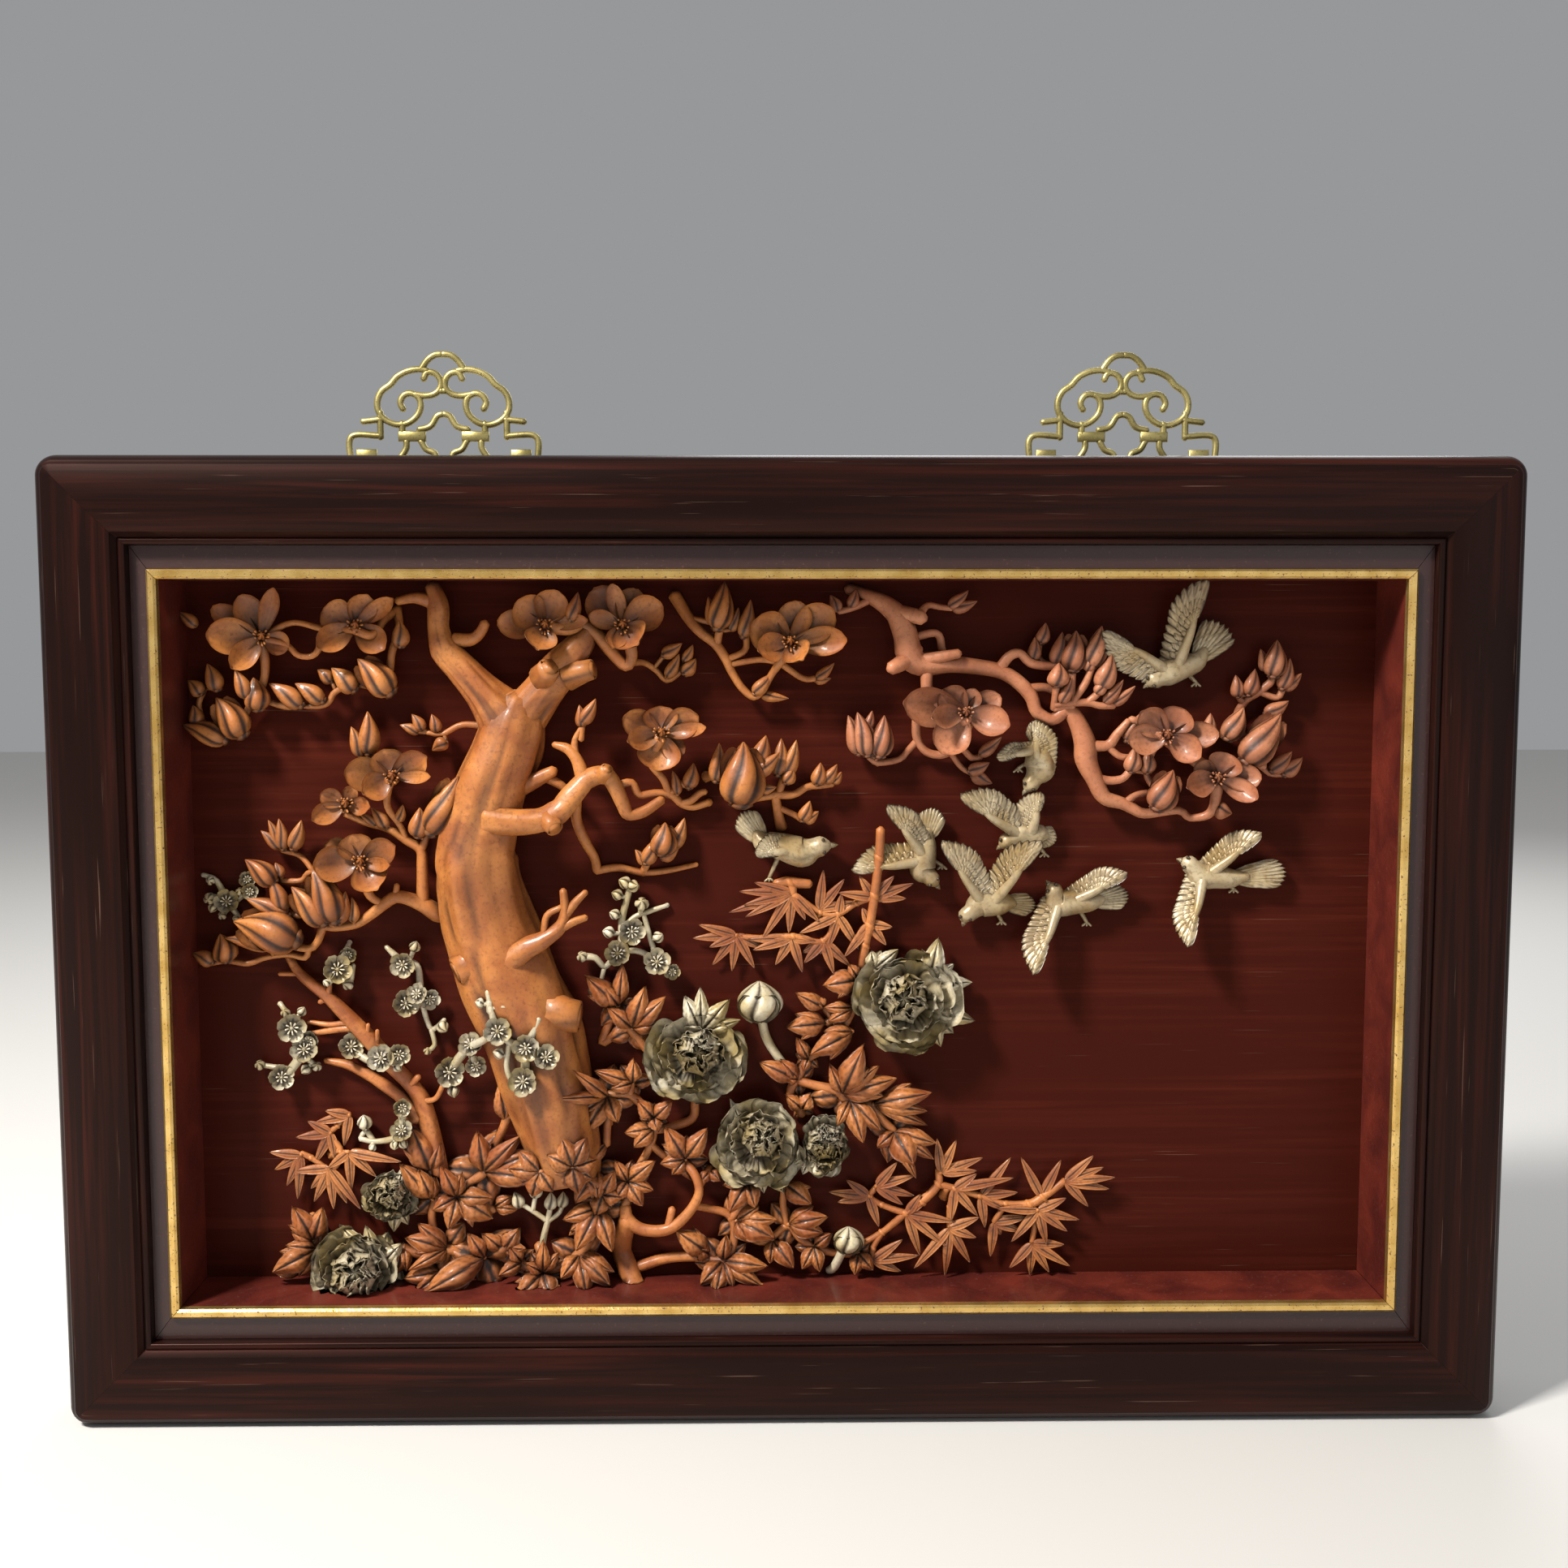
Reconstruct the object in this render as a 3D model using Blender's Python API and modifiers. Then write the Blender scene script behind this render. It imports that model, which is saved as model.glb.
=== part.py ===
# Carved wall panel: a lacquered shadow-box frame with a gilt sight edge and two pierced brass hangers.
# On its dark board stand a magnolia tree with boughs of open flowers and buds, a plum branch with
# blossom sprigs, peonies in leaf, bamboo and eight birds. The wall is the plane y = 0, the front faces -Y,
# and the origin is the middle of the back.
import itertools
import math

import bmesh
import bpy
from mathutils import Matrix, Vector

MM = 0.001

# Driving dimensions of the frame, in metres
FRAME_WIDTH = 0.914
FRAME_HEIGHT = 0.612
RAIL_WIDTH = 0.0545
RAIL_SIDE_DEPTH = 0.059
LIP_DEPTH = 0.0677
CROWN_RISE = 0.0073
CORNER_RADIUS = 0.013
LINER_SIDE_WIDTH = 0.0107
LINER_END_WIDTH = 0.0145
LINER_DEPTH = 0.0615
GILT_WIDTH = 0.0062
GILT_SEAT_DEPTH = 0.0585
GILT_DEPTH = 0.0655
GILT_ROUNDING = 0.0014
BOARD_THICKNESS = 0.0077

# Driving dimensions of the hangers, in metres
HANGER_SPACING = 0.437
HANGER_WALL_SPACE = 0.003
HANGER_THICKNESS = 0.004
HANGER_STROKE = 0.0044

# Sizes of the carving: the width of a bamboo leaf and the radius under which a bud is small, in
# millimetres, and how far a line may be off its drawn run, in metres
BAMBOO_WIDTH = 5.2
BAMBOO_RISE = 2.2
LEAF_RISE = 2.6
VALLEY_DEPTH = 0.002
SMALL_BALL = 6
LINE_TOLERANCE = 0.0014
HANGER_TOLERANCE = 0.0019
WING_THICKNESS = 0.0022

# Stems that join a leaf, flower or bud to its twig, and how near a twig's start joins another, in millimetres
STEM_RADIUS = 1.6
JOIN_REACH = 22
ROOT_DEPTH = 0.0012

# The share of the triangles that is kept once the shapes of a piece are one solid, and the multiples of it
# that are tried in turn until the piece is closed
CARVING_DETAIL = 0.26
FOLIAGE_DETAIL = 0.36
BAMBOO_DETAIL = 0.46
BIRD_DETAIL = 0.42
HANGER_DETAIL = 0.44
DETAIL_STEPS = (1.0, 0.92, 1.08, 0.85, 1.17, 1.27, 1.4, 1.6, 1.85, 2.2, 2.7, 4.0)

# Carved shapes run through each other at every angle, which this solver joins cleanly
CARVING_SOLVER = "MANIFOLD"
FRAME_SOLVER = "EXACT"
SMOOTH_ANGLE = math.radians(40)

# The turn between two leaves of a fan past which it is open, in radians
FAN_OPEN = 2.6

# Clearance between pieces that touch, and by how much a piece's bed for its neighbour is wider
GAP = 0.0003
BED_STEPS = (0.0004, 0.00056, 0.00028)
TOUCHING = 0.000001

# The opening that the carving's places are drawn for, in metres
DRAWN_WIDTH = 0.7802
DRAWN_HEIGHT = 0.4616

# Where the viewer of the places below stands, in metres from the middle of the back
VIEWER = Vector((-0.0157, -1.1406, 0.2013))

SIGHT_WIDTH = FRAME_WIDTH - 2 * RAIL_WIDTH
SIGHT_HEIGHT = FRAME_HEIGHT - 2 * RAIL_WIDTH
RECESS_WIDTH = SIGHT_WIDTH - 2 * (LINER_SIDE_WIDTH + GILT_WIDTH)
RECESS_HEIGHT = SIGHT_HEIGHT - 2 * (LINER_END_WIDTH + GILT_WIDTH)
STRETCH_X = RECESS_WIDTH / DRAWN_WIDTH
STRETCH_Z = RECESS_HEIGHT / DRAWN_HEIGHT
# The carving's places, in millimetres on the board as a viewer sees them: x to the right and z up from
# the panel's middle, and lift, the distance of a form's middle off the board. Limbs and twigs are runs
# of (x, z, lift, radius). Buds are (base x, base z, tip x, tip z, width, lift). A flower has its heart
# (x, z, lift) and its petals (tip x, tip z, width, tip lift).
TREE_LIMBS = (
    ((-146, -165, 12, 20), (-152, -130, 12, 26), (-160, -95, 12, 30), (-172, -58, 12, 31), (-186, -22, 12, 31),
     (-198, 15, 12, 29), (-204, 52, 12, 27), (-194, 90, 12, 24), (-184, 120, 12, 22), (-178, 142, 12, 20),
     (-174, 156, 12, 13)),
    ((-184, 142, 12, 18), (-197, 158, 14, 12.5), (-210, 173, 15, 10.5), (-222, 187, 15, 9), (-226, 200, 14, 7),
     (-226, 214, 13, 7), (-230, 228, 12, 4.5)),
    ((-227, 216, 13, 4.5), (-240, 220, 14, 3.6), (-253, 218, 15, 2.6)),
    ((-216, 192, 15, 5), (-205, 193, 18, 4), (-199, 198, 20, 3.6), (-196, 204, 21, 3)),
    ((-170, 146, 12, 15), (-158, 160, 14, 13), (-146, 175, 15, 12.5), (-134, 190, 15, 9.5), (-127, 201, 15, 6)),
    ((-197, 76, 28, 9.5), (-180, 74, 31, 8.5), (-162, 75, 32, 8), (-148, 82, 31, 7.5), (-138, 94, 29, 7),
     (-129, 103, 27, 6.3), (-118, 105, 26, 5.6), (-112, 97, 24, 5), (-107, 86, 22, 4.4), (-103, 79, 20, 4),
     (-93, 81, 18, 3.6), (-81, 89, 15, 3)),
    ((-133, 103, 26, 5), (-137, 115, 24, 4), (-143, 122, 22, 3.5), (-152, 125, 20, 2)),
    ((-138, 118, 23, 2.6), (-138, 128, 22, 2), (-133, 137, 21, 1.8)),
    ((-176, 97, 16, 7), (-162, 103, 18, 5), (-152, 108, 19, 3.6)),
    ((-158, 104, 17, 3.4), (-147, 98, 17, 2.8), (-140, 90, 16, 2.2)),
    ((-138, 88, 22, 4), (-137, 74, 14, 3.4), (-131, 60, 9, 3.2), (-126, 51, 6, 3), (-124, 42, 3, 3)),
    ((-125, 42, 3, 2.8), (-110, 44, 3, 2.6), (-95, 41, 3, 2.4), (-78, 42, 3, 2), (-58, 46, 3, 1.6)),
    ((-186, -20, 34, 9), (-173, -10, 37, 7), (-161, -4, 38, 5.5), (-150, 4, 38, 4.2), (-146, 14, 38, 3.4),
     (-147, 29, 38, 2.4)),
    ((-146, 12, 38, 3), (-139, 21, 38, 2.6), (-132, 28, 37, 2)),
    ((-151, 3, 38, 3.2), (-141, 8, 38, 2.6), (-132, 11, 37, 2)),
    ((-160, -3, 38, 2.6), (-158, 12, 38, 2.2), (-148, 18, 38, 2)),
)
# Knots with hollows: where each grows from, where it ends, its radius at both ends and its hollow's width
TREE_KNOTS = (
    ((-204, -18, 22), (-219, -25, 28), 17, 10, 5),
    ((-160, -52, 24), (-137, -55, 26), 17, 11, 8),
    ((-158, 168, 20), (-154, 175, 30), 10, 7.5, 7),
    ((-142, 170, 20), (-126, 174, 26), 10, 7, 7),
    ((-156, 76, 33), (-152, 70, 40), 8, 6, 6),
    ((-121, 104, 27), (-117, 109, 33), 5.6, 4.4, 5),
)
TREE_TWIG = {
    "twigs": (
        ((-94, 41, 3, 2.6), (-88, 52, 8, 2.6), (-80, 56, 12, 4)),
        ((-92, 46, 6, 2), (-96, 50, 6, 2)),
        ((-82, 48, 8, 2.4), (-80, 54, 11, 2.4)),
            ((-196, 137, 12, 2.4), (-212, 138, 12, 2), (-225, 132, 12, 1.8), (-235, 133, 12, 1.6)),
            ((-134, 128, 22, 2), (-133, 138, 21, 2)),
        ),
    "buds": (
        (-81, 52, -79, 74, 15, 15), (-92, 46, -85, 64, 9, 12), (-92, 46, -99, 56, 6, 9),
        (-82, 50, -70, 57, 8, 13), (-74, 56, -66, 77, 9, 8),
            (-228, 133, -232, 145, 7, 12), (-237, 134, -245, 145, 7, 12), (-240, 133, -253, 138, 6, 12),
            (-222, 128, -232, 121, 8, 12), (-133, 138, -124, 155, 8, 22), (-133, 136, -135, 151, 7, 21),
        ),
    "flowers": (),
}
MAGNOLIA_SPRAYS = {
    "magnolia_spray_top_left": {
        "twigs": (
            ((-252, 213, 1, 3), (-262, 206, 12, 3), (-270, 196, 20, 3), (-282, 200, 22, 3)),
            ((-282, 200, 20, 3), (-300, 200, 16, 2.4), (-322, 204, 14, 2), (-342, 194, 18, 3)),
            ((-300, 192, 16, 2), (-307, 184, 16, 2), (-318, 183, 16, 2), (-326, 190, 16, 2), (-342, 194, 18, 3)),
            ((-345, 190, 18, 3), (-340, 178, 14, 3), (-342, 164, 12, 2.6), (-350, 152, 10, 2.4), (-356, 140, 8, 2)),
            ((-318, 151, 10, 2), (-308, 150, 11, 2), (-300, 152, 12, 2), (-294, 160, 12, 2), (-280, 164, 12, 2.2),
             (-262, 164, 10, 3), (-257, 185, 10, 2.6), (-252, 200, 8, 2.6), (-253, 213, 3, 3)),
            ((-340, 152, 10, 2), (-328, 150, 10, 2), (-318, 151, 10, 2)),
            ((-356, 140, 8, 2), (-366, 134, 8, 2), (-378, 134, 8, 2), (-384, 150, 8, 2), (-380, 162, 8, 2)),
        ),
        "buds": (
            (-383, 202, -397, 211, 7, 12), (-371, 160, -378, 178, 10, 13), (-381, 158, -391, 167, 9, 12),
            (-355, 130, -373, 156, 17, 16), (-366, 128, -396, 138, 13, 14), (-385, 138, -388, 151, 9, 11),
            (-345, 147, -348, 169, 14, 17), (-316, 150, -338, 165, 11, 15), (-302, 153, -321, 165, 10, 15),
            (-281, 160, -297, 175, 12, 16), (-257, 158, -280, 181, 17, 18), (-251, 188, -252, 206, 10, 16),
            (-352, 155, -360, 174, 9, 20), (-296, 166, -306, 174, 8, 10),
        ),
        "flowers": (
            ((-342, 195, 20), ((-378, 196, 21, 34), (-374, 214, 15, 22), (-355, 222, 17, 24), (-333, 226, 11, 34),
                               (-362, 175, 15, 36), (-324, 188, 14, 18))),
            ((-281, 202, 20), ((-302, 212, 21, 24), (-272, 222, 17, 26), (-306, 189, 16, 36), (-256, 219, 11, 34),
                               (-262, 187, 17, 26), (-292, 216, 11, 18))),
        ),
    },
    "magnolia_bough_left": {
        "twigs": (
            ((-222, 15, 3, 7), (-231, 15, 10, 6.4), (-240, 20, 14, 5.6), (-250, 24, 15, 4.6), (-258, 25, 15, 4.2),
             (-266, 20, 15, 3.8), (-275, 13, 15, 3.4), (-285, 7, 14, 3), (-298, 5, 13, 2.8), (-306, 5, 12, 2.8),
             (-310, -4, 11, 2.6), (-316, -9, 10, 2.6), (-330, -7, 10, 2.4)),
            ((-240, 20, 14, 4.6), (-240, 32, 15, 4), (-240, 45, 16, 3.6), (-241, 56, 16, 3.2), (-250, 62, 16, 2.8),
             (-262, 70, 15, 2.6), (-276, 74, 15, 2.4), (-290, 80, 16, 2.4)),
            ((-241, 55, 16, 2.8), (-237, 64, 17, 2.4), (-235, 72, 18, 2.4)),
            ((-250, 62, 16, 2.2), (-254, 72, 17, 2), (-262, 84, 18, 2.2), (-262, 96, 20, 3), (-260, 103, 22, 4)),
            ((-262, 96, 20, 2.4), (-272, 108, 14, 2.4), (-277, 120, 10, 2.4)),
            ((-258, 25, 15, 2.6), (-257, 33, 17, 1.8)),
            ((-266, 20, 15, 2.4), (-275, 26, 17, 3), (-278, 38, 20, 4), (-281, 48, 22, 4)),
            ((-298, 5, 13, 2.6), (-304, 12, 15, 2.6), (-312, 15, 14, 2.4), (-325, 13, 12, 2.2), (-334, 20, 11, 2.2),
             (-340, 34, 10, 2.2)),
            ((-291, 40, 18, 2), (-312, 42, 12, 2), (-320, 36, 10, 2), (-334, 36, 9, 2.2)),
            ((-312, 45, 12, 1.8), (-320, 52, 9, 1.8), (-332, 56, 9, 1.8)),
            ((-316, -9, 10, 2.2), (-319, -15, 9, 2.2), (-330, -13, 9, 2), (-345, -15, 9, 2), (-357, -19, 9, 2),
             (-370, -17, 9, 2), (-383, -19, 9, 1.8)),
        ),
        "buds": (
            (-278, 117, -285, 137, 9, 12), (-273, 118, -274, 147, 12, 14), (-235, 66, -215, 105, 17, 22),
            (-242, 64, -241, 84, 12, 20), (-232, 66, -216, 80, 8, 20), (-262, 70, -273, 84, 8, 16),
            (-268, 72, -281, 80, 6, 15), (-255, 74, -252, 86, 6, 16), (-331, 56, -334, 77, 8, 11),
            (-325, 56, -319, 76, 9, 12), (-333, 57, -346, 69, 7, 10), (-332, 57, -341, 76, 7, 10),
            (-322, -4, -366, 9, 23, 20), (-340, -8, -372, -2, 9, 16), (-304, 7, -327, 32, 16, 22),
            (-297, 8, -313, 44, 17, 24), (-297, 7, -291, 29, 10, 22), (-286, 8, -287, 25, 7, 18),
            (-331, 15, -341, 38, 10, 15), (-328, 12, -357, 24, 11, 14), (-337, 34, -357, 50, 13, 14),
            (-333, 38, -337, 48, 7, 11), (-370, -18, -375, 1, 14, 14), (-379, -18, -394, -12, 9, 12),
        ),
        "flowers": (
            ((-259, 104, 22), ((-290, 107, 20, 30), (-264, 122, 20, 24), (-236, 117, 17, 30), (-234, 104, 8, 34),
                               (-278, 93, 17, 36))),
            ((-290, 86, 18), ((-312, 76, 13, 30), (-306, 93, 12, 22), (-274, 84, 11, 28), (-284, 98, 9, 20))),
            ((-281, 48, 22), ((-312, 46, 21, 34), (-287, 66, 20, 22), (-258, 59, 17, 26), (-270, 30, 22, 34),
                              (-304, 60, 16, 20), (-262, 46, 9, 38))),
        ),
    },
    "magnolia_spray_top": {
        "twigs": (
            ((-132, 205, 18, 4), (-140, 200, 22, 4), (-156, 202, 24, 5)),
            ((-132, 204, 18, 4), (-122, 196, 18, 4.4), (-114, 186, 18, 4.2), (-104, 176, 19, 3.6),
             (-100, 182, 21, 3.6), (-102, 195, 24, 5)),
            ((-101, 178, 17, 2.6), (-92, 178, 10, 2), (-84, 173, 5, 2), (-77, 167, 3, 2), (-68, 173, 4, 2),
             (-64, 180, 5, 2)),
        ),
        "buds": (
            (-140, 205, -135, 224, 8, 28), (-80, 182, -67, 191, 8, 8), (-77, 168, -69, 184, 7, 9),
            (-66, 170, -58, 181, 8, 8), (-66, 178, -60, 190, 6, 7),
        ),
        "flowers": (
            ((-157, 202, 26), ((-175, 218, 21, 30), (-188, 204, 17, 26), (-162, 187, 19, 42), (-149, 225, 20, 28),
                               (-129, 206, 9, 34))),
            ((-106, 202, 26), ((-126, 225, 22, 20), (-128, 209, 11, 32), (-113, 229, 11, 28), (-80, 216, 21, 26),
                               (-96, 190, 22, 40), (-113, 188, 12, 38), (-97, 226, 17, 18))),
        ),
    },
    "magnolia_spray_top_centre": {
        "twigs": (
            ((-72, 222, 3, 4), (-62, 206, 8, 3.6), (-55, 198, 12, 3.4), (-45, 190, 14, 3.2), (-38, 180, 15, 3.2),
             (-35, 173, 14, 2.8), (-28, 162, 13, 2.6), (-20, 156, 12, 2.4), (-14, 161, 12, 2.4), (-8, 171, 14, 2.4),
             (-3, 178, 18, 3), (4, 188, 22, 5)),
            ((-43, 190, 14, 2.6), (-42, 202, 16, 2.6)),
            ((-62, 207, 8, 2), (-52, 205, 11, 2), (-46, 204, 13, 2)),
            ((-38, 180, 14, 2.4), (-26, 186, 13, 2.2), (-25, 196, 13, 2.2)),
            ((-34, 178, 14, 2), (-16, 180, 14, 2), (-3, 178, 16, 2)),
            ((4, 178, 14, 2.2), (12, 168, 10, 2), (22, 168, 9, 2)),
        ),
        "buds": (
            (-44, 199, -39, 231, 14, 18), (-46, 202, -50, 221, 8, 14), (-27, 194, -22, 219, 9, 14),
            (-35, 198, -30, 214, 7, 12), (-20, 157, -9, 171, 8, 13), (-16, 157, 3, 155, 6, 10),
            (21, 167, 33, 178, 6, 10), (20, 166, 31, 168, 5, 9),
        ),
        "flowers": (
            ((4, 191, 24), ((-21, 204, 24, 30), (9, 218, 20, 24), (32, 213, 22, 28), (41, 193, 17, 34),
                            (-17, 186, 17, 36), (12, 180, 18, 40))),
        ),
    },
    "magnolia_spray_middle": {
        "twigs": (
            ((-110, 98, 19, 3), (-101, 100, 18, 2.6), (-96, 92, 16, 2.6), (-86, 93, 14, 2.6), (-75, 92, 12, 2.8),
             (-68, 86, 10, 2.6), (-60, 84, 9, 2.4), (-50, 87, 8, 2.4)),
            ((-68, 87, 10, 2.4), (-62, 88, 11, 2.4), (-56, 93, 11, 2.4), (-52, 94, 11, 2)),
            ((-76, 92, 13, 2.4), (-80, 102, 16, 2.4), (-88, 112, 18, 2.4), (-86, 120, 20, 4), (-82, 130, 23, 5)),
            ((-76, 92, 12, 2.6), (-68, 99, 12, 2.6), (-62, 97, 12, 2.6)),
        ),
        "buds": (
            (-63, 96, -60, 113, 9, 14), (-70, 92, -74, 108, 6, 13),
        ),
        "flowers": (
            ((-81, 132, 24), ((-106, 143, 17, 28), (-103, 127, 14, 38), (-82, 150, 20, 24), (-57, 144, 18, 30),
                              (-52, 136, 9, 34), (-84, 108, 25, 30), (-68, 116, 14, 24))),
        ),
    },
    "magnolia_spray_centre": {
        "twigs": (
            ((-52, 104, 2, 4), (-46, 104, 7, 3), (-36, 98, 10, 3), (-30, 88, 11, 3.4), (-20, 90, 12, 3),
             (-6, 92, 12, 3), (6, 92, 11, 2.6), (15, 97, 10, 2.4), (24, 98, 9, 2.4), (32, 99, 9, 2.2)),
            ((-6, 92, 12, 3), (-4, 80, 6, 3.4), (-2, 70, 1, 4)),
            ((-3, 84, 8, 2), (6, 79, 8, 2), (12, 75, 8, 2)),
            ((-16, 90, 12, 2.6), (-20, 98, 13, 2.6), (-17, 108, 13, 2.6)),
            ((-4, 92, 11, 2.6), (0, 104, 11, 2.6)),
        ),
        "buds": (
            (-29, 84, -27, 127, 25, 26), (-45, 100, -43, 126, 10, 14), (-19, 108, -12, 131, 12, 18),
            (-19, 104, -3, 120, 9, 22), (-4, 104, -2, 129, 10, 14), (1, 103, 8, 128, 9, 14), (1, 99, 6, 110, 8, 16),
            (22, 98, 24, 113, 9, 12), (27, 99, 35, 112, 7, 11), (32, 99, 38, 107, 6, 10), (12, 74, 17, 88, 8, 11),
            (13, 74, 23, 81, 7, 10), (-16, 95, -5, 97, 6, 16),
        ),
        "flowers": (),
    },
    "magnolia_bough_right": {
        "twigs": (
            ((42, 226, 3, 4), (58, 220, 9, 5), (72, 211, 13, 7), (79, 197, 15, 8), (82, 184, 16, 9), (90, 177, 16, 7.5),
             (110, 177, 16, 5.5), (130, 175, 15, 5), (144, 172, 14, 4.8), (155, 165, 14, 4.8), (163, 156, 14, 4.6),
             (167, 146, 14, 4.2), (177, 141, 14, 4.2), (187, 147, 14, 4.8), (194, 139, 14, 6), (199, 126, 14, 7),
             (200, 114, 14, 7), (206, 101, 14, 5.6), (212, 90, 13, 5), (224, 86, 12, 4), (232, 82, 12, 3.6),
             (240, 79, 12, 3.2), (262, 81, 12, 2.6), (270, 76, 14, 2.4), (284, 80, 18, 3), (288, 98, 21, 4)),
            ((72, 211, 14, 5.5), (82, 209, 17, 5.2), (91, 207, 20, 4.8)),
            ((84, 182, 17, 6), (76, 177, 22, 5), (70, 174, 25, 4)),
            ((90, 181, 18, 5), (104, 182, 21, 3.8), (115, 184, 23, 3)),
            ((141, 173, 14, 4), (148, 182, 15, 3.4), (155, 184, 15, 3), (162, 178, 14, 3), (172, 176, 13, 2.8),
             (182, 176, 13, 2.8)),
            ((160, 162, 14, 3.2), (172, 162, 12, 2.8), (182, 157, 12, 2.8), (188, 148, 13, 3)),
            ((92, 196, 14, 3), (100, 197, 10, 2.6), (104, 186, 8, 2.6), (107, 180, 10, 2.6)),
            ((203, 124, 14, 4), (214, 124, 15, 3.4), (220, 131, 16, 3), (228, 140, 17, 2.4)),
            ((214, 124, 15, 2.8), (222, 117, 15, 2.4), (232, 116, 15, 2.2)),
            ((206, 104, 14, 3.8), (214, 101, 14, 3), (224, 102, 15, 2.6), (229, 107, 16, 2.4)),
            ((226, 86, 12, 2.8), (233, 91, 11, 2.4), (242, 93, 10, 2.2)),
            ((94, 172, 16, 4.4), (94, 162, 18, 4), (96, 152, 20, 4.4)),
            ((58, 220, 9, 3), (46, 214, 10, 2.2), (36, 211, 10, 2)),
            ((88, 207, 18, 3.4), (94, 215, 14, 2.2), (102, 214, 12, 2), (110, 213, 12, 1.8)),
        ),
        "buds": (
            (36, 211, 30, 222, 7, 10), (44, 213, 47, 226, 7, 10), (108, 213, 121, 225, 7, 12),
            (110, 212, 127, 218, 7, 12), (286, 82, 298, 79, 10, 18),
        ),
        "flowers": (),
    },
    "magnolia_spray_right_hanging": {
        "twigs": (
            ((88, 148, 18, 3), (87, 138, 14, 2.8), (88, 128, 10, 2.8), (94, 120, 8, 2.8), (104, 118, 8, 3),
             (112, 124, 12, 4), (118, 134, 18, 5), (120, 143, 24, 6)),
            ((88, 128, 8, 2.4), (82, 121, 6, 2.2), (76, 115, 5, 2.2), (62, 113, 4, 2.4), (56, 117, 5, 2.4)),
            ((112, 118, 8, 2), (117, 110, 5, 2), (124, 106, 5, 2)),
            ((122, 124, 10, 2), (124, 116, 7, 2.4), (130, 117, 6, 2.4)),
            ((88, 148, 18, 3), (96, 152, 21, 4), (108, 148, 22, 5)),
        ),
        "buds": (
            (50, 118, 42, 144, 11, 12), (56, 117, 48, 146, 13, 14), (60, 116, 56, 130, 8, 12),
            (63, 116, 66, 144, 13, 14), (53, 119, 42, 127, 8, 9), (54, 131, 58, 147, 7, 8),
            (122, 106, 136, 113, 8, 9), (124, 105, 138, 99, 8, 8), (129, 117, 144, 130, 7, 9),
        ),
        "flowers": (
            ((120, 145, 26), ((79, 152, 23, 36), (104, 160, 19, 28), (126, 161, 12, 28), (143, 156, 15, 28),
                              (149, 137, 18, 40), (98, 142, 14, 44), (104, 119, 22, 34))),
        ),
    },
    "magnolia_spray_right_buds": {
        "twigs": (
            ((178, 148, 16, 2.6), (179, 156, 20, 2.6), (180, 164, 22, 3)),
            ((191, 150, 17, 2.8), (200, 152, 18, 2.6), (208, 150, 18, 2.4), (218, 150, 17, 2.2)),
            ((191, 150, 17, 2.8), (193, 156, 18, 2.6), (199, 165, 18, 2.6), (203, 175, 18, 2.6)),
            ((200, 152, 18, 2.4), (206, 157, 19, 2.4), (209, 162, 20, 2.4)),
            ((191, 152, 17, 2.6), (190, 162, 16, 2.6), (190, 174, 15, 2.8)),
            ((190, 166, 14, 2), (180, 174, 10, 2.2), (168, 180, 8, 2.4), (168, 190, 8, 2)),
            ((178, 148, 16, 2.6), (185, 149, 16, 2.8), (191, 150, 17, 2.8)),
        ),
        "buds": (
            (169, 190, 172, 204, 8, 9), (164, 178, 165, 195, 8, 10), (179, 176, 183, 198, 10, 13),
            (190, 172, 192, 199, 15, 16), (202, 174, 209, 202, 13, 17), (200, 172, 203, 184, 7, 18),
            (209, 160, 216, 184, 12, 19), (180, 162, 181, 178, 12, 24), (183, 151, 190, 169, 7, 22),
            (211, 151, 224, 167, 7, 18), (217, 150, 232, 163, 6, 17), (206, 157, 213, 168, 7, 20),
        ),
        "flowers": (),
    },
    "magnolia_spray_right_open": {
        "twigs": (
            ((229, 141, 17, 2.4), (238, 138, 18, 2.8), (250, 130, 22, 4)),
            ((250, 130, 20, 4), (266, 118, 16, 4), (282, 108, 18, 4.4)),
            ((240, 118, 12, 2.4), (246, 124, 15, 3), (252, 129, 18, 4)),
            ((266, 118, 14, 2.6), (272, 128, 10, 2.6), (283, 132, 8, 2.6), (294, 130, 8, 2.6)),
            ((240, 118, 12, 2), (240, 106, 12, 2), (248, 92, 14, 2.6), (246, 84, 15, 2.4)),
            ((282, 108, 18, 4), (292, 104, 16, 3.6), (304, 114, 16, 3)),
            ((262, 118, 6, 4), (262, 118, 1, 5)),
        ),
        "buds": (
            (241, 105, 241, 121, 9, 14), (230, 106, 232, 123, 10, 17), (247, 81, 258, 108, 17, 20),
            (305, 111, 329, 145, 19, 22), (293, 127, 304, 149, 13, 16), (280, 128, 282, 145, 9, 9),
            (226, 126, 238, 147, 9, 14),
        ),
        "flowers": (
            ((254, 130, 24), ((236, 146, 18, 26), (264, 148, 20, 24), (288, 131, 16, 30), (228, 126, 18, 30),
                              (276, 116, 17, 38))),
            ((288, 102, 24), ((296, 118, 20, 24), (317, 103, 16, 30), (315, 89, 13, 36), (268, 96, 16, 38),
                              (272, 110, 14, 24))),
        ),
    },
    "magnolia_spray_right_end": {
        "twigs": (
            ((318, 110, 14, 3), (309, 118, 6, 3), (300, 140, 2, 3), (304, 152, 5, 2.6), (314, 159, 9, 2.6),
             (322, 166, 11, 2.6), (323, 172, 12, 2.6)),
            ((314, 159, 9, 2.2), (326, 155, 9, 2.2), (330, 162, 10, 2.2)),
            ((306, 124, 4, 2.6), (318, 136, 6, 2.4), (322, 144, 7, 2.4)),
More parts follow.
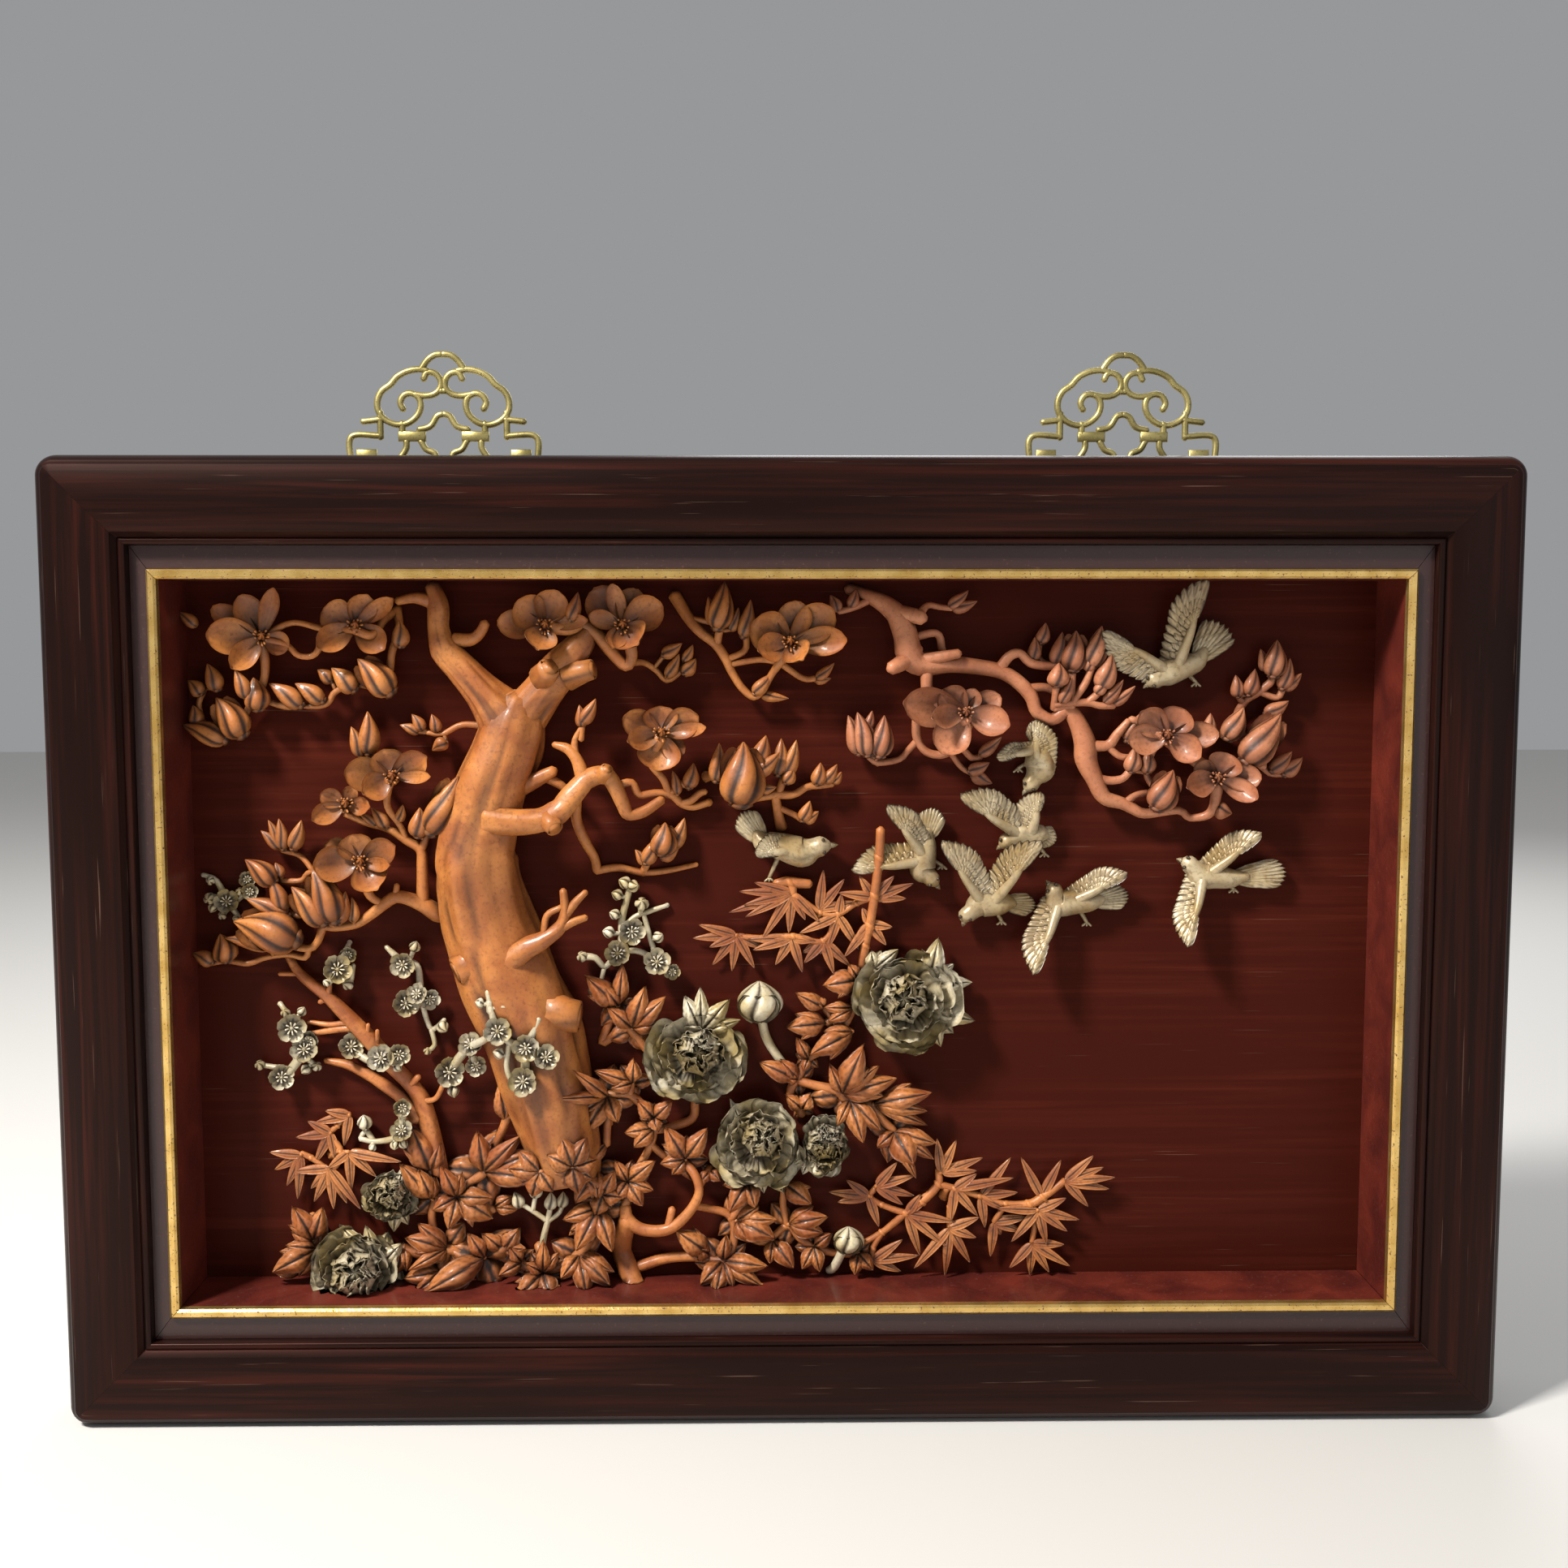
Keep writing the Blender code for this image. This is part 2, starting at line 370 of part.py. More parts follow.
            ((312, 112, 7, 2.4), (322, 106, 7, 2.4), (332, 105, 7, 2.2)),
            ((304, 152, 5, 2.2), (300, 156, 6, 2.2), (307, 158, 7, 2.2)),
        ),
        "buds": (
            (318, 143, 334, 153, 9, 10), (323, 168, 325, 193, 13, 15), (329, 160, 334, 181, 9, 13),
            (330, 160, 342, 171, 7, 11), (307, 156, 311, 174, 9, 10), (300, 155, 298, 170, 8, 8),
            (323, 106, 337, 120, 9, 11), (331, 104, 344, 116, 9, 10), (318, 172, 314, 187, 7, 10),
        ),
        "flowers": (),
    },
}
PLUM_LIMBS = (
    ((-330, -14, 4, 2.4), (-324, -24, 6, 3), (-316, -32, 8, 3.6), (-305, -41, 9, 4.4), (-295, -51, 10, 5),
     (-284, -63, 10, 5.4), (-272, -76, 10, 5.4), (-262, -88, 9, 5), (-252, -98, 9, 5), (-244, -109, 9, 5.6),
     (-240, -122, 9, 6), (-236, -140, 9, 6), (-232, -160, 8, 6)),
    ((-307, -84, 4, 1.8), (-292, -87, 6, 3), (-278, -94, 8, 3.6), (-266, -102, 9, 4), (-256, -110, 9, 4.2),
     (-247, -124, 9, 5)),
    ((-283, -62, 10, 2.4), (-292, -59, 9, 2), (-304, -60, 7, 1.8), (-318, -58, 5, 1.5)),
    ((-284, -62, 10, 2.4), (-297, -63, 9, 2.2), (-316, -66, 7, 1.6)),
    ((-322, -26, 6, 1.8), (-336, -26, 6, 1.6)),
    ((-304, -42, 9, 2), (-303, -33, 12, 1.6)),
    ((-304, -42, 9, 2), (-310, -45, 9, 1.6)),
    ((-279, -70, 12, 1.8), (-278, -60, 13, 1.4)),
    ((-272, -76, 12, 2), (-272, -64, 14, 1.4)),
    ((-242, -112, 12, 2), (-234, -110, 15, 1.8), (-229, -101, 16, 1.6)),
    ((-250, -100, 12, 2.4), (-245, -95, 13, 2)),
)
# Plum sprigs: stems as runs, blossoms (x, z, lift, radius) and round buds (x, z, lift, radius)
PLUM_SPRIGS = {
    "plum_sprig_top_left": {
        "stems": (
            ((-380, 26, 3, 2), (-369, 22, 4, 3.4), (-358, 28, 4, 2.4), (-354, 36, 4, 2)),
            ((-369, 22, 4, 3), (-372, 14, 4, 2)),
            ((-369, 22, 4, 2.6), (-376, 36, 4, 1.8), (-385, 40, 3, 1.6)),
            ((-369, 22, 4, 2.4), (-362, 12, 4, 1.6)),
        ),
        "blossoms": ((-370, 22, 9, 8), (-354, 29, 8, 5.5), (-356, 37, 7, 5.5)),
        "buds": ((-381, 24, 7, 3.8), (-379, 18, 6, 3), (-373, 13, 6, 2.8), (-380, 36, 6, 3), (-364, 11, 6, 2.4),
                 (-361, 29, 9, 2.6)),
    },
    "plum_sprig_left": {
        "stems": (
            ((-303, -32, 13, 1.8), (-300, -24, 12, 2.6)),
            ((-289, -5, 4, 1.4), (-293, -13, 9, 2.4), (-298, -22, 11, 3)),
            ((-298, -22, 9, 3), (-290, -32, 8, 2), (-287, -20, 8, 1.6)),
        ),
        "blossoms": ((-298, -23, 15, 9.5), (-290, -13, 9, 5.5)),
        "buds": ((-291, -33, 9, 4), (-305, -32, 14, 2.6)),
    },
    "plum_sprig_upper": {
        "stems": (
            ((-265, -8, 5, 1.5), (-258, -15, 6, 2.4), (-254, -20, 6, 3)),
            ((-246, -8, 7, 2), (-245, -20, 3, 2), (-243, -32, 6, 2.4), (-244, -42, 7, 3)),
            ((-254, -20, 5, 2.4), (-245, -22, 3, 2)),
            ((-240, -55, 4, 1.8), (-242, -46, 6, 2.4)),
            ((-241, -54, 4, 1.8), (-236, -63, 5, 1.8), (-227, -57, 6, 1.8)),
            ((-236, -63, 5, 1.8), (-234, -74, 5, 1.6), (-239, -78, 5, 1.6)),
            ((-242, -44, 6, 3), (-252, -46, 7, 3)),
        ),
        "blossoms": ((-254, -20, 11, 8.5), (-253, -46, 12, 9), (-245, -40, 13, 7), (-237, -43, 9, 7)),
        "buds": ((-246, -8, 8, 3.8), (-239, -78, 6, 2.6), (-228, -62, 8, 4)),
    },
    "plum_sprig_lower": {
        "stems": (
            ((-336, -46, 5, 1.6), (-331, -54, 7, 2.2), (-329, -62, 9, 3)),
            ((-322, -50, 5, 2), (-326, -58, 7, 2.4)),
            ((-329, -62, 7, 2.6), (-322, -76, 8, 3), (-330, -90, 7, 3), (-338, -96, 6, 3)),
            ((-340, -78, 5, 1.6), (-326, -76, 6, 2)),
            ((-316, -66, 6, 1.6), (-324, -72, 8, 2.4)),
            ((-354, -97, 4, 1.4), (-340, -95, 5, 2)),
            ((-330, -90, 6, 2), (-350, -87, 5, 1.6)),
            ((-322, -80, 6, 2), (-313, -88, 6, 1.6)),
        ),
        "blossoms": ((-329, -62, 14, 9.5), (-321, -77, 13, 9), (-337, -95, 11, 8.5), (-318, -71, 9, 7)),
        "buds": ((-333, -52, 8, 3.2), (-322, -51, 8, 3.2), (-351, -87, 7, 3.4), (-313, -88, 8, 3.2),
                 (-320, -90, 7, 3.6)),
    },
    "plum_sprig_branch": {
        "stems": (
            ((-290, -75, 5, 2), (-290, -63, 5, 1.5)),
            ((-290, -75, 6, 3), (-278, -84, 14, 2.4), (-266, -82, 18, 3)),
        ),
        "blossoms": ((-290, -75, 11, 8.5), (-270, -83, 21, 9), (-258, -80, 19, 7.5)),
        "buds": ((-259, -89, 19, 3), (-290, -62, 8, 2.4)),
    },
    "plum_sprig_low_left": {
        "stems": (
            ((-285, -137, 8, 1.8), (-275, -139, 9, 1.8), (-262, -137, 13, 2.4), (-257, -132, 17, 2.6)),
            ((-285, -120, 4, 1.6), (-281, -132, 6, 2), (-276, -139, 8, 2)),
            ((-276, -139, 9, 1.8), (-278, -144, 9, 1.8)),
            ((-257, -130, 16, 2.6), (-256, -116, 17, 2.6)),
        ),
        "blossoms": ((-257, -132, 21, 7.5), (-257, -116, 19, 6)),
        "buds": ((-282, -126, 8, 5), (-277, -143, 9, 2.6), (-262, -142, 17, 3), (-256, -141, 18, 3)),
    },
    "plum_sprig_trunk": {
        "stems": (
            ((-198, -38, 40, 1.8), (-196, -50, 40, 2), (-193, -62, 41, 3)),
            ((-204, -46, 36, 2.4), (-197, -52, 39, 2)),
            ((-188, -47, 40, 2.2), (-196, -53, 40, 2)),
            ((-164, -56, 42, 2), (-168, -66, 42, 2.4), (-173, -75, 42, 3)),
            ((-193, -64, 41, 3), (-184, -72, 42, 2.4), (-173, -76, 42, 3), (-160, -82, 42, 3)),
            ((-191, -80, 40, 2), (-186, -88, 41, 2), (-182, -98, 41, 2.4), (-174, -98, 42, 3)),
            ((-173, -76, 42, 3), (-174, -98, 42, 3)),
            ((-212, -76, 20, 3), (-200, -70, 34, 2.4), (-193, -65, 40, 3)),
            ((-212, -76, 20, 3), (-224, -90, 12, 3)),
            ((-212, -76, 20, 2.4), (-206, -88, 18, 2.4)),
        ),
        "blossoms": ((-192, -65, 45, 9), (-173, -76, 46, 9), (-160, -83, 46, 8.5), (-175, -99, 46, 9.5),
                     (-225, -92, 15, 10), (-210, -74, 24, 8), (-207, -88, 19, 7)),
        "buds": ((-203, -46, 38, 3.4), (-187, -48, 41, 3.2), (-191, -80, 41, 3.8), (-222, -105, 13, 4)),
    },
    "plum_sprig_centre": {
        "stems": (
            ((-102, 34, 7, 2.4), (-105, 22, 5, 2.2), (-108, 10, 4, 2.4), (-108, -2, 5, 3), (-110, -11, 7, 3)),
            ((-117, 1, 5, 2), (-108, 0, 5, 2.4)),
            ((-113, 13, 5, 2), (-108, 7, 4, 2.2)),
            ((-110, 26, 5, 2), (-105, 22, 5, 2)),
            ((-108, 2, 5, 2.4), (-100, 11, 4, 1.8), (-90, 15, 4, 1.8), (-78, 19, 3, 1.4)),
            ((-96, 13, 4, 1.8), (-95, 20, 6, 2)),
            ((-134, -15, 6, 2.6), (-126, -16, 7, 2.2), (-120, -22, 5, 2), (-114, -16, 5, 2), (-110, -12, 6, 2.4)),
                 ((-86, -6, 4, 1.6), (-85, -16, 5, 2), (-76, -24, 5, 2), (-96, -12, 5, 2), (-110, -12, 6, 2)),
        ),
        "blossoms": ((-102, 2, 12, 9), (-111, -13, 11, 8.5),
                 (-85, -19, 12, 9), (-75, -25, 9, 5.5), (-124, -38, 8, 6.5),
        ),
        "buds": ((-106, 34, 8, 4.2), (-100, 32, 9, 4), (-111, 26, 7, 3.8), (-95, 20, 8, 4.6), (-113, 13, 7, 3.6),
                 (-117, 1, 8, 4), (-135, -15, 8, 3.6),
                 (-84, -2, 8, 3.8),
        ),
    },
}
# Peony blooms: heart (x, z, lift), half width, half height, and the ball of closed petals (x, z, lift,
# radius) in the heart
PEONIES = {
    "peony_large_middle": ((-60, -82, 19), 34, 27, (-58, -80, 32, 15)),
    "peony_large_right": ((82, -45, 19), 34, 31, (80, -44, 31, 16)),
    "peony_lower_middle": ((-18, -141, 19), 29, 28, (-15, -138, 31, 13)),
    "peony_side_on": ((27, -141, 17), 14, 21, (27, -141, 23, 12)),
    "peony_lower_left": ((-290, -226, 20), 29, 27, (-291, -229, 33, 16)),
    "peony_small_left": ((-265, -175, 15), 17, 16, (-266, -174, 23, 10)),
}
PEONY_ROUND_BUD = ((-17, -46, 13), 14, ((-17, -46, 13, 3), (-12, -70, 4, 3), (2, -92, 3, 3)))
PEONY_LOW_BUD = ((43, -208, 12), 9.5, ((43, -208, 12, 3), (34, -226, 5, 3), (30, -229, 2, 3)))
PEONY_ROUND_BUD_ON = "peony_leaves_right"
# Small silvered buds on thin stems among the leaves at the tree's foot
FOOT_BUDS_ON = "peony_leaves_base_middle"
FOOT_BUD_STEMS = (
    ((-166, -226, 8, 2.4), (-163, -206, 12, 2.2), (-160, -194, 14, 2), (-158, -184, 15, 1.8)),
    ((-160, -194, 14, 1.8), (-170, -187, 14, 1.6), (-178, -182, 14, 1.6)),
    ((-170, -187, 14, 1.6), (-168, -176, 15, 1.6)),
    ((-160, -194, 14, 1.8), (-152, -188, 14, 1.6), (-150, -182, 14, 1.6)),
)
FOOT_BUDS = ((-158, -181, 15, 4.6), (-180, -180, 14, 4.4), (-168, -173, 15, 4.6), (-164, -168, 14, 4), (-150, -180, 14, 4.2))
# Peony foliage: stems as runs, and fans of lobes, each a heart (x, z, lift) and its lobes
# (tip x, tip z, width, tip lift)
PEONY_FOLIAGE = {
    "peony_leaves_left": (
        (
            ((-234, -176, 4, 3.4), (-238, -188, 6, 2.8), (-236, -202, 8, 2.8), (-228, -212, 8, 2.8),
             (-216, -218, 5, 3)),
            ((-234, -176, 4, 3.4), (-240, -168, 8, 3), (-237, -154, 8, 3)),
            ((-234, -176, 5, 3.2), (-222, -178, 10, 3), (-214, -168, 9, 3), (-202, -160, 10, 3),
             (-194, -142, 10, 3), (-188, -128, 12, 3), (-184, -116, 14, 4)),
            ((-222, -178, 10, 3), (-206, -182, 8, 3), (-196, -186, 7, 3)),
        ),
        (
            ((-238, -160, 9), ((-250, -131, 17, 16), (-232, -141, 11, 14))),
            ((-238, -178, 8), ((-257, -156, 14, 17), (-246, -160, 12, 19), (-236, -165, 9, 14))),
            ((-221, -177, 12), ((-230, -158, 11, 22), (-218, -162, 8, 17), (-237, -186, 10, 20),
                                (-227, -199, 11, 22), (-215, -192, 11, 17), (-197, -192, 17, 14),
                                (-198, -178, 12, 16))),
            ((-203, -160, 11), ((-206, -135, 14, 20), (-179, -137, 12, 22), (-163, -145, 12, 18),
                                (-164, -165, 14, 22))),
            ((-187, -126, 13), ((-191, -101, 11, 18), (-180, -108, 8, 16))),
            ((-196, -184, 8), ((-184, -177, 8, 10), (-181, -186, 8, 10))),
        ),
    ),
    "peony_leaves_base_left": (
        (
            ((-318, -190, 3, 3), (-316, -205, 6, 3), (-322, -212, 8, 3)),
            ((-316, -205, 6, 3), (-322, -220, 8, 3), (-328, -227, 10, 3)),
        ),
        (
            ((-318, -206, 9), ((-330, -185, 14, 16), (-312, -186, 12, 14), (-332, -201, 10, 14))),
            ((-316, -212, 10), ((-346, -228, 15, 24), (-336, -210, 10, 18), (-329, -232, 11, 14))),
            ((-328, -229, 10), ((-345, -228, 7, 14),)),
        ),
    ),
    "peony_leaves_base_middle": (
        (
            ((-196, -215, 6, 4), (-180, -222, 8, 4), (-164, -228, 10, 4), (-140, -218, 12, 4), (-130, -200, 12, 4),
             (-126, -186, 12, 4), (-130, -166, 12, 4), (-134, -155, 14, 4)),
            ((-196, -215, 6, 4), (-214, -217, 8, 4), (-228, -213, 10, 4), (-244, -216, 9, 3.6),
             (-258, -212, 8, 3.4)),
            ((-164, -228, 4, 3.4), (-166, -210, 2, 3.4)),
            ((-228, -213, 10, 3.6), (-232, -226, 12, 3.6)),
        ),
        (
            ((-228, -212, 12), ((-255, -205, 13, 22), (-247, -196, 11, 18), (-254, -227, 8, 26),
                                (-240, -222, 10, 18))),
            ((-258, -211, 9), ((-263, -230, 11, 16), (-256, -228, 9, 15))),
            ((-203, -219, 14), ((-244, -243, 16, 30), (-236, -233, 12, 24), (-213, -203, 10, 18))),
            ((-232, -228, 14), ((-258, -233, 12, 20), (-250, -243, 11, 24))),
            ((-190, -214, 9), ((-181, -201, 12, 15), (-203, -203, 10, 16), (-176, -213, 10, 16))),
            ((-178, -222, 12), ((-193, -231, 9, 22), (-185, -213, 9, 18))),
            ((-164, -229, 14), ((-163, -210, 9, 24), (-174, -224, 8, 22), (-154, -217, 8, 20),
                                (-182, -248, 13, 28), (-158, -250, 13, 28), (-166, -252, 9, 24))),
            ((-139, -217, 14), ((-151, -233, 11, 26), (-119, -238, 13, 28), (-117, -229, 11, 24),
                                (-134, -248, 12, 28))),
            ((-126, -185, 14), ((-149, -193, 11, 24), (-141, -214, 14, 28), (-117, -215, 12, 26),
                                (-146, -204, 9, 20))),
            ((-127, -159, 14), ((-147, -169, 10, 24), (-141, -181, 13, 26), (-126, -178, 11, 26))),
            ((-135, -154, 14), ((-163, -158, 12, 24), (-156, -171, 9, 20))),
        ),
    ),
    "peony_leaves_centre": (
        (
            ((-67, -154, 8, 3), (-60, -164, 14, 3), (-58, -176, 16, 3), (-66, -190, 17, 3.4), (-79, -200, 17, 3.8),
             (-96, -200, 15, 4), (-106, -193, 13, 4.4), (-108, -184, 12, 4)),
            ((-79, -200, 17, 3), (-76, -186, 15, 2.6)),
            ((-62, -184, 15, 2.6), (-50, -186, 10, 2.6), (-38, -190, 9, 2.6), (-34, -200, 9, 2.8),
             (-36, -214, 11, 3), (-42, -222, 12, 3.4), (-60, -219, 8, 3.4), (-80, -220, 6, 3.6),
             (-100, -226, 6, 4)),
            ((-114, -198, 1, 6), (-110, -212, 4, 6.5), (-106, -226, 7, 7), (-102, -240, 12, 7.5)),
            ((-108, -184, 12, 3), (-104, -172, 10, 2.8), (-100, -160, 9, 2.6), (-92, -146, 8, 2.6),
             (-88, -132, 8, 3), (-92, -120, 8, 3), (-104, -108, 8, 3), (-118, -108, 9, 3)),
            ((-88, -132, 8, 3), (-76, -130, 5, 3), (-62, -124, 3, 3), (-60, -112, 2, 3)),
            ((-88, -142, 8, 2.6), (-78, -152, 6, 2.6), (-67, -154, 8, 3)),
            ((-34, -192, 9, 2.8), (-26, -180, 9, 2.8), (-24, -166, 9, 2.8)),
            ((-58, -172, 14, 2.6), (-50, -158, 6, 2.6)),
            ((-104, -106, 8, 3), (-103, -98, 8, 3)),
            ((-118, -128, 6, 2.8), (-120, -142, 8, 2.8)),
            ((-118, -108, 9, 3), (-118, -128, 6, 2.8)),
            ((-34, -200, 9, 2.8), (-14, -209, 6, 2.6), (2, -198, 6, 2.6), (12, -208, 6, 2.6), (30, -216, 5, 2.6),
             (50, -218, 5, 2.6)),
            ((2, -198, 6, 2.6), (-1, -184, 6, 2.4), (0, -170, 8, 2.4)),
        ),
        (
            ((0, -169, 9), ((18, -183, 13, 16),)),
            ((3, -197, 9), ((28, -192, 12, 16), (26, -203, 12, 14), (19, -185, 9, 12))),
            ((-8, -208, 9), ((6, -227, 12, 18), (-10, -224, 9, 14))),
            ((20, -212, 8), ((12, -228, 9, 14), (24, -230, 9, 14), (31, -204, 9, 12))),
            ((50, -217, 8), ((60, -229, 9, 14), (48, -232, 9, 14))),
            ((-106, -167, 12), ((-113, -154, 8, 17), (-89, -154, 11, 18), (-114, -179, 11, 20),
                                (-96, -184, 10, 18), (-89, -173, 9, 16))),
            ((-119, -109, 11), ((-139, -122, 10, 18), (-135, -134, 13, 20), (-113, -126, 12, 20),
                                (-156, -111, 8, 40), (-139, -94, 9, 38))),
            ((-102, -100, 10), ((-127, -92, 9, 16), (-115, -104, 10, 18), (-101, -86, 10, 16))),
            ((-88, -124, 10), ((-98, -113, 10, 16), (-86, -131, 9, 18), (-77, -114, 10, 17))),
            ((-88, -131, 10), ((-107, -134, 10, 16), (-101, -143, 11, 18))),
            ((-67, -152, 11), ((-79, -132, 13, 18), (-53, -133, 12, 18), (-84, -155, 9, 12),
                               (-76, -163, 9, 12))),
            ((-50, -160, 8), ((-57, -168, 7, 14), (-44, -166, 8, 14))),
            ((-120, -141, 9), ((-134, -155, 9, 16),)),
            ((-51, -217, 9), ((-72, -202, 14, 18), (-58, -214, 12, 16))),
            ((-42, -222, 13), ((-40, -206, 9, 18), (-56, -237, 12, 26), (-47, -247, 11, 28), (-35, -241, 9, 24),
                               (-13, -226, 12, 22), (-15, -240, 10, 22))),
            ((-25, -167, 11), ((-40, -170, 9, 18), (-37, -188, 12, 22), (-20, -185, 11, 20))),
            ((-32, -194, 10), ((-8, -206, 16, 20), (-6, -194, 11, 16), (-24, -208, 12, 18),
                               (-18, -185, 9, 14))),
        ),
    ),
    "peony_leaves_right": (
        (
            ((0, -90, 2, 3), (8, -98, 5, 3), (20, -102, 8, 3), (36, -106, 10, 3.4), (42, -112, 10, 3.4),
             (58, -116, 9, 3), (66, -126, 9, 3), (74, -134, 9, 3)),
            ((8, -98, 5, 3), (4, -108, 5, 3), (12, -122, 5, 3)),
            ((9, -98, 5, 2.8), (16, -84, 5, 2.8), (30, -76, 6, 2.8), (40, -62, 6, 2.8), (46, -50, 5, 2.8),
             (50, -34, 6, 3)),
            ((30, -58, 5, 2.8), (27, -50, 6, 2.6)),
            ((46, -52, 5, 2.6), (38, -56, 5, 2.6), (28, -60, 6, 2.8)),
        ),
        (
            ((50, -31, 8), ((28, -35, 15, 16), (44, -22, 9, 12))),
            ((27, -50, 8), ((9, -41, 10, 14), (22, -44, 8, 12))),
            ((28, -60, 8), ((3, -63, 14, 16), (8, -54, 8, 12))),
            ((46, -50, 8), ((27, -50, 8, 14), (30, -59, 9, 14))),
            ((46, -66, 9), ((18, -81, 14, 18), (27, -66, 9, 14))),
            ((16, -84, 7), ((9, -71, 8, 12), (13, -92, 6, 12))),
            ((9, -98, 7), ((-16, -87, 12, 12), (-2, -86, 10, 12), (2, -98, 7, 12))),
            ((12, -118, 8), ((2, -110, 9, 13), (16, -111, 11, 15))),
            ((39, -108, 13), ((31, -90, 9, 20), (52, -79, 16, 28), (62, -90, 11, 22), (75, -98, 13, 18),
                              (66, -108, 10, 16))),
            ((44, -112, 11), ((36, -129, 8, 22), (53, -141, 12, 24), (65, -133, 11, 20))),
            ((60, -115, 11), ((98, -108, 13, 20), (96, -120, 10, 18), (97, -130, 8, 12))),
            ((74, -134, 11), ((63, -144, 9, 18), (87, -156, 17, 26), (102, -142, 11, 18), (101, -153, 9, 17),
                              (89, -166, 8, 20))),
        ),
    ),
    "peony_leaves_around_blooms": (
        (
            ((-112, -48, 2, 3), (-104, -62, 6, 3), (-98, -70, 6, 3), (-90, -80, 6, 3)),
            ((-103, -64, 6, 3), (-94, -58, 5, 3)),
            ((-124, -52, 2, 3), (-122, -72, 2, 3), (-112, -66, 3, 3), (-104, -62, 6, 3)),
        ),
        (
            ((-111, -48, 8), ((-131, -30, 14, 20), (-108, -22, 10, 16), (-120, -36, 10, 20))),
            ((-102, -63, 9), ((-94, -38, 13, 20), (-81, -44, 12, 18), (-84, -60, 10, 16), (-117, -50, 10, 18))),
        ),
    ),
}
# Small peony leaves that stand out from behind the two large blooms, with their hearts under the blooms
BLOOM_LEAVES = {
    "peony_large_middle": (
        ((-56, -66, 12), ((-66, -43, 12, 16), (-56, -37, 10, 14), (-38, -45, 12, 16), (-30, -58, 9, 14))),
    ),
    "peony_large_right": (
        ((96, -34, 12), ((103, -5, 14, 16), (92, -14, 9, 14), (113, -21, 9, 14), (126, -33, 10, 12))),
        ((96, -52, 12), ((128, -59, 11, 14), (105, -77, 11, 12))),
        ((60, -24, 12), ((58, -12, 9, 12), (76, -11, 9, 12))),
    ),
    "peony_lower_middle": (
        ((-20, -150, 12), ((-36, -112, 9, 12), (-14, -176, 12, 14), (0, -176, 10, 13))),
    ),
    "peony_side_on": (
        ((18, -150, 10), ((6, -157, 8, 14), (12, -163, 7, 12))),
    ),
    "peony_lower_left": (
        ((-275, -225, 12), ((-260, -210, 12, 16), (-300, -196, 11, 14), (-282, -198, 11, 16))),
    ),
    "peony_small_left": (
        ((-262, -180, 10), ((-264, -201, 9, 14), (-254, -196, 8, 12), (-257, -157, 8, 12))),
    ),
}
